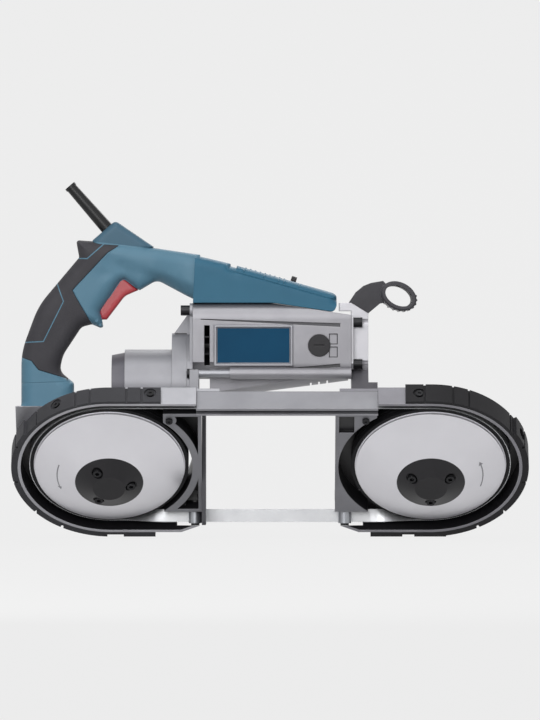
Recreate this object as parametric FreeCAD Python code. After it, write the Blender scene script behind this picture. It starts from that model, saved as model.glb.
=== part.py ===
import FreeCAD, Part
import math
import os

# Portable band saw, in millimetres. +X is the front, +Z is up, and the side seen first faces -Y.
# The blade runs round two wheels in a plane tilted about X, and is twisted upright between its guides.
# Wheel-side pieces are drawn in the loop frame: x along the saw, a up in the wheel plane, b out of it.

V = FreeCAD.Vector
ORIGIN = V(0, 0, 0)
X_AXIS = V(1, 0, 0)
Y_AXIS = V(0, 1, 0)
Z_AXIS = V(0, 0, 1)
FULL_TURN = 360.0

# Fits and cuts
OVERRUN = 3.0
SEAT_GAP = 0.1
RUN_GAP = 0.3
BEARING_GAP = 0.06

# Blade loop
WHEEL_TILT = 45.0
WHEEL_SPACING = 320.0
TYRE_RADIUS = 78.95
TYRE_THICKNESS = 3.5
TYRE_WIDTH = 15.0
TYRE_FRONT = 7.0
TYRE_GROOVE = 0.6
BLADE_WIDTH = 12.7
BLADE_THICKNESS = 0.65
THROAT_HALF = 94.0
FLAT_ENTRY = 10.0
TWIST_SECTIONS = 8

# Wheels and hubs
RIM_FRONT = 10.0
RIM_STEP = 0.75
RIM_WALL = 4.0
CONE_RISE = 21.0
DISC_WALL = 3.0
HUB_RADIUS = 34.0
HUB_TOP_RADIUS = 16.0
HUB_HEIGHT = 9.0
HUB_SCREW_CIRCLE = 22.0
HUB_SCREW_RADIUS = 2.5
HUB_SCREW_HEAD_RADIUS = 4.25
HUB_SCREW_HEAD_HEIGHT = 5.0
HUB_SCREW_SOCKET_RADIUS = 2.2
HUB_POCKET_RADIUS = 5.6
HUB_POCKET_FLOOR = 2.5
HUB_SCREW_COUNT = 3
DRIVE_SCREW_ANGLE = 1.5
IDLER_SCREW_ANGLE = 30.0
SPIGOT_RADIUS = 8.0
SPIGOT_RISE = 6.0
FLANGE_RADIUS = 29.0
FLANGE_THICKNESS = 6.0
DRIVE_AXLE_RADIUS = 9.0
DRIVE_JOURNAL_RADIUS = 7.5
DRIVE_BEARING_RADIUS = 17.5
DRIVE_BEARING_WIDTH = 10.0
BEARING_WALL = 4.5
IDLER_AXLE_RADIUS = 7.5
IDLER_HEAD_RADIUS = 10.0
IDLER_HEAD_THICKNESS = 3.0
IDLER_BEARING_RADIUS = 14.0
IDLER_BEARING_WIDTH = 9.0
IDLER_BOSS_RADIUS = 20.0
IDLER_BOSS_BACK = -4.0
IDLER_BEARING_SPACE = 8.0

# Wheel housings and beam
GUARD_GAP = 12.55
GUARD_WALL = 3.0
GUARD_BACK_CHAMFER = 5.0
GUARD_FRONT = 12.0
PLATE_FRONT = -12.0
PLATE_THICKNESS = 4.0
LEFT_SEAM = -73.0
RIGHT_SEAM = 107.0
RIGHT_PLATE_EDGE = 69.0
GUARD_TIP = 66.0
GUARD_TIP_RISE = 11.5
GUARD_TIP_SLOPE = 23.0
GUARD_TIP_FOOT = 4.0
WINDOW_INNER_RADIUS = 76.0
WINDOW_HALF_HEIGHT = 34.0
WHEEL_CLEARANCE = 4.0
BEAM_DROP = 6.5
BEAM_WALL = 3.0
BEAM_DEPTH = 10.0
BEAM_LIP_WALL = 2.0
BEAM_TAB_LENGTH = 23.0

# Bumpers
BUMPER_THICKNESS = 3.5
BUMPER_PAD = 3.0
LEFT_BUMPER_BACK = -7.6
RIGHT_BUMPER_BACK = -12.0
LEFT_BUMPER_TOP_END = -108.0
LEFT_BUMPER_LOW_END = -115.0
RIGHT_BUMPER_TOP_END = 134.0
RIGHT_BUMPER_LOW_END = 101.0
PAD_LENGTH = 32.0
PAD_PITCH = 44.0
BUMPER_WELL_RADIUS = 6.2
BUMPER_GROOVE_WIDTH = 2.2
BUMPER_GROOVE_DEPTH = 1.6
LEFT_GROOVE_ANGLES = (11.0, 20.0, 49.0, 102.0, 130.0)
RIGHT_GROOVE_ANGLES = (13.0, 23.0, 56.0, 102.0, 130.0)
STRAIGHT_GROOVES = (19.0, 34.0)
CORNER_PADS = ((60.0, 71.0), (73.0, 101.0), (103.0, 129.0), (131.0, 149.0), (151.0, 178.0))
SCREW_RADIUS = 2.0
SCREW_HEAD_RADIUS = 3.6
SCREW_HEAD_HEIGHT = 2.2
SCREW_SOCKET_RADIUS = 1.7
LEFT_BUMPER_SCREW_INSET = 10.5
RIGHT_BUMPER_SCREW_INSET = 13.7
LEFT_BUMPER_SCREW_ANGLE = 33.5
RIGHT_BUMPER_SCREW_ANGLE = 67.8

# Guide arms, rollers and work stop
ARM_FOOT_RISE = 14.95
ARM_REACH = 106.0
LEFT_ARM_FACE = 68.0
RIGHT_ARM_FACE = 65.0
ARM_FRONT = 10.0
ARM_RIB = 3.5
ARM_WEB = 4.0
ARM_POCKET_RADIUS = 90.0
LEFT_ARM_SCREW_X = -100.0
RIGHT_ARM_SCREW_X = 95.0
ARM_SCREW_DROP = 9.0
GUIDE_X = 75.0
ROLLER_RADIUS = 6.5
ROLLER_LENGTH = 13.4
ROLLER_DROP = 1.4
ROLLER_PIN_RADIUS = 2.5
ROLLER_PIN_HEAD = 4.2
ROLLER_PIN_HEAD_HEIGHT = 1.8
ROLLER_BOSS_RADIUS = 6.4
THRUST_X = 86.5
THRUST_RADIUS = 5.5
THRUST_LENGTH = 8.0
GUIDE_HEAD_HALF_DEPTH = 14.0
GUIDE_HEAD_RISE = 15.5
GUIDE_HEAD_HEIGHT = 10.0
GUIDE_HEAD_REACH = 93.0
CHEEK_LENGTH = 7.0
CHEEK_DROP = 5.0
STOP_THICKNESS = 3.8
STOP_DEPTH = 70.0
STOP_BEHIND_BLADE = 22.0
STOP_DROP = 9.0
STOP_HEIGHT = 110.0
STOP_SLOT = 6.0
STOP_SLOT_RISE = 12.5
STOP_CORNER = 5.0
STOP_SCREW_AS = (-52.0, -24.0)

# Blade tension
TENSION_TRAVEL = 9.0
CARRIAGE_LENGTH = 48.0
CARRIAGE_HALF_WIDTH = 16.0
CARRIAGE_THICKNESS = 14.0
CARRIAGE_NOSE = 10.0
CARRIAGE_NOSE_RADIUS = 5.0
RAIL_WALL = 4.0
RAIL_DEPTH = 20.0
TENSION_COVER_THICKNESS = 2.5
SPRING_RADIUS = 5.2
SPRING_WIRE = 0.8
SPRING_TURNS = 6
SPRING_LENGTH = 26.0
SPRING_SETBACK = 8.0
SPRING_ROD_RADIUS = 3.4
SPRING_ROD_LENGTH = 15.0
ABUTMENT_THICKNESS = 6.0
LEVER_OFFSET = 46.0
LEVER_SWING = 120.0
LEVER_REST_ANGLE = -100.0
LEVER_LENGTH = 62.0
LEVER_WIDTH = 12.0
LEVER_THICKNESS = 6.0
LEVER_BOSS_HEIGHT = 4.3
LEVER_BOSS_RADIUS = 9.0
LEVER_CAM_THICKNESS = 13.0
LEVER_CAM_GAP = 0.8
LEVER_BOLT_RADIUS = 4.0
LEVER_BOLT_HEAD_RADIUS = 7.0
LEVER_BOLT_HEAD = 4.0
LEVER_TAB_HEIGHT = 9.0

# Gear train
GEAR_MODULE = 1.25
MOTOR_PINION_TEETH = 11
FIRST_GEAR_TEETH = 53
BEVEL_PINION_TEETH = 12
BEVEL_GEAR_TEETH = 40
FINAL_PINION_TEETH = 13
FINAL_GEAR_TEETH = 67
TOOTH_SHARE = 0.40
TOOTH_TIP_SHARE = 0.8
TOOTH_ROOT_SHARE = 1.15
PRESSURE_ANGLE = 20.0
INTERMEDIATE_OFFSET = 32.0
COUNTER_SETBACK = 66.5
FINAL_GEAR_FRONT = -30.0
FINAL_GEAR_WIDTH = 10.0
FINAL_PINION_MARGIN = 1.0
INTERMEDIATE_RADIUS = 5.0
INTERMEDIATE_BEARING_RADIUS = 9.5
INTERMEDIATE_BEARING_WIDTH = 7.0
BUSH_RADIUS = 8.0
BUSH_LENGTH = 9.0
BUSH_RISE = 7.0
BUSH_BOSS_WALL = 2.5
BEVEL_FACE = 8.0
BEVEL_RIM_MARGIN = 0.6
BEVEL_GEAR_NEAR = 4.5
BEVEL_GEAR_DEPTH = 4.5
BEVEL_HUB_RADIUS = 9.0
BEVEL_HUB_LENGTH = 4.0
COUNTER_RADIUS = 5.0
COUNTER_BEARING_RADIUS = 10.0
COUNTER_BEARING_WIDTH = 7.0
COUNTER_END_BEARING_WIDTH = 4.5
FIRST_GEAR_WIDTH = 8.0
FIRST_GEAR_SIDE_GAP = 1.5
GEAR_SPACE = 2.0
CASE_WALL = 3.5
CASE_BACK = -43.0
CASE_PARTITION = -53.0
CASE_BEARING_DEPTH = 9.0
CASE_BEARING_FLOOR = 2.0
CASE_BEARING_RADIUS = 14.0
CASE_BEARING_WIDTH = 7.5
DRUM_RADIUS = 36.0
DRUM_LEFT = -145.0
CHAMBER_LEFT = -98.0
CHAMBER_RIGHT = -83.0
CAP_LENGTH = 13.0
CAP_RADIUS = 33.0
CAP_END_RADIUS = 30.5
CAP_BORE = 26.5
CAP_FLOOR = 3.0
LUG_RADIUS = 7.0
LUG_HEIGHT = 10.0
LUG_ANGLES = (75.0, 200.0, 262.0, 322.0)
BOLT_HEAD_HEIGHT = 5.0
GEAR_PLATE_THICKNESS = 6.0
GUSSET_RISE = 34.0
GUSSET_HALF = 5.0
GUSSET_INSET = 2.5

# Motor
MOTOR_LENGTH = 158.0
MOTOR_HALF_WIDTH = 36.0
MOTOR_DROP = 33.5
MOTOR_RISE = 42.5
MOTOR_CORNER = 16.0
BELLY_LEFT_RADIUS = 53.0
BELLY_RIGHT_RADIUS = 35.0
BELLY_HALF_WIDTH = 24.0
BELLY_INSET = 17.0
BELLY_END = 3.0
BELLY_VENT_COUNT = 3
BELLY_VENT_PITCH = 8.2
BELLY_VENT_WIDTH = 1.6
BELLY_VENT_HALF = 14.0
BELLY_VENT_SETBACK = 41.0
MOTOR_SLOPE_START = 0.0
MOTOR_SLOPE_DROP = 12.0
MOTOR_BORE = 31.0
MOTOR_END_WALL = 8.0
STATOR_INSET = 39.0
STATOR_SETBACK = 67.0
STATOR_YOKE = 3.8
STATOR_POLE_ANGLE = 38.0
ARMATURE_RADIUS = 17.2
AIR_GAP = 0.6
ARMATURE_SLOTS = 12
ARMATURE_SLOT_WIDTH = 3.0
ARMATURE_SLOT_DEPTH = 7.0
WINDING_RADIUS = 14.0
WINDING_LENGTH = 12.0
COIL_ANGLE = 62.0
COIL_DEPTH = 7.0
COIL_OVERHANG = 7.0
COIL_CLEARANCE_ANGLE = 2.0
SHAFT_RADIUS = 4.0
MOTOR_PINION_WIDTH = 9.5
COMMUTATOR_RADIUS = 13.0
COMMUTATOR_LENGTH = 18.0
COMMUTATOR_SLOTS = 24
COMMUTATOR_SLOT_WIDTH = 0.6
COMMUTATOR_SLOT_DEPTH = 1.5
BRUSH_SETBACK = 32.0
BRUSH_WIDTH = 9.0
BRUSH_HEIGHT = 6.0
BRUSH_LENGTH = 14.0
HOLDER_WALL = 1.2
BRUSH_CAP_RADIUS = 11.0
BRUSH_CAP_THICKNESS = 4.0
BRUSH_CAP_PROUD = 1.2
BRUSH_CAP_SLOT = 2.0
BRUSH_CAP_DIMPLE = 5.0
FAN_INSET = 9.0
FAN_LENGTH = 11.0
FAN_RADIUS = 29.0
FAN_HUB_RADIUS = 9.0
FAN_DISC = 2.0
FAN_BLADES = 10
FAN_BLADE_THICKNESS = 1.6
MOTOR_BEARING_RADIUS = 9.0
MOTOR_BEARING_WIDTH = 4.5
MOTOR_END_BEARING_RADIUS = 9.5
MOTOR_END_BEARING_WIDTH = 6.0
VENT_INSET = 11.5
VENT_WIDTH = 5.5
VENT_HEIGHT = 40.0
PLATE_INSET = 24.5
PLATE_SETBACK = 61.5
NAMEPLATE_HEIGHT = 34.6
NAMEPLATE_THICKNESS = 1.2
PLATE_RECESS = 0.8
PLATE_FRAME = 3.5
PLATE_FRAME_PROUD = 0.8
SIDE_GROOVE_TIP = 0.8
SIDE_GROOVE = 3.6
SIDE_GROOVE_DEPTH = 2.2
SIDE_GROOVE_RIGHT_SHARE = 0.93
SIDE_GROOVE_UP_SHARES = (0.05, 0.603, 0.434)
SIDE_GROOVE_DOWN_SHARES = (0.242, 0.823, 0.542)
WINDOW_SETBACK = 22.0
WINDOW_WIDTH = 8.0
WINDOW_HEIGHT = 10.0
WINDOW_SPACE = 3.0
WINDOW_DEPTH = 0.8

# Bolts through the motor
BOLT_RADIUS = 4.0
BOLT_CAP_RADIUS = 5.0
BOLT_CAP_LENGTH = 9.0
BOLT_SOCKET_RADIUS = 2.6
BOLT_SOCKET_DEPTH = 4.0
BOLT_THREAD_LENGTH = 20.0
BOLT_SIDE = 27.0
LEFT_BOLT_RISE = 35.0
TIE_SIDE = 40.0
TIE_DROP = 28.0
TIE_HEAD_LENGTH = 5.5
TIE_HEAD_RADIUS = 4.75
TIE_LUG_THICKNESS = 6.0
TIE_LUG_WIDTH = 12.0
TIE_LUG_RISE = 4.0
TIE_LUG_LENGTH = 26.0
TIE_WEB = 6.0
RIGHT_BOLT_RISE = 23.0
RIGHT_BOLT_DROP = 18.5
RIGHT_BOLT_SIDE = 28.0
EAR_THICKNESS = 3.0
EAR_RADIUS = 7.0
TIE_BOSS_RADIUS = 5.5
TIE_BOSS_INSET = 37.0

# Front bracket
BRACKET_THICKNESS = 17.0
BRACKET_EAR = 2.0
BRACKET_HALF_WIDTH = 24.0
BRACKET_TOP_DROP = 10.5
BRACKET_LEG_TOP = 24.0
BRACKET_FOOT_HIGH = 76.0
BRACKET_FOOT_LOW = 38.0
BRACKET_FLARE = 9.0
BRACKET_LEDGE = 12.0
BRACKET_LEDGE_HEIGHT = 8.0
BRACKET_SCREW_SHARES = (0.1, 0.4)

# Main handle, measured from the left bottom corner of its base
HANDLE_LEFT = -248.5
HANDLE_DROP = 102.97
HANDLE_LENGTH = 168.0
HANDLE_HEIGHT = 166.0
GRIP_HALF_WIDTH = 18.0
GRIP_ROUND = 7.0
SKIN = 2.5
SHELL_WALL = 3.0
HANDLE_SHARES = (
    (0.0, 0.0, 0.0), (0.0, 0.325, 0.48), (0.101, 0.602, 0.48), (0.431, 1.0, 0.08),
    (1.06, 0.91, 0.0), (1.06, 0.626, 0.0), (0.985, 0.663, 0.08), (0.807, 0.76, 0.08),
    (0.42, 0.488, 0.09), (0.247, 0.307, 0.20), (0.226, 0.211, 0.07), (0.313, 0.139, 0.06),
    (0.313, 0.05, 0.0), (0.28, 0.0, 0.0),
)
HORN_SHARES = ((0.328, 1.0), (0.446, 1.0), (0.446, 0.92), (0.36, 0.893), (0.346, 0.895), (0.328, 0.98))
HORN_HALF_WIDTH = 12.0
TIP_SHARES = ((0.408, 0.53), (0.419, 0.491), (0.473, 0.47), (0.488, 0.473), (0.488, 0.515), (0.473, 0.566))
TIP_HALF_WIDTH = 12.0
GRIP_REGION_SHARES = (
    (-0.05, 0.294), (0.0, 0.294), (0.06, 0.271), (0.104, 0.217), (0.241, 0.18), (0.26, 0.18), (0.35, 0.45),
    (0.42, 0.49), (0.40, 0.528), (0.307, 0.694), (0.515, 0.92), (0.60, 0.98), (0.60, 1.05), (-0.05, 1.05),
)
TRIGGER_NOTCH_SHARES = (
    (0.473, 0.573), (0.612, 0.757), (0.697, 0.694), (0.72, 0.66), (0.62, 0.50), (0.51, 0.505),
    (0.49, 0.512),
)
TRIGGER_SHARES = (
    (0.488, 0.521), (0.508, 0.52), (0.545, 0.585), (0.60, 0.653), (0.65, 0.682), (0.692, 0.694),
    (0.64, 0.752), (0.58, 0.752), (0.50, 0.625),
)
TRIGGER_POCKET_SHARES = (
    (0.478, 0.50), (0.70, 0.66), (0.705, 0.71), (0.66, 0.80), (0.565, 0.80), (0.425, 0.62), (0.44, 0.58),
)
TRIGGER_PIVOT_SHARES = (0.625, 0.735)
TRIGGER_HALF_WIDTH = 8.5
TRIGGER_PIN_RADIUS = 2.2
TRIGGER_PIN_HALF_LENGTH = 15.0
SWITCH_SHARES = (0.59, 0.82, 0.82, 0.885)
SWITCH_HALF_WIDTH = 12.2
HANDLE_SCREW_SHARES = ((0.09, 0.07), (0.12, 0.45), (0.30, 0.78), (0.90, 0.80), (1.15, 0.75), (1.50, 0.66))
HANDLE_SCREW_BOSS = 4.6
HANDLE_SCREW_RADIUS = 1.8
HANDLE_SCREW_HEAD_RADIUS = 3.2
HANDLE_SCREW_HEAD = 3.0
BASE_SCREW_RADIUS = 2.5
BASE_SCREW_LENGTH = 12.0
BASE_SCREW_SHARES = (0.06, 0.17)
HANDLE_LUG_LEFT = -253.0
HANDLE_LUG_LENGTH = 41.0
HANDLE_LUG_HALF_DEPTH = 18.0
HANDLE_LUG_EDGE = 14.0
HANDLE_LUG_FOOT = 8.0
BASE_SCREW_SEAT = 6.0

# Motor cover, part of the same two shells
COVER_LEFT = -80.0
COVER_SETBACK = 14.0
COVER_HEIGHT = 51.0
COVER_HALF_WIDTH = 33.0
COVER_ROUND = 6.0
COVER_SHARES = (
    (0.0, 0.0), (-0.03, 0.98), (0.27, 0.84), (1.0, 0.19),
)
COVER_VENT_SHARES = (0.30, 0.40, 0.53, 0.64)
COVER_VENT_WIDTH = 3.0
COVER_VENT_HALF = 20.0
COVER_VENT_DEPTH = 6.0

# Cord sleeve and its collar
SLEEVE_START_SHARES = (0.507, 1.073)
SLEEVE_ANGLE = 131.2
SLEEVE_LENGTH = 56.0
SLEEVE_SOCKET = 9.0
SLEEVE_RADIUS = 6.5
SLEEVE_TIP_RADIUS = 5.3
SLEEVE_LIP_RADIUS = 6.0
SLEEVE_LIP = 3.0
SLEEVE_BORE = 4.25
COLLAR_RADIUS = 12.5
COLLAR_LENGTH = 34.0
COLLAR_WEDGE_SHARES = ((0.56, 1.10), (0.58, 1.112), (0.787, 0.955), (0.70, 0.90), (0.50, 0.95))
COLLAR_WEDGE_HALF_WIDTH = 11.0

# Speed dial
DIAL_SHARE = 0.705
DIAL_RADIUS = 9.0
DIAL_THICKNESS = 5.5
DIAL_PROUD = 3.5
DIAL_PIN_RADIUS = 1.5
DIAL_PIN_LENGTH = 4.0
DIAL_NOTCHES = 24
DIAL_NOTCH_RADIUS = 0.7
MODULE_LENGTH = 18.0
MODULE_HALF_WIDTH = 9.0
MODULE_HEIGHT = 2.5
MODULE_EAR = 3.0
MODULE_EAR_TOP = 2.2

# Front handle
FRONT_REACH = 47.0
FRONT_CENTRE_RISE = 49.2
FRONT_TUBE_HALF = 55.0
FRONT_TUBE_LONG = 18.5
FRONT_TUBE_SHORT = 13.5
FRONT_BORE_LONG = 14.2
FRONT_BORE_SHORT = 9.2
FRONT_TUBE_LEAN = -27.0
FRONT_ARM_HALF = 13.0
FRONT_ARM_BACK_SHARES = (
    (0.0, 0.0), (-0.106, -0.066), (-0.087, 0.569), (0.072, 1.044), (0.317, 1.371), (0.777, 1.778),
)
FRONT_ARM_FRONT_SHARES = ((1.0, 0.0), (1.189, 0.569), (1.238, 0.729), (1.429, 0.905))
FRONT_ARM_HEIGHT = 20.0
FRONT_BOLT_SIDE = 6.5
FRONT_BOLT_SHARE = 0.68
FRONT_BOLT_LENGTH = 22.0
FRONT_BOLT_SEAT = 8.0

# Derived places
SIN_TILT = math.sin(math.radians(WHEEL_TILT))
COS_TILT = math.cos(math.radians(WHEEL_TILT))
LEFT_WHEEL = -WHEEL_SPACING / 2
RIGHT_WHEEL = WHEEL_SPACING / 2
RIM_RADIUS = TYRE_RADIUS - TYRE_THICKNESS
BLADE_RADIUS = TYRE_RADIUS + RUN_GAP + BLADE_THICKNESS / 2
BLADE_LOOP_LENGTH = 2 * WHEEL_SPACING + 2 * math.pi * BLADE_RADIUS
HUB_SEAT = RIM_FRONT + CONE_RISE
WEB_BACK = HUB_SEAT - DISC_WALL
PLATE_BACK = PLATE_FRONT - PLATE_THICKNESS
GUARD_RADIUS = TYRE_RADIUS + GUARD_GAP
BEAM_TOP = GUARD_RADIUS - BEAM_DROP
BEAM_LIP = BEAM_TOP - BEAM_DEPTH
ARM_TOP = BEAM_LIP
ARM_FOOT = ARM_FOOT_RISE - TYRE_RADIUS
ARM_SCREW_A = ARM_TOP - ARM_SCREW_DROP
BUMPER_RADIUS = GUARD_RADIUS + BUMPER_THICKNESS
PAD_RADIUS = BUMPER_RADIUS + BUMPER_PAD
FINAL_DISTANCE = GEAR_MODULE * (FINAL_PINION_TEETH + FINAL_GEAR_TEETH) / 2
FIRST_DISTANCE = GEAR_MODULE * (MOTOR_PINION_TEETH + FIRST_GEAR_TEETH) / 2
INTERMEDIATE_X = LEFT_WHEEL + INTERMEDIATE_OFFSET
INTERMEDIATE_A = math.sqrt(FINAL_DISTANCE ** 2 - INTERMEDIATE_OFFSET ** 2)
FINAL_MESH_ANGLE = math.atan2(INTERMEDIATE_A, INTERMEDIATE_OFFSET)
LOOP_Y = SIN_TILT * INTERMEDIATE_A - COS_TILT * COUNTER_SETBACK
LOOP_Z = COS_TILT * PAD_RADIUS + SIN_TILT * GUARD_FRONT
COUNTER_Z = LOOP_Z + COS_TILT * INTERMEDIATE_A + SIN_TILT * COUNTER_SETBACK
MOTOR_Z = COUNTER_Z + FIRST_DISTANCE
GEAR_PLATE_RIGHT = CHAMBER_RIGHT + GEAR_PLATE_THICKNESS
MOTOR_LEFT = GEAR_PLATE_RIGHT
MOTOR_RIGHT = MOTOR_LEFT + MOTOR_LENGTH
FAN_LEFT = MOTOR_LEFT + FAN_INSET
VENT_LEFT = MOTOR_LEFT + VENT_INSET
BELLY_LEFT = MOTOR_LEFT + BELLY_INSET
BELLY_LENGTH = MOTOR_LENGTH - BELLY_INSET - BELLY_END
TIE_BOSS_LEFT = MOTOR_LEFT + TIE_BOSS_INSET
STATOR_LEFT = MOTOR_LEFT + STATOR_INSET
STATOR_LENGTH = MOTOR_LENGTH - STATOR_INSET - STATOR_SETBACK
PLATE_LEFT = MOTOR_LEFT + PLATE_INSET
PLATE_LENGTH = MOTOR_LENGTH - PLATE_INSET - PLATE_SETBACK
BRUSH_X = MOTOR_RIGHT - BRUSH_SETBACK
WINDOW_LEFT = MOTOR_RIGHT - WINDOW_SETBACK
FRONT_CENTRE_X = MOTOR_RIGHT + FRONT_REACH
MOTOR_TOP = MOTOR_Z + MOTOR_RISE
BLADE_Y = LOOP_Y + SIN_TILT * BLADE_RADIUS
BLADE_Z = LOOP_Z - COS_TILT * BLADE_RADIUS
BLADE_BACK_Z = BLADE_Z + BLADE_WIDTH / 2
GUIDE_HEAD_LOW = BLADE_Z + GUIDE_HEAD_RISE
STOP_LOW = BLADE_Z - STOP_DROP
STOP_SLOT_TOP = BLADE_Z + STOP_SLOT_RISE
ROLLER_Z = BLADE_Z - BLADE_WIDTH / 2 - ROLLER_DROP
ROLLER_TOP_Z = ROLLER_Z + ROLLER_LENGTH
ROLLER_REACH = BLADE_THICKNESS / 2 + RUN_GAP + ROLLER_RADIUS
THRUST_Z = BLADE_BACK_Z + RUN_GAP + THRUST_RADIUS
LEVER_X = RIGHT_WHEEL + LEVER_OFFSET
CARRIAGE_LEFT = RIGHT_WHEEL - CARRIAGE_LENGTH / 2
CARRIAGE_RIGHT = RIGHT_WHEEL + CARRIAGE_LENGTH / 2
CARRIAGE_FRONT = PLATE_BACK - RUN_GAP
CARRIAGE_BACK = CARRIAGE_FRONT - CARRIAGE_THICKNESS
RAIL_BACK = PLATE_BACK - RAIL_DEPTH
ABUTMENT_X = CARRIAGE_LEFT - SPRING_LENGTH
LEVER_FRONT = PLATE_BACK - LEVER_BOSS_HEIGHT - RUN_GAP
LEVER_BACK = LEVER_FRONT - LEVER_CAM_THICKNESS
BEVEL_GEAR_RADIUS = GEAR_MODULE * BEVEL_GEAR_TEETH / 2
BEVEL_PINION_RADIUS = GEAR_MODULE * BEVEL_PINION_TEETH / 2
COVER_BASE = MOTOR_TOP
HANDLE_BASE = MOTOR_TOP - HANDLE_DROP
COVER_LENGTH = MOTOR_RIGHT - COVER_SETBACK - COVER_LEFT
LOOP = FreeCAD.Placement(V(0, LOOP_Y, LOOP_Z), FreeCAD.Rotation(X_AXIS, 90 + WHEEL_TILT))


# Drawing helpers

def in_loop(shape):
    """Carry a shape from the loop frame to the saw's own frame."""
    placed = shape.copy()
    placed.Placement = LOOP.multiply(placed.Placement)
    return placed


def block(x0, x1, y0, y1, z0, z1):
    """Box between two corners."""
    return Part.makeBox(x1 - x0, y1 - y0, z1 - z0, V(x0, y0, z0))


def rod(radius, length, base, axis):
    """Cylinder from a base point along an axis."""
    return Part.makeCylinder(radius, length, base, axis)


def ring(outer, inner, length, base, axis):
    """Hollow cylinder."""
    bore = rod(inner, length + 2 * OVERRUN, base - axis * OVERRUN, axis)
    return rod(outer, length, base, axis).cut(bore)


def fused(shapes):
    """One solid made of several that touch or overlap."""
    return shapes[0].multiFuse(shapes[1:]).removeSplitter()


def grouped(solids):
    """Separate solids kept together in one node."""
    return Part.makeCompound(solids)


def turned(profile, x, a):
    """Solid turned about the loop frame's b axis at (x, a), from (radius, b) points."""
    points = [V(radius, 0, b) for radius, b in profile]
    solid = Part.Face(Part.makePolygon(points + points[:1])).revolve(ORIGIN, Z_AXIS, FULL_TURN)
    solid.translate(V(x, a, 0))
    return solid


def flat_face(points):
    """Flat face inside a closed run of points."""
    return Part.Face(Part.makePolygon(points + points[:1]))


def rounded_face(corners):
    """Flat face in the XZ plane inside corners (x, z, radius), each rounded by its radius."""
    edges = []
    count = len(corners)
    stretches = []
    for i in range(count):
        before = V(corners[i - 1][0], 0, corners[i - 1][1])
        here = V(corners[i][0], 0, corners[i][1])
        after = V(corners[(i + 1) % count][0], 0, corners[(i + 1) % count][1])
        back = before - here
        ahead = after - here
        room = min(back.Length, ahead.Length) / 2.05
        half = back.getAngle(ahead) / 2
        back.normalize()
        ahead.normalize()
        reach = min(corners[i][2] / math.tan(half), room)
        if reach > 0:
            inward = back + ahead
            inward.normalize()
            radius = reach * math.tan(half)
            middle = here + inward * (radius / math.sin(half) - radius)
            stretches.append((here + back * reach, middle, here + ahead * reach))
        else:
            stretches.append((here, None, here))
    for i in range(count):
        start, middle, end = stretches[i]
        if middle is not None:
            edges.append(Part.Arc(start, middle, end).toShape())
        edges.append(Part.LineSegment(end, stretches[(i + 1) % count][0]).toShape())
    return Part.Face(Part.Wire(edges))


def across(face, half_width):
    """Solid reaching half_width to both sides of a face in the XZ plane."""
    start = face.copy()
    start.translate(V(0, -half_width, 0))
    return start.extrude(V(0, 2 * half_width, 0))


def softened(solid, radius, half_width):
    """Round the edges that lie on the two outer side faces of a solid made by across."""
    edges = []
    for edge in solid.Edges:
        box = edge.BoundBox
        if box.YLength < half_width / 100 and abs(abs(box.YMin) - half_width) < half_width / 100:
            edges.append(edge)
    return solid.makeFillet(radius, edges)


def gear_outline(teeth, phase):
    """Tooth outline of a spur gear as (u, v) points, with one tooth centred on the phase angle."""
    pitch = GEAR_MODULE * teeth / 2
    tip = pitch + TOOTH_TIP_SHARE * GEAR_MODULE
    root = pitch - TOOTH_ROOT_SHARE * GEAR_MODULE
    half = TOOTH_SHARE * math.pi * GEAR_MODULE / 2
    lean = math.tan(math.radians(PRESSURE_ANGLE))
    tip_angle = (half - (tip - pitch) * lean) / tip
    root_angle = (half + (pitch - root) * lean) / root
    points = []
    for i in range(teeth):
        middle = phase + 2 * math.pi * i / teeth
        for radius, offset in ((root, -root_angle), (tip, -tip_angle), (tip, tip_angle),
                               (root, root_angle)):
            points.append((radius * math.cos(middle + offset), radius * math.sin(middle + offset)))
    return points


def spur_in_loop(teeth, phase, x, a, back, width):
    """Spur gear about the b axis."""
    points = [V(x + u, a + v, back) for u, v in gear_outline(teeth, phase)]
    return flat_face(points).extrude(V(0, 0, width))


def spur_along_x(teeth, phase, left, z, width):
    """Spur gear about an axis along X."""
    points = [V(left, u, z + v) for u, v in gear_outline(teeth, phase)]
    return flat_face(points).extrude(V(width, 0, 0))


def bevel_teeth(teeth, mate, phase, near, far):
    """Bevel gear about Z with its cone's apex at the origin, between two distances from the apex."""
    pitch = GEAR_MODULE * teeth / 2
    rise = GEAR_MODULE * mate / 2
    cone = math.hypot(pitch, rise)
    slope = math.atan2(pitch, rise)
    half = TOOTH_SHARE * math.pi * GEAR_MODULE / 2
    lean = math.tan(math.radians(PRESSURE_ANGLE))
    tip_height = TOOTH_TIP_SHARE * GEAR_MODULE
    root_depth = TOOTH_ROOT_SHARE * GEAR_MODULE
    tip_slope = math.tan(slope + math.atan2(tip_height, cone))
    root_slope = math.tan(slope - math.atan2(root_depth, cone))
    tip_angle = (half - tip_height * lean) / (pitch + tip_height * math.cos(slope))
    root_angle = (half + root_depth * lean) / (pitch - root_depth * math.cos(slope))
    wires = []
    for height in (near, far):
        points = []
        for i in range(teeth):
            middle = phase + 2 * math.pi * i / teeth
            for steep, offset in ((root_slope, -root_angle), (tip_slope, -tip_angle),
                                  (tip_slope, tip_angle), (root_slope, root_angle)):
                radius = height * steep
                points.append(V(radius * math.cos(middle + offset), radius * math.sin(middle + offset),
                                height))
        wires.append(Part.makePolygon(points + points[:1]))
    return Part.makeLoft(wires, True, True)


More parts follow.
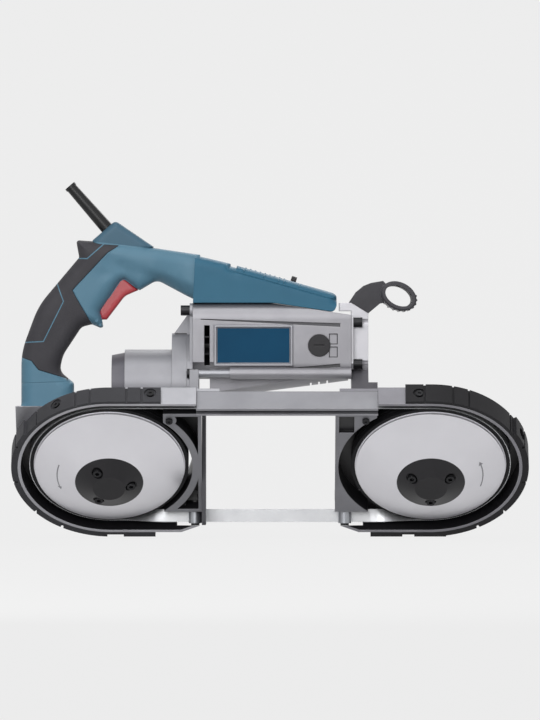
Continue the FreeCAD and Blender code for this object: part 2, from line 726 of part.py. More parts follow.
def socket_screw(head_radius, head_height, socket_radius, socket_depth, radius, length, seat, axis):
    """Socket head screw: its head stands on the seat point and its shank runs along the axis."""
    head = rod(head_radius, head_height, seat - axis * head_height, axis)
    shank = rod(radius, length, seat, axis)
    socket = rod(socket_radius, socket_depth + OVERRUN, seat - axis * (head_height + OVERRUN), axis)
    return head.fuse(shank).cut(socket).removeSplitter()


# Blade

def blade():
    """Endless blade: flat on the wheels, twisted to stand upright between the guides, teeth down."""
    half = BLADE_THICKNESS / 2
    back = -BLADE_WIDTH / 2
    entry = RIGHT_WHEEL - FLAT_ENTRY
    pieces = [block(LEFT_WHEEL, RIGHT_WHEEL, BLADE_RADIUS - half, BLADE_RADIUS + half, back, -back)]
    for wheel, side in ((LEFT_WHEEL, -1), (RIGHT_WHEEL, 1)):
        band = ring(BLADE_RADIUS + half, BLADE_RADIUS - half, BLADE_WIDTH, V(wheel, 0, back), Z_AXIS)
        reach = BLADE_RADIUS + OVERRUN
        outer = sorted((wheel, wheel + side * reach))
        pieces.append(band.common(block(outer[0], outer[1], -reach, reach, back - OVERRUN, OVERRUN - back)))
        run = sorted((wheel, side * entry))
        pieces.append(block(run[0], run[1], -BLADE_RADIUS - half, -BLADE_RADIUS + half, back, -back))
    places = []
    for i in range(TWIST_SECTIONS + 1):
        part = i / TWIST_SECTIONS
        ease = part * part * (3 - 2 * part)
        places.append((-entry + part * (entry - THROAT_HALF), ease))
    places += [(-x, ease) for x, ease in reversed(places)]
    wires = []
    for x, ease in places:
        turn = math.radians((90 - WHEEL_TILT) * ease)
        across_a, across_b = math.cos(turn), math.sin(turn)
        corners = []
        for thick, wide in ((-1, -1), (1, -1), (1, 1), (-1, 1)):
            a = thick * half * across_a - wide * BLADE_WIDTH / 2 * across_b
            b = thick * half * across_b + wide * BLADE_WIDTH / 2 * across_a
            corners.append(V(x, a - BLADE_RADIUS, b))
        wires.append(Part.makePolygon(corners + corners[:1]))
    pieces.append(Part.makeLoft(wires, True, True))
    return in_loop(fused(pieces))


# Wheels

def wheel_profile(inner):
    """Turned section of a dished wheel, closed by its own inner (hub side) points."""
    rim_back = TYRE_FRONT - TYRE_WIDTH
    lip = RIM_RADIUS - RIM_STEP
    return [
        (RIM_RADIUS, rim_back), (RIM_RADIUS, TYRE_FRONT), (lip, TYRE_FRONT), (lip, RIM_FRONT),
        (HUB_RADIUS, HUB_SEAT), *inner, (HUB_RADIUS, WEB_BACK),
        (RIM_RADIUS - RIM_WALL, RIM_FRONT - DISC_WALL), (RIM_RADIUS - RIM_WALL, rim_back),
    ]


def hub_screw_places(wheel, angle):
    """Centres of the hub screws in the loop frame."""
    places = []
    for i in range(HUB_SCREW_COUNT):
        turn = math.radians(angle + FULL_TURN * i / HUB_SCREW_COUNT)
        places.append(V(wheel + HUB_SCREW_CIRCLE * math.cos(turn), HUB_SCREW_CIRCLE * math.sin(turn), 0))
    return places


def hub_screw_holes(wheel, angle, low, high):
    """Clearance holes for the hub screws between two levels."""
    radius = HUB_SCREW_RADIUS + SEAT_GAP
    return [rod(radius, high - low, place + Z_AXIS * low, Z_AXIS) for place in hub_screw_places(wheel,
                                                                                                angle)]


def drive_wheel():
    """Drive wheel disc, bolted to the axle's flange."""
    bore = SPIGOT_RADIUS + SEAT_GAP
    disc = turned(wheel_profile([(bore, HUB_SEAT), (bore, WEB_BACK)]), LEFT_WHEEL, 0)
    holes = hub_screw_holes(LEFT_WHEEL, DRIVE_SCREW_ANGLE, WEB_BACK - OVERRUN, HUB_SEAT + OVERRUN)
    return in_loop(disc.cut(grouped(holes)))


def idler_wheel():
    """Idler wheel disc with a boss for its two bearings."""
    bore = SPIGOT_RADIUS + SEAT_GAP
    seat = IDLER_BEARING_RADIUS
    shoulder = IDLER_HEAD_RADIUS + BEARING_WALL / 2
    seat_end = IDLER_BOSS_BACK + 2 * IDLER_BEARING_WIDTH + IDLER_BEARING_SPACE + 2 * RUN_GAP
    inner = [
        (bore, HUB_SEAT), (bore, WEB_BACK), (shoulder, WEB_BACK), (shoulder, seat_end), (seat, seat_end),
        (seat, IDLER_BOSS_BACK), (IDLER_BOSS_RADIUS, IDLER_BOSS_BACK), (IDLER_BOSS_RADIUS, WEB_BACK),
    ]
    disc = turned(wheel_profile(inner), RIGHT_WHEEL, 0)
    holes = hub_screw_holes(RIGHT_WHEEL, IDLER_SCREW_ANGLE, WEB_BACK - OVERRUN, HUB_SEAT + OVERRUN)
    return in_loop(disc.cut(grouped(holes)))


def tyre(wheel):
    """Rubber tyre with two shallow grooves."""
    inner = RIM_RADIUS + SEAT_GAP
    low = TYRE_RADIUS - TYRE_GROOVE
    step = TYRE_WIDTH / 7
    back = TYRE_FRONT - TYRE_WIDTH
    profile = [(inner, back)]
    for i in range(7):
        radius = low if i in (2, 4) else TYRE_RADIUS
        profile += [(radius, back + i * step), (radius, back + (i + 1) * step)]
    profile.append((inner, TYRE_FRONT))
    return in_loop(turned(profile, wheel, 0))


def hub(wheel, angle):
    """Black hub cap: a low cone with a pocket for each screw."""
    top = HUB_SEAT + HUB_HEIGHT
    recess = SPIGOT_RADIUS + SEAT_GAP
    depth = HUB_SEAT + SPIGOT_RISE - DISC_WALL + SEAT_GAP
    profile = [(recess, HUB_SEAT), (HUB_RADIUS, HUB_SEAT), (HUB_TOP_RADIUS, top), (0, top), (0, depth),
               (recess, depth)]
    cuts = hub_screw_holes(wheel, angle, HUB_SEAT - OVERRUN, top)
    for place in hub_screw_places(wheel, angle):
        cuts.append(rod(HUB_POCKET_RADIUS, HUB_HEIGHT, place + Z_AXIS * (HUB_SEAT + HUB_POCKET_FLOOR),
                        Z_AXIS))
    return in_loop(turned(profile, wheel, 0).cut(grouped(cuts)))


def hub_screws(wheel, angle):
    """Socket screws that hold the hub."""
    seat = HUB_SEAT + HUB_POCKET_FLOOR
    length = seat - WEB_BACK + FLANGE_THICKNESS / 2
    screws = []
    for place in hub_screw_places(wheel, angle):
        screws.append(socket_screw(HUB_SCREW_HEAD_RADIUS, HUB_SCREW_HEAD_HEIGHT, HUB_SCREW_SOCKET_RADIUS,
                                   HUB_SCREW_HEAD_HEIGHT / 2, HUB_SCREW_RADIUS, length,
                                   place + Z_AXIS * seat, -Z_AXIS))
    return in_loop(grouped(screws))


def drive_axle():
    """Drive axle with the flange that carries the wheel."""
    tail = CASE_BACK - CASE_BEARING_DEPTH + RUN_GAP
    profile = [
        (0, tail), (DRIVE_JOURNAL_RADIUS, tail), (DRIVE_JOURNAL_RADIUS, CASE_BACK + RUN_GAP),
        (DRIVE_AXLE_RADIUS, CASE_BACK + RUN_GAP), (DRIVE_AXLE_RADIUS, WEB_BACK - FLANGE_THICKNESS),
        (FLANGE_RADIUS, WEB_BACK - FLANGE_THICKNESS), (FLANGE_RADIUS, WEB_BACK), (SPIGOT_RADIUS, WEB_BACK),
        (SPIGOT_RADIUS, WEB_BACK + SPIGOT_RISE), (0, WEB_BACK + SPIGOT_RISE),
    ]
    holes = hub_screw_holes(LEFT_WHEEL, DRIVE_SCREW_ANGLE, WEB_BACK - FLANGE_THICKNESS - OVERRUN,
                            WEB_BACK + OVERRUN)
    return in_loop(turned(profile, LEFT_WHEEL, 0).cut(grouped(holes)))


def idler_axle():
    """Fixed axle of the idler, with a head at each end."""
    front = IDLER_BOSS_BACK + 2 * IDLER_BEARING_WIDTH + IDLER_BEARING_SPACE + 2 * RUN_GAP
    profile = [
        (0, CARRIAGE_BACK - IDLER_HEAD_THICKNESS),
        (IDLER_HEAD_RADIUS, CARRIAGE_BACK - IDLER_HEAD_THICKNESS),
        (IDLER_HEAD_RADIUS, CARRIAGE_BACK), (IDLER_AXLE_RADIUS, CARRIAGE_BACK), (IDLER_AXLE_RADIUS, front),
        (IDLER_HEAD_RADIUS, front), (IDLER_HEAD_RADIUS, front + IDLER_HEAD_THICKNESS),
        (0, front + IDLER_HEAD_THICKNESS),
    ]
    return in_loop(turned(profile, RIGHT_WHEEL, 0))


def bearing(outer, inner, width, base, axis):
    """Closed ball bearing as one ring, a light fit in its seat and on its shaft."""
    return ring(outer - BEARING_GAP, inner + BEARING_GAP, width, base, axis)


def idler_bearings():
    """Two bearings in the idler's boss."""
    first = IDLER_BOSS_BACK + RUN_GAP
    second = first + IDLER_BEARING_WIDTH + IDLER_BEARING_SPACE
    rings = []
    for back in (first, second):
        base = V(RIGHT_WHEEL, 0, back)
        rings.append(bearing(IDLER_BEARING_RADIUS, IDLER_AXLE_RADIUS, IDLER_BEARING_WIDTH, base, Z_AXIS))
    return in_loop(grouped(rings))


# Wheel housings

def guard_outline(side, wheel, seam, radius, inset, past):
    """Outline of a wheel housing in the loop plane, drawn inset from the outer wall."""
    slope = math.atan2(GUARD_TIP_RISE, GUARD_TIP_SLOPE)
    tip = V(side * (GUARD_TIP + inset * math.sin(slope)),
            -GUARD_RADIUS + GUARD_TIP_RISE + inset * math.cos(slope), 0)
    tip = tip + V(-side * past * math.cos(slope), past * math.sin(slope), 0)
    knee = V(side * (GUARD_TIP + GUARD_TIP_SLOPE + inset * math.tan(slope / 2)), -radius, 0)
    high = V(seam - side * past, radius, 0)
    start = V(wheel, radius, 0)
    end = V(wheel, -radius, 0)
    edges = [
        Part.LineSegment(high, start).toShape(),
        Part.Arc(start, V(wheel + side * radius, 0, 0), end).toShape(),
    ]
    foot = V(tip.x, tip.y + GUARD_TIP_FOOT, 0)
    corners = [end, knee, tip, foot, V(seam - side * past, foot.y, 0), high]
    for first, second in zip(corners, corners[1:]):
        edges.append(Part.LineSegment(first, second).toShape())
    return Part.Face(Part.Wire(edges))


def guide_notch(side):
    """Space left in a housing's end for the guide head, its rollers and the blade."""
    ends = sorted((side * (GUARD_TIP - OVERRUN), side * (GUIDE_HEAD_REACH + RUN_GAP)))
    front = BLADE_Y - ROLLER_REACH - ROLLER_RADIUS - RUN_GAP
    rear = BLADE_Y + GUIDE_HEAD_HALF_DEPTH + RUN_GAP
    low = ROLLER_Z - ROLLER_PIN_HEAD_HEIGHT - 2 * RUN_GAP
    return block(ends[0], ends[1], front, rear, low, GUIDE_HEAD_LOW + GUIDE_HEAD_HEIGHT + RUN_GAP)


def bumper_screw_lines():
    """Where each bumper screw sits: a centre in the loop plane and an outward direction."""
    lines = [
        (V(LEFT_BUMPER_TOP_END - LEFT_BUMPER_SCREW_INSET, 0, 0), 0, -1),
        (V(LEFT_WHEEL, 0, 0), LEFT_BUMPER_SCREW_ANGLE, -1),
        (V(RIGHT_BUMPER_TOP_END + RIGHT_BUMPER_SCREW_INSET, 0, 0), 0, 1),
        (V(RIGHT_WHEEL, 0, 0), RIGHT_BUMPER_SCREW_ANGLE, 1),
    ]
    places = []
    for centre, angle, side in lines:
        turn = math.radians(angle)
        places.append((centre, V(side * math.sin(turn), math.cos(turn), 0)))
    return places


def bumper_screw_holes(radius, start, length):
    """Holes along the bumper screws."""
    return grouped([rod(radius, length, centre + out * start, out) for centre, out in bumper_screw_lines()])


def housing_tray(side, wheel, seam):
    """Back plate and surrounding wall of one wheel housing."""
    outer = guard_outline(side, wheel, seam, GUARD_RADIUS, 0, 0)
    tray = outer.copy()
    tray.translate(V(0, 0, PLATE_BACK))
    tray = tray.extrude(V(0, 0, GUARD_FRONT - PLATE_BACK))
    near = GUARD_RADIUS / 1000
    rims = []
    for edge in tray.Edges:
        ends = [vertex.Point for vertex in edge.Vertexes]
        if all(abs(end.z - PLATE_BACK) < near and abs(abs(end.y) - GUARD_RADIUS) < near for end in ends):
            rims.append(edge)
    tray = tray.makeChamfer(GUARD_BACK_CHAMFER, rims)
    inner = guard_outline(side, wheel, seam, GUARD_RADIUS - GUARD_WALL, GUARD_WALL, OVERRUN)
    inner.translate(V(0, 0, PLATE_FRONT))
    tray = tray.cut(inner.extrude(V(0, 0, GUARD_FRONT - PLATE_FRONT + OVERRUN)))
    clear = TYRE_RADIUS + WHEEL_CLEARANCE
    window = ring(clear, WINDOW_INNER_RADIUS, PLATE_THICKNESS + 2 * OVERRUN,
                  V(wheel, 0, PLATE_BACK - OVERRUN), Z_AXIS)
    near = sorted((wheel - side * WINDOW_INNER_RADIUS / 2, wheel - side * clear))
    keep = block(near[0], near[1], -WINDOW_HALF_HEIGHT, WINDOW_HALF_HEIGHT, PLATE_BACK - OVERRUN,
                 PLATE_FRONT + OVERRUN)
    tray = tray.cut(window.common(keep))
    holes = bumper_screw_holes(SCREW_RADIUS + SEAT_GAP, GUARD_RADIUS - 2 * GUARD_WALL, 3 * GUARD_WALL)
    return tray.cut(holes)


def arm_screw_place(side):
    """Loop frame place of a guide arm's screw."""
    return V(LEFT_ARM_SCREW_X if side < 0 else RIGHT_ARM_SCREW_X, ARM_SCREW_A, 0)


def gearcase_lug_places():
    """Loop frame centres of the gear case's fixing lugs."""
    radius = case_outer_radius() + 0.75 * LUG_RADIUS
    places = []
    for angle in LUG_ANGLES:
        turn = math.radians(angle)
        places.append(V(LEFT_WHEEL + radius * math.cos(turn), radius * math.sin(turn), 0))
    return places


def handle_lug():
    """Cast lug behind the left housing that the handle's base stands on."""
    top_a = (HANDLE_BASE - LOOP_Z + PLATE_BACK * SIN_TILT) / COS_TILT
    high = LOOP.multVec(V(0, top_a, PLATE_BACK))
    low = LOOP.multVec(V(0, HANDLE_LUG_FOOT, PLATE_BACK))
    points = [
        V(HANDLE_LUG_LEFT, high.y, high.z), V(HANDLE_LUG_LEFT, HANDLE_LUG_HALF_DEPTH, HANDLE_BASE),
        V(HANDLE_LUG_LEFT, HANDLE_LUG_HALF_DEPTH, HANDLE_BASE - HANDLE_LUG_EDGE),
        V(HANDLE_LUG_LEFT, low.y, low.z),
    ]
    lug = flat_face(points).extrude(V(HANDLE_LUG_LENGTH, 0, 0))
    cuts = []
    for x in base_screw_xs():
        seat = HANDLE_BASE - BASE_SCREW_SEAT
        cuts.append(rod(BASE_SCREW_RADIUS + SEAT_GAP, HANDLE_LUG_EDGE, V(x, 0, seat), Z_AXIS))
        deep = HANDLE_HEIGHT / 2
        cuts.append(rod(BOLT_CAP_RADIUS, deep, V(x, 0, seat - deep), Z_AXIS))
    return lug.cut(grouped(cuts))


def base_screw_xs():
    """Where the two screws under the handle's base stand along X."""
    return [HANDLE_LEFT + share * HANDLE_LENGTH for share in BASE_SCREW_SHARES]


def left_wheel_housing():
    """Left housing: it carries the drive bearing, the gear case and the handle's lug."""
    tray = housing_tray(-1, LEFT_WHEEL, LEFT_SEAM)
    tab = block(LEFT_SEAM - OVERRUN, LEFT_SEAM + BEAM_TAB_LENGTH, BEAM_LIP - BEAM_WALL, BEAM_TOP,
                PLATE_BACK, PLATE_FRONT)
    boss_radius = DRIVE_BEARING_RADIUS + BEARING_WALL
    bearing_back = PLATE_FRONT + 2 * PLATE_THICKNESS
    boss = rod(boss_radius, bearing_back + DRIVE_BEARING_WIDTH - PLATE_BACK,
               V(LEFT_WHEEL, 0, PLATE_BACK), Z_AXIS)
    bush_boss = rod(BUSH_RADIUS + BUSH_BOSS_WALL, BUSH_RISE - PLATE_BACK + PLATE_FRONT,
                    V(INTERMEDIATE_X, INTERMEDIATE_A, PLATE_BACK), Z_AXIS)
    body = fused([tray, tab, boss, bush_boss])
    cuts = [
        rod(DRIVE_BEARING_RADIUS, DRIVE_BEARING_WIDTH + OVERRUN, V(LEFT_WHEEL, 0, bearing_back), Z_AXIS),
        rod(DRIVE_AXLE_RADIUS + RUN_GAP, bearing_back - PLATE_BACK + OVERRUN,
            V(LEFT_WHEEL, 0, PLATE_BACK - OVERRUN), Z_AXIS),
        rod(BUSH_RADIUS, BUSH_LENGTH + OVERRUN, V(INTERMEDIATE_X, INTERMEDIATE_A, PLATE_BACK - OVERRUN),
            Z_AXIS),
        rod(SCREW_RADIUS + SEAT_GAP, PLATE_THICKNESS + 2 * OVERRUN,
            arm_screw_place(-1) + Z_AXIS * (PLATE_BACK - OVERRUN), Z_AXIS),
    ]
    for place in gearcase_lug_places():
        cuts.append(rod(HUB_SCREW_RADIUS + SEAT_GAP, PLATE_THICKNESS + 2 * OVERRUN,
                        place + Z_AXIS * (PLATE_BACK - OVERRUN), Z_AXIS))
    body = in_loop(body.cut(grouped(cuts))).fuse(handle_lug()).removeSplitter()
    return body.cut(guide_notch(-1))


def bracket_screw_places():
    """Loop frame places of the screws that hold the front bracket's foot."""
    x = MOTOR_RIGHT + 0.8 * BRACKET_THICKNESS
    span = BRACKET_FOOT_HIGH - BRACKET_FOOT_LOW
    return [V(x, BRACKET_FOOT_LOW + share * span, 0) for share in BRACKET_SCREW_SHARES]


def right_wheel_housing():
    """Right housing: rails for the tension carriage and a boss for its lever on the back."""
    tray = housing_tray(1, RIGHT_WHEEL, RIGHT_SEAM)
    plate = block(RIGHT_PLATE_EDGE, RIGHT_SEAM + OVERRUN, GUARD_TIP_FOOT + GUARD_TIP_RISE - GUARD_RADIUS,
                  BEAM_TOP,
                  PLATE_BACK, PLATE_FRONT)
    inside = CARRIAGE_HALF_WIDTH + RUN_GAP
    left = ABUTMENT_X - ABUTMENT_THICKNESS
    right = CARRIAGE_RIGHT + RAIL_WALL
    rails = [
        block(left, right, inside, inside + RAIL_WALL, RAIL_BACK, PLATE_BACK),
        block(left, right, -inside - RAIL_WALL, -inside, RAIL_BACK, PLATE_BACK),
        block(left, ABUTMENT_X, -inside - RAIL_WALL, inside + RAIL_WALL, RAIL_BACK, PLATE_BACK),
        rod(LEVER_BOSS_RADIUS, LEVER_BOSS_HEIGHT, V(LEVER_X, 0, PLATE_BACK), -Z_AXIS),
    ]
    body = fused([tray, plate] + rails)
    reach = IDLER_AXLE_RADIUS + WHEEL_CLEARANCE
    deep = PLATE_THICKNESS + 2 * OVERRUN
    low = PLATE_BACK - OVERRUN
    cuts = [
        block(RIGHT_WHEEL - TENSION_TRAVEL - reach, RIGHT_WHEEL + reach, -reach, reach, low, low + deep),
        rod(LEVER_BOLT_RADIUS + SEAT_GAP, deep + LEVER_BOSS_HEIGHT,
            V(LEVER_X, 0, low - LEVER_BOSS_HEIGHT), Z_AXIS),
        rod(SCREW_RADIUS + SEAT_GAP, deep, arm_screw_place(1) + Z_AXIS * low, Z_AXIS),
        rod(SPRING_ROD_RADIUS + RUN_GAP, ABUTMENT_THICKNESS + 2 * OVERRUN,
            V(left - OVERRUN, 0, PLATE_BACK - SPRING_SETBACK), X_AXIS),
    ]
    for place in bracket_screw_places():
        cuts.append(rod(HUB_SCREW_RADIUS + SEAT_GAP, deep, place + Z_AXIS * low, Z_AXIS))
    return in_loop(body.cut(grouped(cuts))).cut(guide_notch(1))


def top_beam():
    """Straight channel between the housings, which guards the blade's return run."""
    section = [
        (BEAM_LIP, PLATE_FRONT), (BEAM_TOP, PLATE_FRONT), (BEAM_TOP, GUARD_FRONT),
        (BEAM_TOP - BEAM_WALL, GUARD_FRONT),
        (BEAM_TOP - BEAM_WALL, PLATE_FRONT + BEAM_WALL),
        (BEAM_LIP + BEAM_LIP_WALL, PLATE_FRONT + BEAM_WALL),
        (BEAM_LIP + BEAM_LIP_WALL, GUARD_FRONT), (BEAM_LIP, GUARD_FRONT),
    ]
    face = flat_face([V(LEFT_SEAM, a, b) for a, b in section])
    return in_loop(face.extrude(V(RIGHT_SEAM - LEFT_SEAM, 0, 0)))


# Bumpers

def bumper_band(side, wheel, top_end, low_end, back, inner, outer):
    """Band that follows a housing's wall between two radii."""
    points = [V(top_end, outer, back), V(wheel, outer, back), V(wheel, -outer, back),
              V(low_end, -outer, back),
              V(low_end, -inner, back), V(wheel, -inner, back), V(wheel, inner, back),
              V(top_end, inner, back)]
    edges = []
    for i, start in enumerate(points):
        end = points[(i + 1) % len(points)]
        if i in (1, 5):
            edges.append(Part.Arc(start, V(wheel + side * abs(start.y), 0, back), end).toShape())
        else:
            edges.append(Part.LineSegment(start, end).toShape())
    return Part.Face(Part.Wire(edges)).extrude(V(0, 0, GUARD_FRONT - back))


def bumper(side, wheel, top_end, low_end, back, groove_angles, pad_count):
    """Rubber bumper with grooves across it, and pads under it and round its end."""
    band = bumper_band(side, wheel, top_end, low_end, back, GUARD_RADIUS + SEAT_GAP, BUMPER_RADIUS)
    pads = []
    for i in range(pad_count):
        ends = sorted((low_end + side * i * PAD_PITCH, low_end + side * (i * PAD_PITCH + PAD_LENGTH)))
        pads.append(block(ends[0], ends[1], -PAD_RADIUS, -BUMPER_RADIUS + BUMPER_THICKNESS / 2, back,
                          GUARD_FRONT))
    around = bumper_band(side, wheel, top_end, low_end, back, BUMPER_RADIUS - BUMPER_THICKNESS / 2,
                         PAD_RADIUS)
    reach = 2 * PAD_RADIUS
    for angles in CORNER_PADS:
        points = [V(wheel, 0, back)]
        for angle in angles:
            turn = math.radians(angle)
            points.append(V(wheel + side * reach * math.sin(turn), reach * math.cos(turn), back))
        pads.append(around.common(flat_face(points).extrude(V(0, 0, GUARD_FRONT - back))))
    body = fused([band] + pads)
    cuts = []
    deep = BUMPER_RADIUS - BUMPER_GROOVE_DEPTH
    half = BUMPER_GROOVE_WIDTH / 2
    for angle in groove_angles:
        cut = block(-half, half, deep, PAD_RADIUS + OVERRUN, back - OVERRUN, GUARD_FRONT + OVERRUN)
        cut.rotate(ORIGIN, Z_AXIS, -side * angle)
        cut.translate(V(wheel, 0, 0))
        cuts.append(cut)
    for inset in STRAIGHT_GROOVES:
        x = top_end + side * inset
        if abs(x) < abs(wheel):
            cuts.append(block(x - half, x + half, deep, PAD_RADIUS, back - OVERRUN, GUARD_FRONT + OVERRUN))
    seat = BUMPER_RADIUS - SCREW_HEAD_HEIGHT
    cuts.append(bumper_screw_holes(SCREW_RADIUS + SEAT_GAP, GUARD_RADIUS - GUARD_WALL,
                                   2 * BUMPER_THICKNESS))
    cuts.append(bumper_screw_holes(BUMPER_WELL_RADIUS, seat, BUMPER_THICKNESS + BUMPER_PAD))
    for cut in cuts:
        body = body.cut(cut)
    return in_loop(body)


# Guide arms

def guide_clearance(wheel, extra):
    """Round space kept free for a wheel, moved by the tension travel on the idler's side."""
    deep = GUARD_FRONT - PLATE_FRONT + 2 * OVERRUN
    centre = V(wheel - extra, 0, PLATE_FRONT - OVERRUN)
    return rod(TYRE_RADIUS + WHEEL_CLEARANCE, deep, centre, Z_AXIS)


def guide_head(side, face):
    """Block over the blade that holds the roller pins, with a cheek on each side of the thrust roller."""
    ends = sorted((side * face, side * GUIDE_HEAD_REACH))
    high = GUIDE_HEAD_LOW + GUIDE_HEAD_HEIGHT
    front = BLADE_Y - GUIDE_HEAD_HALF_DEPTH
    rear = BLADE_Y + GUIDE_HEAD_HALF_DEPTH
    pieces = [block(ends[0], ends[1], front, rear, GUIDE_HEAD_LOW, high)]
    cheek = sorted((side * (THRUST_X - THRUST_RADIUS), side * GUIDE_HEAD_REACH))
    inside = THRUST_LENGTH / 2 + RUN_GAP
    low = THRUST_Z - CHEEK_DROP
    pieces.append(block(cheek[0], cheek[1], BLADE_Y - inside - CHEEK_LENGTH, BLADE_Y - inside, low, high))
    pieces.append(block(cheek[0], cheek[1], BLADE_Y + inside, BLADE_Y + inside + CHEEK_LENGTH, low, high))
    for reach in (-ROLLER_REACH, ROLLER_REACH):
        base = V(side * GUIDE_X, BLADE_Y + reach, ROLLER_TOP_Z + RUN_GAP)
        pieces.append(rod(ROLLER_BOSS_RADIUS, high - base.z, base, Z_AXIS))
    return pieces


def guide_head_cuts(side):
    """Pin holes of a guide head, and the space round its thrust roller."""
    cuts = []
    high = GUIDE_HEAD_LOW + GUIDE_HEAD_HEIGHT
    for reach in (-ROLLER_REACH, ROLLER_REACH):
        base = V(side * GUIDE_X, BLADE_Y + reach, ROLLER_TOP_Z - OVERRUN)
        cuts.append(rod(ROLLER_PIN_RADIUS + SEAT_GAP, high - base.z + OVERRUN, base, Z_AXIS))
    wide = 2 * GUIDE_HEAD_HALF_DEPTH + 2 * OVERRUN
    start = V(side * THRUST_X, BLADE_Y - wide / 2, THRUST_Z)
    cuts.append(rod(ROLLER_PIN_RADIUS + SEAT_GAP, wide, start, Y_AXIS))
    inside = THRUST_LENGTH / 2 + RUN_GAP
    start = V(side * THRUST_X, BLADE_Y - inside, THRUST_Z)
    cuts.append(rod(THRUST_RADIUS + RUN_GAP, 2 * inside, start, Y_AXIS))
    return cuts


def guide_arm(side, wheel, face, extra, pocketed):
    """Arm from the housing down to a guide head, hollowed round the wheel."""
    ends = sorted((side * face, side * ARM_REACH))
    body = block(ends[0], ends[1], ARM_FOOT, ARM_TOP, PLATE_FRONT, ARM_FRONT)
    body = body.cut(guide_clearance(wheel, extra))
    if pocketed:
        pocket = block(ends[0] + ARM_RIB, ends[1] - ARM_RIB, ARM_FOOT + ARM_RIB, ARM_TOP - ARM_RIB,
                       PLATE_FRONT + ARM_WEB, ARM_FRONT + OVERRUN)
        deep = GUARD_FRONT - PLATE_FRONT + 2 * OVERRUN
        pocket = pocket.cut(rod(ARM_POCKET_RADIUS, deep, V(wheel, 0, PLATE_FRONT - OVERRUN), Z_AXIS))
        boss = rod(2 * SCREW_HEAD_RADIUS, deep, arm_screw_place(side) + Z_AXIS * PLATE_FRONT, Z_AXIS)
        body = body.cut(pocket.cut(boss))
    else:
        recess = block(ends[0] + ARM_RIB, ends[0] + ARM_RIB + ARM_REACH / 7, ARM_TOP - ARM_REACH / 4,
                       ARM_TOP - ARM_RIB, ARM_FRONT - ARM_WEB, ARM_FRONT + OVERRUN)
        body = body.cut(recess)
    deep = GUARD_FRONT - PLATE_FRONT + OVERRUN
    hole = rod(SCREW_RADIUS + SEAT_GAP, deep + OVERRUN,
               arm_screw_place(side) + Z_AXIS * (PLATE_FRONT - OVERRUN), Z_AXIS)
    solid = in_loop(body.cut(hole))
    solid = fused([solid] + guide_head(side, face))
    cuts = guide_head_cuts(side) + [in_loop(guide_clearance(wheel, extra))]
    if pocketed:
        cuts += stop_screw_holes()
    for cut in cuts:
        solid = solid.cut(cut)
    return solid


def roller(side, reach):
    """Guide roller that stands beside the blade on an upright pin."""
    base = V(side * GUIDE_X, BLADE_Y + reach, ROLLER_Z)
    return ring(ROLLER_RADIUS, ROLLER_PIN_RADIUS + BEARING_GAP, ROLLER_LENGTH, base, Z_AXIS)


def thrust_roller(side):
    """Roller behind the blade's back edge."""
    base = V(side * THRUST_X, BLADE_Y - THRUST_LENGTH / 2, THRUST_Z)
    return ring(THRUST_RADIUS, ROLLER_PIN_RADIUS + BEARING_GAP, THRUST_LENGTH, base, Y_AXIS)


def roller_pins():
    """Pins of all six rollers; the upright ones have a head below."""
    pins = []
    high = GUIDE_HEAD_LOW + GUIDE_HEAD_HEIGHT
    for side in (-1, 1):
        for reach in (-ROLLER_REACH, ROLLER_REACH):
            low = V(side * GUIDE_X, BLADE_Y + reach, ROLLER_Z - RUN_GAP)
            head = rod(ROLLER_PIN_HEAD, ROLLER_PIN_HEAD_HEIGHT, low, -Z_AXIS)
            pins.append(head.fuse(rod(ROLLER_PIN_RADIUS, high - low.z, low, Z_AXIS)))
        half = THRUST_LENGTH / 2 + RUN_GAP + CHEEK_LENGTH
        pins.append(rod(ROLLER_PIN_RADIUS, 2 * half, V(side * THRUST_X, BLADE_Y - half, THRUST_Z), Y_AXIS))
    return grouped(pins)


def stop_screw_points():
    """Where the work stop's screws cross its face."""
    points = []
    for a in STOP_SCREW_AS:
        place = LOOP.multVec(V(0, a, 0))
        points.append(V(-LEFT_ARM_FACE + STOP_THICKNESS, place.y, place.z))
    return points


def stop_screw_holes():
    """Holes for the work stop's screws."""
    length = STOP_THICKNESS + 3 * ARM_RIB
    return [rod(SCREW_RADIUS + SEAT_GAP, length, point + X_AXIS * OVERRUN,
                -X_AXIS) for point in stop_screw_points()]


def work_stop():
    """Plate that the work bears against, slotted for the blade."""
    rear = BLADE_Y + STOP_BEHIND_BLADE
    left = -LEFT_ARM_FACE
    plate = block(left, left + STOP_THICKNESS, rear - STOP_DEPTH, rear, STOP_LOW, STOP_LOW + STOP_HEIGHT)
    edges = [edge for edge in plate.Edges if edge.BoundBox.XLength > STOP_THICKNESS / 2]
    plate = plate.makeFillet(STOP_CORNER, edges)
    half = STOP_SLOT / 2
    slot = block(left - OVERRUN, left + STOP_THICKNESS + OVERRUN, BLADE_Y - half, BLADE_Y + half,
                 STOP_LOW - OVERRUN, STOP_SLOT_TOP)
    plate = plate.cut(slot)
    for hole in stop_screw_holes():
        plate = plate.cut(hole)
    for point in stop_screw_points():
        plate = plate.cut(rod(SCREW_HEAD_RADIUS + SEAT_GAP, SCREW_HEAD_HEIGHT + OVERRUN,
                              point + X_AXIS * OVERRUN, -X_AXIS))
    return plate


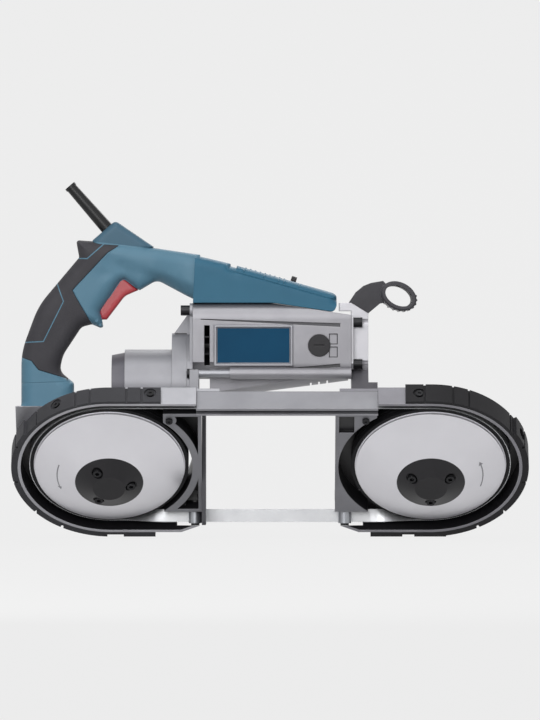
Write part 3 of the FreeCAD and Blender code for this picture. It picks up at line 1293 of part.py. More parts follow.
def frame_screws():
    """Screws of the bumpers, guide arms, work stop, gear case and front bracket, and the lever's bolt."""
    screws = []
    seat = BUMPER_RADIUS - SCREW_HEAD_HEIGHT
    socket = SCREW_HEAD_HEIGHT / 2
    for centre, out in bumper_screw_lines():
        length = seat - GUARD_RADIUS + GUARD_WALL
        screws.append(in_loop(socket_screw(SCREW_HEAD_RADIUS, SCREW_HEAD_HEIGHT, SCREW_SOCKET_RADIUS,
                                           socket,
                                           SCREW_RADIUS, length, centre + out * seat, -out)))
    for side in (-1, 1):
        start = arm_screw_place(side) + Z_AXIS * ARM_FRONT
        screws.append(in_loop(socket_screw(SCREW_HEAD_RADIUS, SCREW_HEAD_HEIGHT, SCREW_SOCKET_RADIUS,
                                           socket,
                                           SCREW_RADIUS, ARM_FRONT - PLATE_BACK, start, -Z_AXIS)))
    for point in stop_screw_points():
        screws.append(socket_screw(SCREW_HEAD_RADIUS, SCREW_HEAD_HEIGHT, SCREW_SOCKET_RADIUS, socket,
                                   SCREW_RADIUS,
                                   2 * ARM_RIB, point - X_AXIS * SCREW_HEAD_HEIGHT, -X_AXIS))
    for place in gearcase_lug_places():
        start = place + Z_AXIS * (PLATE_BACK - LUG_HEIGHT)
        screws.append(in_loop(socket_screw(HUB_SCREW_HEAD_RADIUS, BOLT_HEAD_HEIGHT, HUB_SCREW_SOCKET_RADIUS,
                                           BOLT_HEAD_HEIGHT / 2, HUB_SCREW_RADIUS,
                                           LUG_HEIGHT + PLATE_THICKNESS,
                                           start, Z_AXIS)))
    for place in bracket_screw_places():
        start = place + Z_AXIS * PLATE_FRONT
        screws.append(in_loop(socket_screw(HUB_SCREW_HEAD_RADIUS, SCREW_HEAD_HEIGHT,
                                           HUB_SCREW_SOCKET_RADIUS, socket,
                                           HUB_SCREW_RADIUS, 3 * PLATE_THICKNESS, start, -Z_AXIS)))
    start = V(LEVER_X, 0, LEVER_BACK - RUN_GAP)
    bolt = socket_screw(LEVER_BOLT_HEAD_RADIUS, LEVER_BOLT_HEAD, BOLT_SOCKET_RADIUS, LEVER_BOLT_HEAD / 2,
                        LEVER_BOLT_RADIUS, PLATE_FRONT - start.z, start, Z_AXIS)
    screws.append(in_loop(bolt))
    return grouped(screws)


# Blade tension

def tension_carriage():
    """Sliding block that holds the idler's axle, with a rod for the spring and a nose for the cam."""
    body = block(CARRIAGE_LEFT, CARRIAGE_RIGHT, -CARRIAGE_HALF_WIDTH, CARRIAGE_HALF_WIDTH, CARRIAGE_BACK,
                 CARRIAGE_FRONT)
    spring_b = PLATE_BACK - SPRING_SETBACK
    guide = rod(SPRING_ROD_RADIUS, SPRING_ROD_LENGTH, V(CARRIAGE_LEFT, 0, spring_b), -X_AXIS)
    nose_x = CARRIAGE_RIGHT + CARRIAGE_NOSE - CARRIAGE_NOSE_RADIUS
    tall = LEVER_FRONT - CARRIAGE_BACK
    nose = rod(CARRIAGE_NOSE_RADIUS, tall, V(nose_x, 0, CARRIAGE_BACK), Z_AXIS)
    neck = block(CARRIAGE_RIGHT - OVERRUN, nose_x, -CARRIAGE_NOSE_RADIUS, CARRIAGE_NOSE_RADIUS,
                 CARRIAGE_BACK, CARRIAGE_BACK + tall)
    bore = rod(IDLER_AXLE_RADIUS + SEAT_GAP, CARRIAGE_THICKNESS + 2 * OVERRUN,
               V(RIGHT_WHEEL, 0, CARRIAGE_BACK - OVERRUN), Z_AXIS)
    return in_loop(fused([body, guide, nose, neck]).cut(bore))


def tension_cover():
    """Sheet cover over the carriage, closed at the rails' free ends."""
    inside = CARRIAGE_HALF_WIDTH + RUN_GAP + RAIL_WALL
    left = ABUTMENT_X - ABUTMENT_THICKNESS
    right = CARRIAGE_RIGHT + RAIL_WALL
    return in_loop(block(left, right, -inside, inside, RAIL_BACK - TENSION_COVER_THICKNESS, RAIL_BACK))


def tension_spring():
    """Coil spring between the abutment and the carriage, as one tube along quarter turn arcs."""
    b = PLATE_BACK - SPRING_SETBACK
    wire_gap = SPRING_WIRE + SEAT_GAP
    start = ABUTMENT_X + wire_gap
    length = SPRING_LENGTH - 2 * wire_gap
    quarters = 4 * SPRING_TURNS
    lead = length / quarters

    def point(quarter):
        turn = quarter * math.pi / 2
        return V(start + quarter * lead, SPRING_RADIUS * math.cos(turn), b + SPRING_RADIUS * math.sin(turn))

    edges = [Part.Arc(point(i), point(i + 0.5), point(i + 1)).toShape() for i in range(quarters)]
    tangent = edges[0].tangentAt(edges[0].FirstParameter)
    section = Part.Wire(Part.makeCircle(SPRING_WIRE, point(0), tangent))
    print("tension spring gap between turns", round(4 * lead - 2 * SPRING_WIRE, 3))
    return in_loop(Part.Wire(edges).makePipeShell([section], True, False))


def tension_lever():
    """Lever with a snail cam that pushes the carriage back to slacken the blade."""
    least = LEVER_OFFSET - CARRIAGE_LENGTH / 2 - CARRIAGE_NOSE - LEVER_CAM_GAP
    points = []
    steps = 24
    for i in range(steps + 1):
        share = i / steps
        turn = math.radians(180 - LEVER_SWING * share)
        radius = least + TENSION_TRAVEL * share
        points.append(V(LEVER_X + radius * math.cos(turn), radius * math.sin(turn), LEVER_BACK))
    for i in range(1, steps):
        turn = math.radians(180 - LEVER_SWING - (FULL_TURN - LEVER_SWING) * i / steps)
        points.append(V(LEVER_X + least * math.cos(turn), least * math.sin(turn), LEVER_BACK))
    cam = flat_face(points).extrude(V(0, 0, LEVER_CAM_THICKNESS))
    half = LEVER_WIDTH / 2
    arm = block(0, LEVER_LENGTH, -half, half, LEVER_BACK, LEVER_BACK + LEVER_THICKNESS)
    end = rod(half, LEVER_THICKNESS, V(LEVER_LENGTH, 0, LEVER_BACK), Z_AXIS)
    tab = rod(half, LEVER_TAB_HEIGHT, V(LEVER_LENGTH, 0, LEVER_BACK), -Z_AXIS)
    arm = fused([arm, end, tab])
    arm.rotate(ORIGIN, Z_AXIS, LEVER_REST_ANGLE)
    arm.translate(V(LEVER_X, 0, 0))
    hole = rod(LEVER_BOLT_RADIUS + BEARING_GAP, LEVER_CAM_THICKNESS + 2 * OVERRUN,
               V(LEVER_X, 0, LEVER_BACK - OVERRUN), Z_AXIS)
    return in_loop(fused([cam, arm]).cut(hole))


# Gear case and gears

def case_outer_radius():
    """Outer radius of the case round the final gear."""
    return GEAR_MODULE * (FINAL_GEAR_TEETH / 2 + TOOTH_TIP_SHARE) + GEAR_SPACE + CASE_WALL


def case_rounds():
    """The case's two round bodies about the drive axle: over the final gear and its rear bearing."""
    back = CASE_BACK - CASE_WALL
    boss_back = CASE_BACK - CASE_BEARING_DEPTH - CASE_BEARING_FLOOR
    case = rod(case_outer_radius(), PLATE_BACK - back, V(LEFT_WHEEL, 0, back), Z_AXIS)
    boss = rod(CASE_BEARING_RADIUS + CASE_WALL, PLATE_BACK - boss_back, V(LEFT_WHEEL, 0, boss_back), Z_AXIS)
    return case, boss


def counter_point(x):
    """A point of the countershaft's axis."""
    return V(x, 0, COUNTER_Z)


def chamber_face(x, big, small):
    """Outline of the first gear's chamber, round the gear below and the motor pinion above."""
    distance = FIRST_DISTANCE
    lean = math.acos((big - small) / distance)
    side, rise = math.sin(lean), math.cos(lean)
    big_right = V(x, big * side, COUNTER_Z + big * rise)
    big_left = V(x, -big * side, COUNTER_Z + big * rise)
    small_right = V(x, small * side, MOTOR_Z + small * rise)
    small_left = V(x, -small * side, MOTOR_Z + small * rise)
    edges = [
        Part.Arc(big_left, V(x, 0, COUNTER_Z - big), big_right).toShape(),
        Part.LineSegment(big_right, small_right).toShape(),
        Part.Arc(small_right, V(x, 0, MOTOR_Z + small), small_left).toShape(),
        Part.LineSegment(small_left, big_left).toShape(),
    ]
    return Part.Face(Part.Wire(edges))


def first_gear_space():
    """Inner radii of the first gear's chamber, round the gear and round the pinion."""
    tip = TOOTH_TIP_SHARE * GEAR_MODULE + GEAR_SPACE / 2
    return GEAR_MODULE * FIRST_GEAR_TEETH / 2 + tip, GEAR_MODULE * MOTOR_PINION_TEETH / 2 + tip


def gearcase():
    """Cast gear case: final gear behind the drive wheel, bevel drum and first gear chamber."""
    outer = case_outer_radius()
    pinion_space = GEAR_MODULE * (FINAL_PINION_TEETH / 2 + TOOTH_TIP_SHARE) + GEAR_SPACE
    back = CASE_BACK - CASE_WALL
    deep = PLATE_BACK - back
    loop_side = [
        *case_rounds(),
        rod(pinion_space + CASE_WALL, deep, V(INTERMEDIATE_X, INTERMEDIATE_A, back), Z_AXIS),
    ]
    for place in gearcase_lug_places():
        loop_side.append(rod(LUG_RADIUS, LUG_HEIGHT, place + Z_AXIS * (PLATE_BACK - LUG_HEIGHT), Z_AXIS))
    big, small = first_gear_space()
    pieces = [in_loop(piece) for piece in loop_side]
    pieces.append(rod(DRUM_RADIUS, CHAMBER_RIGHT - DRUM_LEFT, counter_point(DRUM_LEFT), X_AXIS))
    chamber = chamber_face(CHAMBER_LEFT, big + CASE_WALL, small + CASE_WALL)
    pieces.append(chamber.extrude(V(CHAMBER_RIGHT - CHAMBER_LEFT, 0, 0)))
    body = fused(pieces)
    half_space = block(DRUM_LEFT - OVERRUN, CHAMBER_RIGHT, -2 * DRUM_RADIUS,
                       2 * DRUM_RADIUS + INTERMEDIATE_A,
                       CASE_PARTITION - 3 * DRUM_RADIUS, CASE_PARTITION)
    gear_left = CHAMBER_RIGHT - FIRST_GEAR_SIDE_GAP - FIRST_GEAR_WIDTH - FIRST_GEAR_SIDE_GAP
    wall_left = gear_left - COUNTER_BEARING_WIDTH - FIRST_GEAR_SIDE_GAP
    drum = rod(DRUM_RADIUS - CASE_WALL, wall_left - DRUM_LEFT + OVERRUN,
               counter_point(DRUM_LEFT - OVERRUN), X_AXIS)
    cuts = [
        in_loop(rod(outer - CASE_WALL, PLATE_BACK - CASE_BACK + OVERRUN, V(LEFT_WHEEL, 0, CASE_BACK),
                    Z_AXIS)),
        in_loop(rod(pinion_space, PLATE_BACK - CASE_BACK + OVERRUN,
                    V(INTERMEDIATE_X, INTERMEDIATE_A, CASE_BACK), Z_AXIS)),
        in_loop(rod(CASE_BEARING_RADIUS, CASE_BEARING_DEPTH + OVERRUN,
                    V(LEFT_WHEEL, 0, CASE_BACK - CASE_BEARING_DEPTH), Z_AXIS)),
        drum.common(in_loop(half_space)),
        in_loop(rod(INTERMEDIATE_BEARING_RADIUS, CASE_BACK - CASE_PARTITION + 2 * OVERRUN,
                    V(INTERMEDIATE_X, INTERMEDIATE_A, CASE_PARTITION - OVERRUN), Z_AXIS)),
        rod(COUNTER_BEARING_RADIUS, gear_left - wall_left + 2 * OVERRUN,
            counter_point(wall_left - OVERRUN), X_AXIS),
        chamber_face(gear_left, big, small).extrude(V(CHAMBER_RIGHT - gear_left + OVERRUN, 0, 0)),
    ]
    for place in gearcase_lug_places():
        hole = rod(HUB_SCREW_RADIUS + SEAT_GAP, LUG_HEIGHT + 2 * OVERRUN,
                   place + Z_AXIS * (PLATE_BACK - LUG_HEIGHT - OVERRUN), Z_AXIS)
        cuts.append(in_loop(hole))
    for cut in cuts:
        body = body.cut(cut)
    return body


def gearcase_cap():
    """Tapered cap on the open end of the bevel drum."""
    left = DRUM_LEFT - CAP_LENGTH
    outer = Part.makeCone(CAP_END_RADIUS, CAP_RADIUS, CAP_LENGTH, counter_point(left), X_AXIS)
    bore = rod(CAP_BORE, CAP_LENGTH - CAP_FLOOR + OVERRUN, counter_point(left + CAP_FLOOR), X_AXIS)
    case, boss = case_rounds()
    gap = Z_AXIS * SEAT_GAP
    return outer.cut(bore).cut(in_loop(case.translated(-gap))).cut(in_loop(boss.translated(-gap)))


def left_bolt_places():
    """Y and Z of the two upper bolts between the gear plate and the motor."""
    return [(side * BOLT_SIDE, MOTOR_Z + LEFT_BOLT_RISE) for side in (-1, 1)]


def tie_rod_places():
    """Y and Z of the two tie rods below them."""
    return [(side * TIE_SIDE, MOTOR_Z - TIE_DROP) for side in (-1, 1)]


def gear_plate():
    """Plate between gear case and motor, with bearing seats, an ear for each bolt and a gusset."""
    big, small = first_gear_space()
    face = chamber_face(CHAMBER_RIGHT, big + CASE_WALL, small + CASE_WALL)
    pieces = [face.extrude(V(GEAR_PLATE_THICKNESS, 0, 0))]
    ear_left = GEAR_PLATE_RIGHT - EAR_THICKNESS
    for y, z in left_bolt_places():
        pieces.append(rod(EAR_RADIUS, EAR_THICKNESS, V(ear_left, y, z), X_AXIS))
    spread = BOLT_SIDE + EAR_RADIUS / 2
    pieces.append(block(ear_left, GEAR_PLATE_RIGHT, -spread, spread, COUNTER_Z, MOTOR_Z + LEFT_BOLT_RISE))
    low = MOTOR_Z + small + CASE_WALL
    gusset = flat_face([V(ear_left, -GUSSET_HALF, MOTOR_Z + GUSSET_RISE),
                        V(CHAMBER_LEFT + GUSSET_INSET, -GUSSET_HALF, low + SEAT_GAP),
                        V(CHAMBER_RIGHT, -GUSSET_HALF, low + SEAT_GAP),
                        V(CHAMBER_RIGHT, -GUSSET_HALF, low - CASE_WALL),
                        V(ear_left, -GUSSET_HALF, low - CASE_WALL)])
    pieces.append(gusset.extrude(V(0, 2 * GUSSET_HALF, 0)))
    for y, z in tie_rod_places():
        high = z + TIE_LUG_RISE
        pieces.append(block(ear_left, GEAR_PLATE_RIGHT + TIE_LUG_THICKNESS, y - TIE_LUG_WIDTH / 2,
                            y + TIE_LUG_WIDTH / 2,
                            high - TIE_LUG_LENGTH, high))
    body = fused(pieces)
    cuts = [
        rod(COUNTER_BEARING_RADIUS, COUNTER_END_BEARING_WIDTH + OVERRUN,
            counter_point(CHAMBER_RIGHT - OVERRUN), X_AXIS),
        rod(MOTOR_BEARING_RADIUS, MOTOR_BEARING_WIDTH + OVERRUN,
            V(GEAR_PLATE_RIGHT - MOTOR_BEARING_WIDTH, 0, MOTOR_Z), X_AXIS),
        rod(SHAFT_RADIUS + RUN_GAP, GEAR_PLATE_THICKNESS + 2 * OVERRUN,
            V(CHAMBER_RIGHT - OVERRUN, 0, MOTOR_Z), X_AXIS),
    ]
    for y, z in left_bolt_places():
        cuts.append(rod(BOLT_RADIUS + SEAT_GAP, GEAR_PLATE_THICKNESS + 2 * OVERRUN,
                        V(CHAMBER_RIGHT - OVERRUN, y, z), X_AXIS))
    for y, z in tie_rod_places():
        length = GEAR_PLATE_THICKNESS + TIE_LUG_THICKNESS + 2 * OVERRUN
        cuts.append(rod(BOLT_RADIUS + SEAT_GAP, length, V(CHAMBER_RIGHT - OVERRUN, y, z), X_AXIS))
        cuts.append(rod(TIE_HEAD_RADIUS + RUN_GAP, GEAR_PLATE_THICKNESS + OVERRUN,
                        V(CHAMBER_RIGHT - OVERRUN, y, z), X_AXIS))
    for cut in cuts:
        body = body.cut(cut)
    return body


def final_gear():
    """Final gear on the drive axle."""
    gear = spur_in_loop(FINAL_GEAR_TEETH, FINAL_MESH_ANGLE, LEFT_WHEEL, 0,
                        FINAL_GEAR_FRONT - FINAL_GEAR_WIDTH, FINAL_GEAR_WIDTH)
    bore = rod(DRIVE_AXLE_RADIUS + SEAT_GAP, FINAL_GEAR_WIDTH + 2 * OVERRUN,
               V(LEFT_WHEEL, 0, FINAL_GEAR_FRONT - FINAL_GEAR_WIDTH - OVERRUN), Z_AXIS)
    return in_loop(gear.cut(bore))


def intermediate_shaft():
    """Shaft with the final pinion."""
    front = PLATE_BACK + BUSH_LENGTH - OVERRUN
    back = BEVEL_GEAR_NEAR - COUNTER_SETBACK
    shaft = rod(INTERMEDIATE_RADIUS, front - back, V(INTERMEDIATE_X, INTERMEDIATE_A, back), Z_AXIS)
    phase = FINAL_MESH_ANGLE + math.pi + math.pi / FINAL_PINION_TEETH
    width = FINAL_GEAR_WIDTH + 2 * FINAL_PINION_MARGIN
    pinion = spur_in_loop(FINAL_PINION_TEETH, phase, INTERMEDIATE_X, INTERMEDIATE_A,
                          FINAL_GEAR_FRONT - FINAL_GEAR_WIDTH - FINAL_PINION_MARGIN, width)
    return in_loop(shaft.fuse(pinion).removeSplitter())


def bevel_gear():
    """Bevel gear on the intermediate shaft."""
    far = BEVEL_GEAR_NEAR + BEVEL_GEAR_DEPTH
    teeth = bevel_teeth(BEVEL_GEAR_TEETH, BEVEL_PINION_TEETH, 0, BEVEL_GEAR_NEAR, far)
    trim = rod(BEVEL_GEAR_RADIUS + BEVEL_RIM_MARGIN, far + OVERRUN, ORIGIN, Z_AXIS)
    hub_end = rod(BEVEL_HUB_RADIUS, BEVEL_HUB_LENGTH, V(0, 0, far), Z_AXIS)
    bore = rod(INTERMEDIATE_RADIUS + SEAT_GAP, far + BEVEL_HUB_LENGTH + 2 * OVERRUN, V(0, 0, 0), Z_AXIS)
    gear = teeth.common(trim).fuse(hub_end).cut(bore)
    gear.translate(V(INTERMEDIATE_X, INTERMEDIATE_A, -COUNTER_SETBACK))
    return in_loop(gear)


def countershaft():
    """Countershaft with the bevel pinion on its left end."""
    far = BEVEL_GEAR_RADIUS
    near = far * (1 - BEVEL_FACE / math.hypot(BEVEL_GEAR_RADIUS, BEVEL_PINION_RADIUS))
    pinion = bevel_teeth(BEVEL_PINION_TEETH, BEVEL_GEAR_TEETH, math.pi / BEVEL_PINION_TEETH, near, far)
    right = CHAMBER_RIGHT + COUNTER_END_BEARING_WIDTH - RUN_GAP
    shaft = rod(COUNTER_RADIUS, right - INTERMEDIATE_X - far, V(0, 0, far), Z_AXIS)
    body = pinion.fuse(shaft)
    body.rotate(ORIGIN, Y_AXIS, 90)
    body.translate(V(INTERMEDIATE_X, INTERMEDIATE_A, -COUNTER_SETBACK))
    return in_loop(body)


def first_gear():
    """Large gear on the countershaft, driven by the motor pinion."""
    left = CHAMBER_RIGHT - FIRST_GEAR_SIDE_GAP - FIRST_GEAR_WIDTH
    gear = spur_along_x(FIRST_GEAR_TEETH, math.pi / 2, left, COUNTER_Z, FIRST_GEAR_WIDTH)
    bore = rod(COUNTER_RADIUS + SEAT_GAP, FIRST_GEAR_WIDTH + 2 * OVERRUN, counter_point(left - OVERRUN),
               X_AXIS)
    return gear.cut(bore)


def gear_bearings():
    """Bearings that stay in the housing, gear case, gear plate and motor."""
    bearing_back = PLATE_FRONT + 2 * PLATE_THICKNESS
    gear_left = CHAMBER_RIGHT - 2 * FIRST_GEAR_SIDE_GAP - FIRST_GEAR_WIDTH
    loop_rings = [
        bearing(DRIVE_BEARING_RADIUS, DRIVE_AXLE_RADIUS, DRIVE_BEARING_WIDTH,
                V(LEFT_WHEEL, 0, bearing_back), Z_AXIS),
        bearing(CASE_BEARING_RADIUS, DRIVE_JOURNAL_RADIUS, CASE_BEARING_WIDTH,
                V(LEFT_WHEEL, 0, CASE_BACK - CASE_BEARING_WIDTH), Z_AXIS),
        bearing(BUSH_RADIUS, INTERMEDIATE_RADIUS, BUSH_LENGTH - OVERRUN,
                V(INTERMEDIATE_X, INTERMEDIATE_A, PLATE_BACK), Z_AXIS),
        bearing(INTERMEDIATE_BEARING_RADIUS, INTERMEDIATE_RADIUS, INTERMEDIATE_BEARING_WIDTH,
                V(INTERMEDIATE_X, INTERMEDIATE_A,
                  CASE_BACK - FINAL_PINION_MARGIN - INTERMEDIATE_BEARING_WIDTH), Z_AXIS),
    ]
    rings = [in_loop(piece) for piece in loop_rings]
    rings += [
        bearing(COUNTER_BEARING_RADIUS, COUNTER_RADIUS, COUNTER_BEARING_WIDTH,
                counter_point(gear_left - COUNTER_BEARING_WIDTH), X_AXIS),
        bearing(COUNTER_BEARING_RADIUS, COUNTER_RADIUS, COUNTER_END_BEARING_WIDTH,
                counter_point(CHAMBER_RIGHT), X_AXIS),
        bearing(MOTOR_BEARING_RADIUS, SHAFT_RADIUS, MOTOR_BEARING_WIDTH,
                V(GEAR_PLATE_RIGHT - MOTOR_BEARING_WIDTH, 0, MOTOR_Z), X_AXIS),
        bearing(MOTOR_END_BEARING_RADIUS, SHAFT_RADIUS, MOTOR_END_BEARING_WIDTH,
                V(MOTOR_RIGHT - MOTOR_END_WALL, 0, MOTOR_Z), X_AXIS),
    ]
    return grouped(rings)


# Motor

def motor_point(x):
    """A point of the motor's axis."""
    return V(x, 0, MOTOR_Z)


def motor_section(x, half_width, drop, rise, corner):
    """Rounded section of the motor housing, square to the motor's axis."""
    face = rounded_face([
        (-half_width, -drop, corner), (half_width, -drop, corner),
        (half_width, rise, corner), (-half_width, rise, corner),
    ])
    face.rotate(ORIGIN, Z_AXIS, 90)
    face.translate(V(x, 0, MOTOR_Z))
    return face


def motor_top_at(x):
    """Height of the motor housing's sloping top at a place along X."""
    return MOTOR_TOP - MOTOR_SLOPE_DROP * (x - MOTOR_SLOPE_START) / (MOTOR_RIGHT - MOTOR_SLOPE_START)


def right_bolt_places():
    """Y and Z of the four bolts between the front bracket and the motor."""
    places = []
    for side in (-1, 1):
        places.append((side * RIGHT_BOLT_SIDE, MOTOR_Z + RIGHT_BOLT_RISE))
        places.append((side * RIGHT_BOLT_SIDE, MOTOR_Z - RIGHT_BOLT_DROP))
    return places


def side_groove(shares, direction, side):
    """Groove along one flank of the motor housing, wider and nearer the middle at its right end."""
    left = MOTOR_LEFT + shares[0] * MOTOR_LENGTH
    right = MOTOR_LEFT + SIDE_GROOVE_RIGHT_SHARE * MOTOR_LENGTH
    reach = MOTOR_RISE if direction > 0 else MOTOR_DROP
    start = MOTOR_Z + direction * shares[1] * reach
    end = MOTOR_Z + direction * shares[2] * reach
    y = side * (MOTOR_HALF_WIDTH - SIDE_GROOVE_DEPTH)
    points = [V(left, y, start), V(right, y, end), V(right, y, end + direction * SIDE_GROOVE),
              V(left, y, start + direction * SIDE_GROOVE_TIP)]
    return flat_face(points).extrude(V(0, side * (SIDE_GROOVE_DEPTH + OVERRUN), 0))


def nameplate_rectangle(margin, start, depth, side):
    """Block with the outline of the plate's place on a flank of the motor housing."""
    half = NAMEPLATE_HEIGHT / 2
    ends = sorted((side * start, side * (start + depth)))
    return block(PLATE_LEFT - margin, PLATE_LEFT + PLATE_LENGTH + margin, ends[0], ends[1],
                 MOTOR_Z - half - margin, MOTOR_Z + half + margin)


def motor_belly():
    """Rounded underside of the motor housing, shallower towards the right."""
    belly = Part.makeCone(BELLY_LEFT_RADIUS, BELLY_RIGHT_RADIUS, BELLY_LENGTH, motor_point(BELLY_LEFT), X_AXIS)
    belly = belly.cut(rod(MOTOR_BORE, BELLY_LENGTH + 2 * OVERRUN, motor_point(BELLY_LEFT - OVERRUN), X_AXIS))
    keep = block(BELLY_LEFT, BELLY_LEFT + BELLY_LENGTH, -BELLY_HALF_WIDTH, BELLY_HALF_WIDTH,
                 MOTOR_Z - BELLY_LEFT_RADIUS, MOTOR_Z - MOTOR_DROP / 2)
    return belly.common(keep)


def belly_vents():
    """Slots through the underside of the motor housing, below the brushes."""
    slots = []
    for i in range(BELLY_VENT_COUNT):
        left = MOTOR_RIGHT - BELLY_VENT_SETBACK + i * BELLY_VENT_PITCH
        slots.append(block(left, left + BELLY_VENT_WIDTH, -BELLY_VENT_HALF, BELLY_VENT_HALF,
                           MOTOR_Z - BELLY_LEFT_RADIUS, MOTOR_Z - MOTOR_BORE / 2))
    return grouped(slots)


def motor_housing():
    """Silver motor housing with its end wall, vents, plate frame, brush openings and tie rod bosses."""
    body = motor_section(MOTOR_LEFT, MOTOR_HALF_WIDTH, MOTOR_DROP, MOTOR_RISE, MOTOR_CORNER)
    body = body.extrude(V(MOTOR_LENGTH, 0, 0))
    pieces = [body]
    for side in (-1, 1):
        pieces.append(nameplate_rectangle(PLATE_FRAME, MOTOR_HALF_WIDTH - PLATE_RECESS,
                                          PLATE_RECESS + PLATE_FRAME_PROUD, side))
    for y, z in tie_rod_places():
        pieces.append(rod(TIE_BOSS_RADIUS, MOTOR_RIGHT - TIE_BOSS_LEFT, V(TIE_BOSS_LEFT, y, z), X_AXIS))
        web = sorted((0.7 * y, y))
        pieces.append(block(TIE_BOSS_LEFT, MOTOR_RIGHT, web[0], web[1], z - TIE_WEB / 2, z + TIE_WEB / 2))
    body = fused(pieces)
    half = MOTOR_HALF_WIDTH + OVERRUN
    slope = flat_face([V(MOTOR_SLOPE_START, -half, MOTOR_TOP),
                       V(MOTOR_RIGHT + OVERRUN, -half, MOTOR_TOP + OVERRUN),
                       V(MOTOR_RIGHT + OVERRUN, -half, motor_top_at(MOTOR_RIGHT + OVERRUN))])
    barrel = ring(2 * MOTOR_DROP, MOTOR_DROP, TIE_BOSS_LEFT - MOTOR_LEFT + OVERRUN,
                  motor_point(MOTOR_LEFT - OVERRUN), X_AXIS)
    low_left = block(MOTOR_LEFT - OVERRUN, TIE_BOSS_LEFT, -2 * MOTOR_DROP, 2 * MOTOR_DROP,
                     MOTOR_Z - 2 * MOTOR_DROP, MOTOR_Z - MOTOR_DROP / 2)
    cuts = [
        slope.extrude(V(0, 2 * half, 0)),
        barrel.common(low_left),
        rod(MOTOR_BORE, MOTOR_LENGTH - MOTOR_END_WALL + OVERRUN, motor_point(MOTOR_LEFT - OVERRUN), X_AXIS),
        rod(MOTOR_END_BEARING_RADIUS, MOTOR_END_BEARING_WIDTH + OVERRUN,
            motor_point(MOTOR_RIGHT - MOTOR_END_WALL - OVERRUN), X_AXIS),
        block(VENT_LEFT, VENT_LEFT + VENT_WIDTH, -half, half, MOTOR_Z - VENT_HEIGHT / 2,
              MOTOR_Z + VENT_HEIGHT / 2),
        rod(BRUSH_CAP_RADIUS + SEAT_GAP, 2 * half, V(BRUSH_X, -half, MOTOR_Z), Y_AXIS),
    ]
    for side in (-1, 1):
        cuts.append(nameplate_rectangle(0, MOTOR_HALF_WIDTH - PLATE_RECESS, OVERRUN, side))
        cuts.append(side_groove(SIDE_GROOVE_UP_SHARES, 1, side))
        cuts.append(side_groove(SIDE_GROOVE_DOWN_SHARES, -1, side))
        for direction in (-1, 1):
            low = MOTOR_Z + direction * (WINDOW_SPACE + WINDOW_HEIGHT) / 2 - WINDOW_HEIGHT / 2
            ends = sorted((side * (MOTOR_HALF_WIDTH - WINDOW_DEPTH), side * half))
            cuts.append(block(WINDOW_LEFT, WINDOW_LEFT + WINDOW_WIDTH, ends[0], ends[1], low,
                              low + WINDOW_HEIGHT))
    for y, z in left_bolt_places():
        cuts.append(rod(BOLT_RADIUS + SEAT_GAP, BOLT_THREAD_LENGTH + OVERRUN,
                        V(MOTOR_LEFT - OVERRUN, y, z), X_AXIS))
    for y, z in tie_rod_places():
        cuts.append(rod(BOLT_RADIUS + SEAT_GAP, BOLT_THREAD_LENGTH + OVERRUN,
                        V(TIE_BOSS_LEFT - OVERRUN, y, z), X_AXIS))
    for y, z in right_bolt_places():
        cuts.append(rod(BOLT_RADIUS + SEAT_GAP, MOTOR_END_WALL,
                        V(MOTOR_RIGHT - MOTOR_END_WALL + OVERRUN, y, z), X_AXIS))
    for cut in cuts:
        body = body.cut(cut)
    return fused([body, motor_belly()]).cut(belly_vents())


def nameplate():
    """Bare plates in the frames on both flanks of the motor housing."""
    plates = []
    for side in (-1, 1):
        plates.append(nameplate_rectangle(-SEAT_GAP, MOTOR_HALF_WIDTH - PLATE_RECESS,
                                          NAMEPLATE_THICKNESS, side))
    return grouped(plates)


def sector(inner, outer, half_angle, left, right, side):
    """Ring sector about the motor's axis, centred on the -Y or +Y side."""
    body = ring(outer, inner, right - left, motor_point(left), X_AXIS)
    reach = 2 * outer
    turn = math.radians(half_angle)
    points = [motor_point(left - OVERRUN)]
    for lean in (-turn, -turn / 2, 0, turn / 2, turn):
        points.append(V(left - OVERRUN, side * reach * math.cos(lean), MOTOR_Z + reach * math.sin(lean)))
    return body.common(flat_face(points).extrude(V(right - left + 2 * OVERRUN, 0, 0)))


def stator():
    """Stator stack with two poles."""
    right = STATOR_LEFT + STATOR_LENGTH
    outer = MOTOR_BORE - SEAT_GAP
    inner = ARMATURE_RADIUS + AIR_GAP
    pieces = [ring(outer, outer - STATOR_YOKE, STATOR_LENGTH, motor_point(STATOR_LEFT), X_AXIS)]
    for side in (-1, 1):
        pieces.append(sector(inner, outer - STATOR_YOKE / 2, STATOR_POLE_ANGLE, STATOR_LEFT, right, side))
    return fused(pieces)


def field_coils():
    """Two coils, each wound round a pole."""
    right = STATOR_LEFT + STATOR_LENGTH
    outer = MOTOR_BORE - STATOR_YOKE - 2 * SEAT_GAP
    inner = outer - COIL_DEPTH
    coils = []
    for side in (-1, 1):
        whole = sector(inner, outer, COIL_ANGLE, STATOR_LEFT - COIL_OVERHANG, right + COIL_OVERHANG, side)
        hole = sector(inner / 2, 2 * outer, STATOR_POLE_ANGLE + COIL_CLEARANCE_ANGLE,
                      STATOR_LEFT - SEAT_GAP, right + SEAT_GAP, side)
        coils.append(whole.cut(hole))
    return grouped(coils)


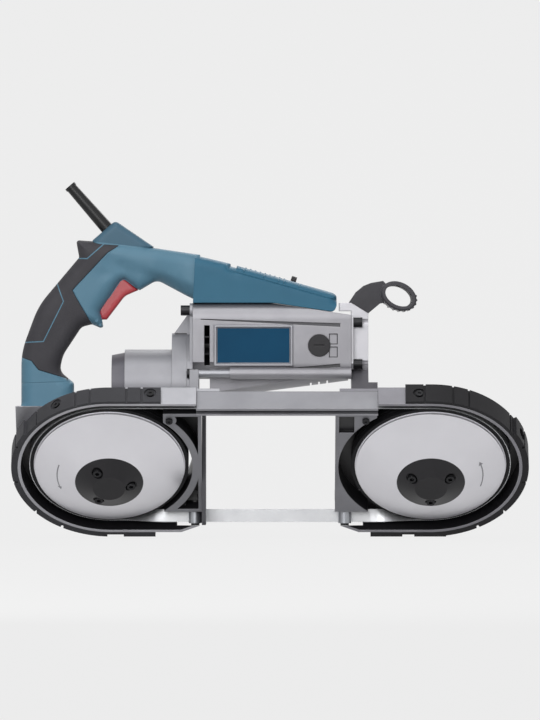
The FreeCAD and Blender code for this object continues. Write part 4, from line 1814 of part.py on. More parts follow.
def armature():
    """Armature: shaft, slotted core, winding ends and motor pinion."""
    right = STATOR_LEFT + STATOR_LENGTH
    core = rod(ARMATURE_RADIUS, STATOR_LENGTH, motor_point(STATOR_LEFT), X_AXIS)
    cuts = []
    for i in range(ARMATURE_SLOTS):
        half = ARMATURE_SLOT_WIDTH / 2
        slot = block(STATOR_LEFT - OVERRUN, right + OVERRUN, -half, half,
                     ARMATURE_RADIUS - ARMATURE_SLOT_DEPTH, ARMATURE_RADIUS + OVERRUN)
        slot.rotate(ORIGIN, X_AXIS, FULL_TURN * i / ARMATURE_SLOTS)
        slot.translate(V(0, 0, MOTOR_Z))
        cuts.append(slot)
    core = core.cut(grouped(cuts))
    pinion_left = CHAMBER_RIGHT - FIRST_GEAR_SIDE_GAP / 2 - MOTOR_PINION_WIDTH
    phase = -math.pi / 2 + math.pi / MOTOR_PINION_TEETH
    pinion = spur_along_x(MOTOR_PINION_TEETH, phase, pinion_left, MOTOR_Z, MOTOR_PINION_WIDTH)
    end = MOTOR_RIGHT - MOTOR_END_WALL + MOTOR_END_BEARING_WIDTH - RUN_GAP
    pieces = [
        rod(SHAFT_RADIUS, end - pinion_left, motor_point(pinion_left), X_AXIS), core, pinion,
        rod(WINDING_RADIUS, STATOR_LENGTH + 2 * WINDING_LENGTH,
            motor_point(STATOR_LEFT - WINDING_LENGTH), X_AXIS),
    ]
    return fused(pieces)


def commutator():
    """Copper commutator with its segment slots."""
    left = BRUSH_X - COMMUTATOR_LENGTH / 2
    body = ring(COMMUTATOR_RADIUS, SHAFT_RADIUS + SEAT_GAP, COMMUTATOR_LENGTH, motor_point(left), X_AXIS)
    cuts = []
    for i in range(COMMUTATOR_SLOTS):
        half = COMMUTATOR_SLOT_WIDTH / 2
        slot = block(left - OVERRUN, left + COMMUTATOR_LENGTH + OVERRUN, -half, half,
                     COMMUTATOR_RADIUS - COMMUTATOR_SLOT_DEPTH, COMMUTATOR_RADIUS + OVERRUN)
        slot.rotate(ORIGIN, X_AXIS, FULL_TURN * i / COMMUTATOR_SLOTS)
        slot.translate(V(0, 0, MOTOR_Z))
        cuts.append(slot)
    return body.cut(grouped(cuts))


def fan():
    """Cooling fan behind the vent slots."""
    pieces = [
        rod(FAN_RADIUS, FAN_DISC, motor_point(FAN_LEFT + FAN_LENGTH - FAN_DISC), X_AXIS),
        rod(FAN_HUB_RADIUS, FAN_LENGTH, motor_point(FAN_LEFT), X_AXIS),
    ]
    for i in range(FAN_BLADES):
        half = FAN_BLADE_THICKNESS / 2
        vane = block(FAN_LEFT, FAN_LEFT + FAN_LENGTH, -half, half, FAN_HUB_RADIUS / 2, FAN_RADIUS - half)
        vane.rotate(ORIGIN, X_AXIS, FULL_TURN * i / FAN_BLADES)
        vane.translate(V(0, 0, MOTOR_Z))
        pieces.append(vane)
    bore = rod(SHAFT_RADIUS + SEAT_GAP, FAN_LENGTH + 2 * OVERRUN, motor_point(FAN_LEFT - OVERRUN), X_AXIS)
    return fused(pieces).cut(bore)


def brush_box(margin, start, end, side):
    """Rectangular column towards the commutator."""
    ends = sorted((side * start, side * end))
    return block(BRUSH_X - BRUSH_WIDTH / 2 - margin, BRUSH_X + BRUSH_WIDTH / 2 + margin, ends[0], ends[1],
                 MOTOR_Z - BRUSH_HEIGHT / 2 - margin, MOTOR_Z + BRUSH_HEIGHT / 2 + margin)


def brush_cap_inner():
    """Distance of a brush cap's inner face from the motor's axis."""
    return MOTOR_HALF_WIDTH + BRUSH_CAP_PROUD - BRUSH_CAP_THICKNESS


def brush_gear():
    """Carbon brushes and the brass holders round them."""
    solids = []
    first = COMMUTATOR_RADIUS + RUN_GAP
    for side in (-1, 1):
        solids.append(brush_box(0, first, first + BRUSH_LENGTH, side))
        shell = brush_box(HOLDER_WALL + SEAT_GAP, first + 2 * HOLDER_WALL, brush_cap_inner(), side)
        solids.append(shell.cut(brush_box(SEAT_GAP, first, MOTOR_HALF_WIDTH, side)))
    return grouped(solids)


def brush_caps():
    """Slotted screw caps over the brushes on both flanks."""
    caps = []
    for side in (-1, 1):
        out = Y_AXIS * side
        base = V(BRUSH_X, 0, MOTOR_Z) + out * brush_cap_inner()
        cap = rod(BRUSH_CAP_RADIUS, BRUSH_CAP_THICKNESS, base, out)
        face = brush_cap_inner() + BRUSH_CAP_THICKNESS
        ends = sorted((side * (face - BRUSH_CAP_THICKNESS / 3), side * (face + OVERRUN)))
        slot = block(BRUSH_X - BRUSH_CAP_DIMPLE, BRUSH_X + BRUSH_CAP_DIMPLE, ends[0], ends[1],
                     MOTOR_Z - BRUSH_CAP_SLOT / 2, MOTOR_Z + BRUSH_CAP_SLOT / 2)
        caps.append(cap.cut(slot))
    return grouped(caps)


def housing_bolts():
    """Socket bolts and tie rods through the motor's ends, and the screws of the handles."""
    bolts = []
    ear_left = GEAR_PLATE_RIGHT - EAR_THICKNESS
    for y, z in left_bolt_places():
        length = EAR_THICKNESS + BOLT_THREAD_LENGTH - OVERRUN
        bolts.append(socket_screw(BOLT_CAP_RADIUS, BOLT_CAP_LENGTH, BOLT_SOCKET_RADIUS, BOLT_SOCKET_DEPTH,
                                  BOLT_RADIUS, length, V(ear_left, y, z), X_AXIS))
    for y, z in tie_rod_places():
        length = TIE_BOSS_LEFT - GEAR_PLATE_RIGHT + BOLT_THREAD_LENGTH - OVERRUN
        bolts.append(socket_screw(TIE_HEAD_RADIUS, TIE_HEAD_LENGTH, BOLT_SOCKET_RADIUS, BOLT_SOCKET_DEPTH,
                                  BOLT_RADIUS, length, V(GEAR_PLATE_RIGHT, y, z), X_AXIS))
    for y, z in right_bolt_places():
        seat = MOTOR_RIGHT + BRACKET_EAR
        length = BRACKET_EAR + MOTOR_END_WALL - OVERRUN
        bolts.append(socket_screw(BOLT_CAP_RADIUS, BOLT_CAP_LENGTH, BOLT_SOCKET_RADIUS, BOLT_SOCKET_DEPTH,
                                  BOLT_RADIUS, length, V(seat, y, z), -X_AXIS))
    for x in base_screw_xs():
        seat = HANDLE_BASE - BASE_SCREW_SEAT
        bolts.append(socket_screw(HUB_SCREW_HEAD_RADIUS, BOLT_HEAD_HEIGHT, HUB_SCREW_SOCKET_RADIUS,
                                  BOLT_HEAD_HEIGHT / 2, BASE_SCREW_RADIUS,
                                  BASE_SCREW_SEAT + BASE_SCREW_LENGTH,
                                  V(x, 0, seat), Z_AXIS))
    for start, axis in front_bolt_lines():
        bolts.append(socket_screw(HUB_SCREW_HEAD_RADIUS, BOLT_HEAD_HEIGHT, HUB_SCREW_SOCKET_RADIUS,
                                  BOLT_HEAD_HEIGHT / 2, HUB_SCREW_RADIUS, FRONT_BOLT_LENGTH, start, axis))
    return grouped(bolts + handle_screws())


# Front bracket and front handle

def bracket_top_ends():
    """The two ends of the bracket's sloped top, which carries the front handle."""
    high = V(MOTOR_RIGHT, 0, MOTOR_TOP)
    low = V(MOTOR_RIGHT + BRACKET_THICKNESS, 0, MOTOR_TOP - BRACKET_TOP_DROP)
    return high, low


def front_bolt_lines():
    """Seats and directions of the two screws that come up through the bracket into the front handle."""
    high, low = bracket_top_ends()
    along = low - high
    middle = high + along * FRONT_BOLT_SHARE
    along.normalize()
    up = V(-along.z, 0, along.x)
    lines = []
    for side in (-1, 1):
        lines.append((middle + Y_AXIS * (side * FRONT_BOLT_SIDE) - up * FRONT_BOLT_SEAT, up))
    return lines


def front_bracket():
    """Cast bracket from the right housing's back plate up to the motor's end and the front handle."""
    high, low = bracket_top_ends()
    right = MOTOR_RIGHT + BRACKET_THICKNESS
    ear = MOTOR_RIGHT + BRACKET_EAR
    leg_top = MOTOR_Z - BRACKET_LEG_TOP
    post = flat_face([V(high.x, 0, high.z), V(low.x, 0, low.z), V(right, 0, leg_top),
                      V(MOTOR_RIGHT, 0, leg_top)])
    post = across(post, BRACKET_HALF_WIDTH)
    wide = across(flat_face([V(MOTOR_RIGHT, 0, MOTOR_Z + RIGHT_BOLT_RISE + BOLT_CAP_RADIUS),
                             V(ear, 0, MOTOR_Z + RIGHT_BOLT_RISE + BOLT_CAP_RADIUS),
                             V(ear, 0, leg_top), V(MOTOR_RIGHT, 0, leg_top)]),
                  RIGHT_BOLT_SIDE + BOLT_CAP_RADIUS)
    ledge = block(MOTOR_RIGHT - BRACKET_LEDGE, MOTOR_RIGHT, -BRACKET_HALF_WIDTH, BRACKET_HALF_WIDTH,
                  MOTOR_TOP - BRACKET_LEDGE_HEIGHT, MOTOR_TOP)
    foot_high = LOOP.multVec(V(0, BRACKET_FOOT_HIGH, PLATE_BACK))
    foot_low = LOOP.multVec(V(0, BRACKET_FOOT_LOW, PLATE_BACK))
    leg = flat_face([V(MOTOR_RIGHT, BRACKET_HALF_WIDTH, leg_top),
                     V(MOTOR_RIGHT, -BRACKET_HALF_WIDTH, leg_top),
                     V(MOTOR_RIGHT, foot_high.y, foot_high.z), V(MOTOR_RIGHT, foot_low.y, foot_low.z)])
    leg = leg.extrude(V(BRACKET_THICKNESS, 0, 0))
    mid_y = (foot_high.y - BRACKET_HALF_WIDTH) / 2
    mid_z = (foot_high.z + leg_top) / 2
    flare = flat_face([V(MOTOR_RIGHT, mid_y, mid_z), V(MOTOR_RIGHT, foot_high.y, foot_high.z),
                       V(MOTOR_RIGHT, foot_low.y, foot_low.z)])
    flare = flare.extrude(V(BRACKET_THICKNESS + BRACKET_FLARE, 0, 0))
    body = fused([post, wide, leg, flare, ledge.cut(motor_envelope())])
    cuts = []
    for y, z in right_bolt_places():
        cuts.append(rod(BOLT_RADIUS + SEAT_GAP, BRACKET_THICKNESS + 2 * OVERRUN,
                        V(MOTOR_RIGHT - OVERRUN, y, z), X_AXIS))
        cuts.append(rod(BOLT_CAP_RADIUS + RUN_GAP, BRACKET_THICKNESS, V(ear, y, z), X_AXIS))
    for place in bracket_screw_places():
        length = 3 * PLATE_THICKNESS - PLATE_THICKNESS + OVERRUN
        cuts.append(in_loop(rod(HUB_SCREW_RADIUS + SEAT_GAP, length, place + Z_AXIS * PLATE_BACK, -Z_AXIS)))
    for start, axis in front_bolt_lines():
        cuts.append(rod(HUB_SCREW_RADIUS + SEAT_GAP, FRONT_BOLT_LENGTH, start, axis))
        cuts.append(rod(HUB_SCREW_HEAD_RADIUS + RUN_GAP, 3 * BOLT_HEAD_HEIGHT, start, -axis))
    for cut in cuts:
        body = body.cut(cut)
    return body


def motor_envelope():
    """Space that the motor housing and the bracket's ledge must not share."""
    half = MOTOR_HALF_WIDTH + OVERRUN
    points = [V(MOTOR_SLOPE_START, -half, MOTOR_TOP), V(MOTOR_RIGHT, -half, motor_top_at(MOTOR_RIGHT)),
              V(MOTOR_RIGHT, -half, MOTOR_Z), V(MOTOR_SLOPE_START, -half, MOTOR_Z)]
    return flat_face(points).extrude(V(0, 2 * half, 0))


def oval(long_radius, short_radius, half_width):
    """Oval column across the saw at the front grip."""
    curve = Part.Ellipse(ORIGIN, long_radius, short_radius).toShape()
    face = Part.Face(Part.Wire(curve))
    face.rotate(ORIGIN, X_AXIS, 90)
    face.rotate(ORIGIN, Y_AXIS, -FRONT_TUBE_LEAN)
    face.translate(V(FRONT_CENTRE_X, -half_width, MOTOR_Z + FRONT_CENTRE_RISE))
    return face.extrude(V(0, 2 * half_width, 0))


def front_handle():
    """Front handle: a hollow oval grip across the saw on a curved arm."""
    high, low = bracket_top_ends()
    along = low - high
    up = V(-along.z, 0, along.x)
    up.normalize()
    back = [high + along * s + up * (t * FRONT_ARM_HEIGHT) for s, t in FRONT_ARM_BACK_SHARES]
    front = [high + along * s + up * (t * FRONT_ARM_HEIGHT) for s, t in FRONT_ARM_FRONT_SHARES]
    centre = V(FRONT_CENTRE_X, 0, MOTOR_Z + FRONT_CENTRE_RISE)
    arm = across(flat_face(back + [centre] + front[::-1]), FRONT_ARM_HALF)
    tube = oval(FRONT_TUBE_LONG, FRONT_TUBE_SHORT, FRONT_TUBE_HALF)
    near = FRONT_TUBE_HALF / 100
    ends = [edge for edge in tube.Edges if abs(abs(edge.CenterOfMass.y) - FRONT_TUBE_HALF) < near]
    tube = tube.makeChamfer((FRONT_TUBE_SHORT - FRONT_BORE_SHORT) / 3, ends)
    body = fused([arm, tube])
    body = body.cut(oval(FRONT_BORE_LONG, FRONT_BORE_SHORT, FRONT_TUBE_HALF + OVERRUN))
    for start, axis in front_bolt_lines():
        body = body.cut(rod(HUB_SCREW_RADIUS + SEAT_GAP, FRONT_BOLT_LENGTH + SEAT_GAP, start, axis))
    return body


# Main handle, cover and what they hold

def handle_point(share_x, share_z):
    """A point of the handle's side view, from shares of its length and height."""
    return V(HANDLE_LEFT + share_x * HANDLE_LENGTH, 0, HANDLE_BASE + share_z * HANDLE_HEIGHT)


def handle_prism(shares, half_width):
    """Solid across the handle with an outline given in shares."""
    return across(flat_face([handle_point(*share) for share in shares]), half_width)


def handle_face():
    """Side outline of the handle."""
    corners = []
    for share_x, share_z, round_share in HANDLE_SHARES:
        place = handle_point(share_x, share_z)
        corners.append((place.x, place.z, round_share * HANDLE_LENGTH))
    return rounded_face(corners)


def cover_point(share_x, share_z):
    """A point of the cover's side view."""
    return V(COVER_LEFT + share_x * COVER_LENGTH, 0, COVER_BASE + share_z * COVER_HEIGHT)


def cover_face():
    """Side outline of the cover over the motor."""
    points = [cover_point(*share) for share in COVER_SHARES]
    right = points[-1].x
    points.append(V(right, 0, motor_top_at(right)))
    points.append(V(MOTOR_SLOPE_START, 0, MOTOR_TOP))
    return flat_face(points)


def sleeve_frame():
    """Start point and direction of the cord sleeve."""
    turn = math.radians(SLEEVE_ANGLE)
    return handle_point(*SLEEVE_START_SHARES), V(math.cos(turn), 0, math.sin(turn))


def cord_sleeve():
    """Rubber sleeve that keeps the cord from kinking, open for the cord."""
    start, along = sleeve_frame()
    taper = Part.makeCone(SLEEVE_RADIUS, SLEEVE_TIP_RADIUS, SLEEVE_LENGTH, start, along)
    root = rod(SLEEVE_RADIUS, SLEEVE_SOCKET, start, -along)
    lip = rod(SLEEVE_LIP_RADIUS, SLEEVE_LIP, start + along * (SLEEVE_LENGTH - SLEEVE_LIP), along)
    body = fused([taper, root, lip])
    bore = rod(SLEEVE_BORE, SLEEVE_LENGTH + SLEEVE_SOCKET + 2 * OVERRUN,
               start - along * (SLEEVE_SOCKET + OVERRUN), along)
    return body.cut(bore)


def handle_outer():
    """Outer form of the handle without the soft skin's parting, both halves together."""
    main = softened(across(handle_face(), GRIP_HALF_WIDTH), GRIP_ROUND, GRIP_HALF_WIDTH)
    start, along = sleeve_frame()
    collar = rod(COLLAR_RADIUS, COLLAR_LENGTH, start, -along)
    wedge = handle_prism(COLLAR_WEDGE_SHARES, COLLAR_WEDGE_HALF_WIDTH)
    horn = handle_prism(HORN_SHARES, HORN_HALF_WIDTH)
    tip = handle_prism(TIP_SHARES, TIP_HALF_WIDTH)
    return fused([main, collar, wedge, horn, tip])


def handle_core(inset):
    """The handle's inner form, inset under the soft skin."""
    face = handle_face().makeOffset2D(-inset)
    return across(face, GRIP_HALF_WIDTH - inset)


def grip_region():
    """Space where the handle is covered by the soft skin."""
    return handle_prism(GRIP_REGION_SHARES, 2 * GRIP_HALF_WIDTH)


def half_of(shape, side):
    """The half of a shape on one side of the handle's middle plane."""
    box = shape.BoundBox
    ends = sorted((0, side * (2 * COVER_HALF_WIDTH)))
    keep = block(box.XMin - OVERRUN, box.XMax + OVERRUN, ends[0], ends[1], box.ZMin - OVERRUN,
                 box.ZMax + OVERRUN)
    return shape.common(keep)


def trigger_space():
    """Pocket for the trigger, with the notch that shows it from the side."""
    pocket = handle_prism(TRIGGER_POCKET_SHARES, TRIGGER_HALF_WIDTH + RUN_GAP)
    notch = handle_prism(TRIGGER_NOTCH_SHARES, 2 * GRIP_HALF_WIDTH)
    pivot = handle_point(*TRIGGER_PIVOT_SHARES)
    half = TRIGGER_PIN_HALF_LENGTH + RUN_GAP
    holes = rod(TRIGGER_PIN_RADIUS + BEARING_GAP, 2 * half, pivot - Y_AXIS * half, Y_AXIS)
    return [pocket, notch, holes]


def handle_screw_points():
    """Middle plane points of the screws that join the two shells."""
    return [handle_point(*share) for share in HANDLE_SCREW_SHARES]


def handle_screw_reach(point):
    """Half width of the shells where a screw joins them."""
    return COVER_HALF_WIDTH if point.x > COVER_LEFT else GRIP_HALF_WIDTH


def handle_cavity():
    """Hollow inside the shells, less the bosses for their screws."""
    wall = SKIN + SHELL_WALL
    grip = across(handle_face().makeOffset2D(-wall), GRIP_HALF_WIDTH - wall)
    cover = across(cover_face().makeOffset2D(-SHELL_WALL), COVER_HALF_WIDTH - SHELL_WALL)
    cavity = grip.fuse(cover)
    for point in handle_screw_points():
        half = handle_screw_reach(point)
        cavity = cavity.cut(rod(HANDLE_SCREW_BOSS, 2 * half, point - Y_AXIS * half, Y_AXIS))
    return cavity


def dial_frame():
    """Centre of the speed dial, the direction along the cover's slope and the one out of it."""
    high = cover_point(*COVER_SHARES[2])
    low = cover_point(*COVER_SHARES[3])
    along = low - high
    share = (DIAL_SHARE - COVER_SHARES[2][0]) / (COVER_SHARES[3][0] - COVER_SHARES[2][0])
    surface = high + along * share
    along.normalize()
    out = V(-along.z, 0, along.x)
    return surface - out * (DIAL_RADIUS - DIAL_PROUD), along, out


def speed_dial():
    """Notched thumb wheel for the blade's speed, with its two pins."""
    centre, along, out = dial_frame()
    wheel = rod(DIAL_RADIUS, DIAL_THICKNESS, centre - along * (DIAL_THICKNESS / 2), along)
    length = DIAL_THICKNESS + 2 * DIAL_PIN_LENGTH
    pin = rod(DIAL_PIN_RADIUS, length, centre - along * (length / 2), along)
    cuts = []
    for i in range(DIAL_NOTCHES):
        turn = 2 * math.pi * i / DIAL_NOTCHES
        place = centre + out * (DIAL_RADIUS * math.cos(turn)) + Y_AXIS * (DIAL_RADIUS * math.sin(turn))
        cuts.append(rod(DIAL_NOTCH_RADIUS, DIAL_THICKNESS + 2 * OVERRUN,
                        place - along * (DIAL_THICKNESS / 2 + OVERRUN), along))
    return wheel.cut(grouped(cuts)).fuse(pin)


def speed_module():
    """Board under the dial, with the two ears that hold its pins, and the switch behind the trigger."""
    centre, along, out = dial_frame()
    floor = DIAL_RADIUS + RUN_GAP
    board = block(-MODULE_LENGTH / 2, MODULE_LENGTH / 2, -MODULE_HALF_WIDTH, MODULE_HALF_WIDTH,
                  -floor - MODULE_HEIGHT, -floor)
    pieces = [board]
    inside = DIAL_THICKNESS / 2 + RUN_GAP
    for side in (-1, 1):
        ends = sorted((side * inside, side * (inside + MODULE_EAR)))
        pieces.append(block(ends[0], ends[1], -MODULE_EAR, MODULE_EAR, -floor, MODULE_EAR_TOP))
    body = fused(pieces)
    hole = rod(DIAL_PIN_RADIUS + BEARING_GAP, MODULE_LENGTH, V(-MODULE_LENGTH / 2, 0, 0), X_AXIS)
    body = body.cut(hole)
    lean = math.degrees(math.atan2(-along.z, along.x))
    body.rotate(ORIGIN, Y_AXIS, lean)
    body.translate(centre)
    left, low, right, high = SWITCH_SHARES
    corner = handle_point(left, low)
    far = handle_point(right, high)
    switch = block(corner.x, far.x, -SWITCH_HALF_WIDTH, SWITCH_HALF_WIDTH, corner.z, far.z)
    return grouped([body, switch])


def dial_slot():
    """Slot in the cover that the dial stands out of."""
    centre, along, out = dial_frame()
    half = DIAL_THICKNESS / 2 + RUN_GAP
    return rod(DIAL_RADIUS + RUN_GAP, 2 * half, centre - along * half, along)


def cover_vents():
    """Vent slots across the cover's sloping top."""
    cuts = []
    high = cover_point(*COVER_SHARES[2])
    low = cover_point(*COVER_SHARES[3])
    for share in COVER_VENT_SHARES:
        part = (share - COVER_SHARES[2][0]) / (COVER_SHARES[3][0] - COVER_SHARES[2][0])
        place = high + (low - high) * part
        cuts.append(block(place.x, place.x + COVER_VENT_WIDTH, -COVER_VENT_HALF, COVER_VENT_HALF,
                          place.z - COVER_VENT_DEPTH, place.z + COVER_VENT_DEPTH))
    return cuts


def handle_shell(side):
    """One half of the blue handle and motor cover."""
    skin_core = handle_core(SKIN + SEAT_GAP)
    cover = softened(across(cover_face(), COVER_HALF_WIDTH), COVER_ROUND, COVER_HALF_WIDTH)
    handle = handle_outer()
    handle = handle.cut(grip_region()).fuse(skin_core.common(grip_region()))
    body = handle.fuse(cover).removeSplitter()
    cuts = [handle_cavity()] + trigger_space() + [dial_slot()] + cover_vents()
    start, along = sleeve_frame()
    cuts.append(rod(SLEEVE_RADIUS + SEAT_GAP, SLEEVE_SOCKET + OVERRUN, start + along * OVERRUN, -along))
    cuts.append(rod(SLEEVE_BORE + RUN_GAP, COLLAR_LENGTH, start, -along))
    for x in base_screw_xs():
        cuts.append(rod(BASE_SCREW_RADIUS + SEAT_GAP, BASE_SCREW_LENGTH + SEAT_GAP, V(x, 0, HANDLE_BASE),
                        Z_AXIS))
    for point in handle_screw_points():
        half = handle_screw_reach(point)
        cuts.append(rod(HANDLE_SCREW_RADIUS + SEAT_GAP, 2 * half, point - Y_AXIS * (half / 2), Y_AXIS))
        seat = half - SKIN - HANDLE_SCREW_HEAD
        cuts.append(rod(HANDLE_SCREW_HEAD_RADIUS + SEAT_GAP, half, point + Y_AXIS * seat, Y_AXIS))
    for cut in cuts:
        body = body.cut(cut)
    return half_of(body, side)


def grip_overmould():
    """Soft skin on the back of the grip, a half on each shell."""
    skin = handle_outer().common(grip_region()).cut(handle_core(SKIN))
    start, along = sleeve_frame()
    skin = skin.cut(rod(SLEEVE_RADIUS + SEAT_GAP, SLEEVE_SOCKET + OVERRUN, start + along * OVERRUN, -along))
    for cut in trigger_space():
        skin = skin.cut(cut)
    for point in handle_screw_points():
        half = handle_screw_reach(point)
        skin = skin.cut(rod(HANDLE_SCREW_HEAD_RADIUS + SEAT_GAP, half, point + Y_AXIS * (half / 2), Y_AXIS))
    solids = []
    for side in (-1, 1):
        solids += half_of(skin, side).Solids
    return grouped(solids)


def handle_screws():
    """Screws that join the two shells, from the far side."""
    screws = []
    for point in handle_screw_points():
        half = handle_screw_reach(point)
        seat = point + Y_AXIS * (half - SKIN - HANDLE_SCREW_HEAD)
        screws.append(socket_screw(HANDLE_SCREW_HEAD_RADIUS, HANDLE_SCREW_HEAD, SCREW_SOCKET_RADIUS,
                                   HANDLE_SCREW_HEAD / 2, HANDLE_SCREW_RADIUS, half, seat, -Y_AXIS))
    return screws


def trigger():
    """Red trigger with its own pivot pins."""
    body = handle_prism(TRIGGER_SHARES, TRIGGER_HALF_WIDTH)
    pivot = handle_point(*TRIGGER_PIVOT_SHARES)
    half = TRIGGER_PIN_HALF_LENGTH
    return body.fuse(rod(TRIGGER_PIN_RADIUS, 2 * half, pivot - Y_AXIS * half, Y_AXIS)).removeSplitter()


# The whole saw

NODES = {
    "blade": blade,
    "drive_wheel": drive_wheel,
    "drive_tyre": lambda: tyre(LEFT_WHEEL),
    "drive_hub": lambda: hub(LEFT_WHEEL, DRIVE_SCREW_ANGLE),
    "drive_hub_screws": lambda: hub_screws(LEFT_WHEEL, DRIVE_SCREW_ANGLE),
    "drive_axle": drive_axle,
    "idler_wheel": idler_wheel,
    "idler_tyre": lambda: tyre(RIGHT_WHEEL),
    "idler_hub": lambda: hub(RIGHT_WHEEL, IDLER_SCREW_ANGLE),
    "idler_hub_screws": lambda: hub_screws(RIGHT_WHEEL, IDLER_SCREW_ANGLE),
    "idler_axle": idler_axle,
    "idler_bearings": idler_bearings,
    "left_wheel_housing": left_wheel_housing,
    "right_wheel_housing": right_wheel_housing,
    "top_beam": top_beam,
    "left_bumper": lambda: bumper(-1, LEFT_WHEEL, LEFT_BUMPER_TOP_END, LEFT_BUMPER_LOW_END,
                                  LEFT_BUMPER_BACK,
                                  LEFT_GROOVE_ANGLES, 1),
    "right_bumper": lambda: bumper(1, RIGHT_WHEEL, RIGHT_BUMPER_TOP_END, RIGHT_BUMPER_LOW_END,
                                   RIGHT_BUMPER_BACK,
                                   RIGHT_GROOVE_ANGLES, 2),
    "frame_screws": frame_screws,
    "left_guide_arm": lambda: guide_arm(-1, LEFT_WHEEL, LEFT_ARM_FACE, 0, True),
    "right_guide_arm": lambda: guide_arm(1, RIGHT_WHEEL, RIGHT_ARM_FACE, TENSION_TRAVEL, False),
    "work_stop": work_stop,
    "left_front_roller": lambda: roller(-1, -ROLLER_REACH),
    "left_rear_roller": lambda: roller(-1, ROLLER_REACH),
    "left_thrust_roller": lambda: thrust_roller(-1),
    "right_front_roller": lambda: roller(1, -ROLLER_REACH),
    "right_rear_roller": lambda: roller(1, ROLLER_REACH),
    "right_thrust_roller": lambda: thrust_roller(1),
    "roller_pins": roller_pins,
    "tension_carriage": tension_carriage,
    "tension_cover": tension_cover,
    "tension_spring": tension_spring,
    "tension_lever": tension_lever,
    "gearcase": gearcase,
    "gearcase_cap": gearcase_cap,
    "gear_plate": gear_plate,
    "gear_bearings": gear_bearings,
    "final_gear": final_gear,
    "intermediate_shaft": intermediate_shaft,
    "bevel_gear": bevel_gear,
    "countershaft": countershaft,
    "first_gear": first_gear,
    "motor_housing": motor_housing,
    "nameplate": nameplate,
    "stator": stator,
    "field_coils": field_coils,
    "armature": armature,
    "commutator": commutator,
    "fan": fan,
    "brush_gear": brush_gear,
    "brush_caps": brush_caps,
    "housing_bolts": housing_bolts,
    "front_bracket": front_bracket,
    "front_handle": front_handle,
    "left_handle_shell": lambda: handle_shell(1),
    "right_handle_shell": lambda: handle_shell(-1),
    "grip_overmould": grip_overmould,
    "trigger": trigger,
    "speed_module": speed_module,
    "speed_dial": speed_dial,
    "cord_sleeve": cord_sleeve,
}


def build():
    """Every node's shape, moved so that the origin is at the middle of the saw's bottom."""
    shapes = {name: make() for name, make in NODES.items()}
    box = Part.makeCompound(list(shapes.values())).BoundBox
    shift = V(-box.Center.x, -box.Center.y, -box.ZMin)
    for shape in shapes.values():
        shape.translate(shift)
    return shapes, shift


def main():
    """Write one file for each node."""
    os.makedirs("parts", exist_ok=True)
    shapes, shift = build()
    print("blade length", round(BLADE_LOOP_LENGTH, 2), "shift", shift)
    for name, shape in shapes.items():
        shape.exportStep(f"parts/{name}.step")


if __name__ == "__main__":
    main()
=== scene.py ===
import functools
import logging
import math
from collections import Counter
from collections.abc import Iterator
from dataclasses import dataclass, field, replace
from enum import Enum

import bmesh
import bpy
import numpy as np
from bmesh.types import BMesh, BMVert
from bpy.types import Material, Mesh, Node, NodeSocket, NodeTree, Object
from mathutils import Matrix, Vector
from mathutils.geometry import delaunay_2d_cdt


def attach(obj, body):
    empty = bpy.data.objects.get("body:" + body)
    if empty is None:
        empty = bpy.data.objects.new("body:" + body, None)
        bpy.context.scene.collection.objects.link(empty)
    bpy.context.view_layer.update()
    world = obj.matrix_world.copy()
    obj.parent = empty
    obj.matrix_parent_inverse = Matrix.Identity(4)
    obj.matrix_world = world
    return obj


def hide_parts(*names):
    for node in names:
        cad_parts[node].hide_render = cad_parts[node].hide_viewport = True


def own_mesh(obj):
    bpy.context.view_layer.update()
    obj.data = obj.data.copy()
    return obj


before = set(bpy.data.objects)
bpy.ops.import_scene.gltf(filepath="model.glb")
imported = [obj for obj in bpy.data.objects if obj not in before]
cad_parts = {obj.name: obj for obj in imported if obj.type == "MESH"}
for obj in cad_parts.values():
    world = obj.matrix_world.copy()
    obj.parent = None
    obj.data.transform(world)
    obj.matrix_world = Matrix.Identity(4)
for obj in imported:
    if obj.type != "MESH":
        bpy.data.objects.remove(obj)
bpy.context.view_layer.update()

MM = 0.001
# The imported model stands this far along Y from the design's middle plane.
MIDDLE_Y = 18.5526
# Smallest length that anything is divided by.
TINY = 1e-9
# Millimetres within which points count as one, and the decimals that tell vertices apart.
SAME_POINT = 1e-4
SAME_DIGITS = 4
# Metres within which vertices are joined.
WELD = 1e-6
# Degrees past which an edge stays sharp.
SHARP = 32.0
# Radians that a wave texture turns through in one unit of its scale.
WAVE_RADIANS = 20.0
LOG = logging.getLogger("band_saw")

Point = tuple[float, float]
Triple = tuple[float, float, float]
Box = tuple[float, float, float, float]
Place = tuple[Vector, Vector, Vector]


def linear(code: str) -> tuple[float, float, float, float]:
    """Turns an sRGB hex colour into linear light.

    Args:
        code: Colour as #rrggbb.

    Returns:
        Red, green, blue and alpha.
    """
    values = [int(code[i:i + 2], 16) / 255 for i in (1, 3, 5)]
    light = [v / 12.92 if v <= 0.04045 else ((v + 0.055) / 1.055) ** 2.4 for v in values]
    return (*light, 1.0)


def per_size(size_mm: float) -> float:
    """Gives a noise scale whose features are about this many millimetres wide."""
    return 1 / (size_mm * MM)


def per_pitch(pitch_mm: float) -> float:
    """Gives a wave scale whose crests are this many millimetres apart."""
    return 2 * math.pi / (WAVE_RADIANS * pitch_mm * MM)


def eased(share: np.ndarray | float) -> np.ndarray | float:
    """Makes a share from 0 to 1 start and end gently."""
    return share * share * (3 - 2 * share)


def fill(tree: NodeTree, node: Node, inputs: dict) -> None:
    """Sets or links the inputs of a node.

    Args:
        tree: Tree that holds the node.
        node: The node.
        inputs: Value, source socket, or source node for its first output, by the input's name or number.
    """
    for key, value in inputs.items():
        source = value.outputs[0] if isinstance(value, Node) else value
        if isinstance(source, NodeSocket):
            tree.links.new(source, node.inputs[key])
        else:
            node.inputs[key].default_value = source


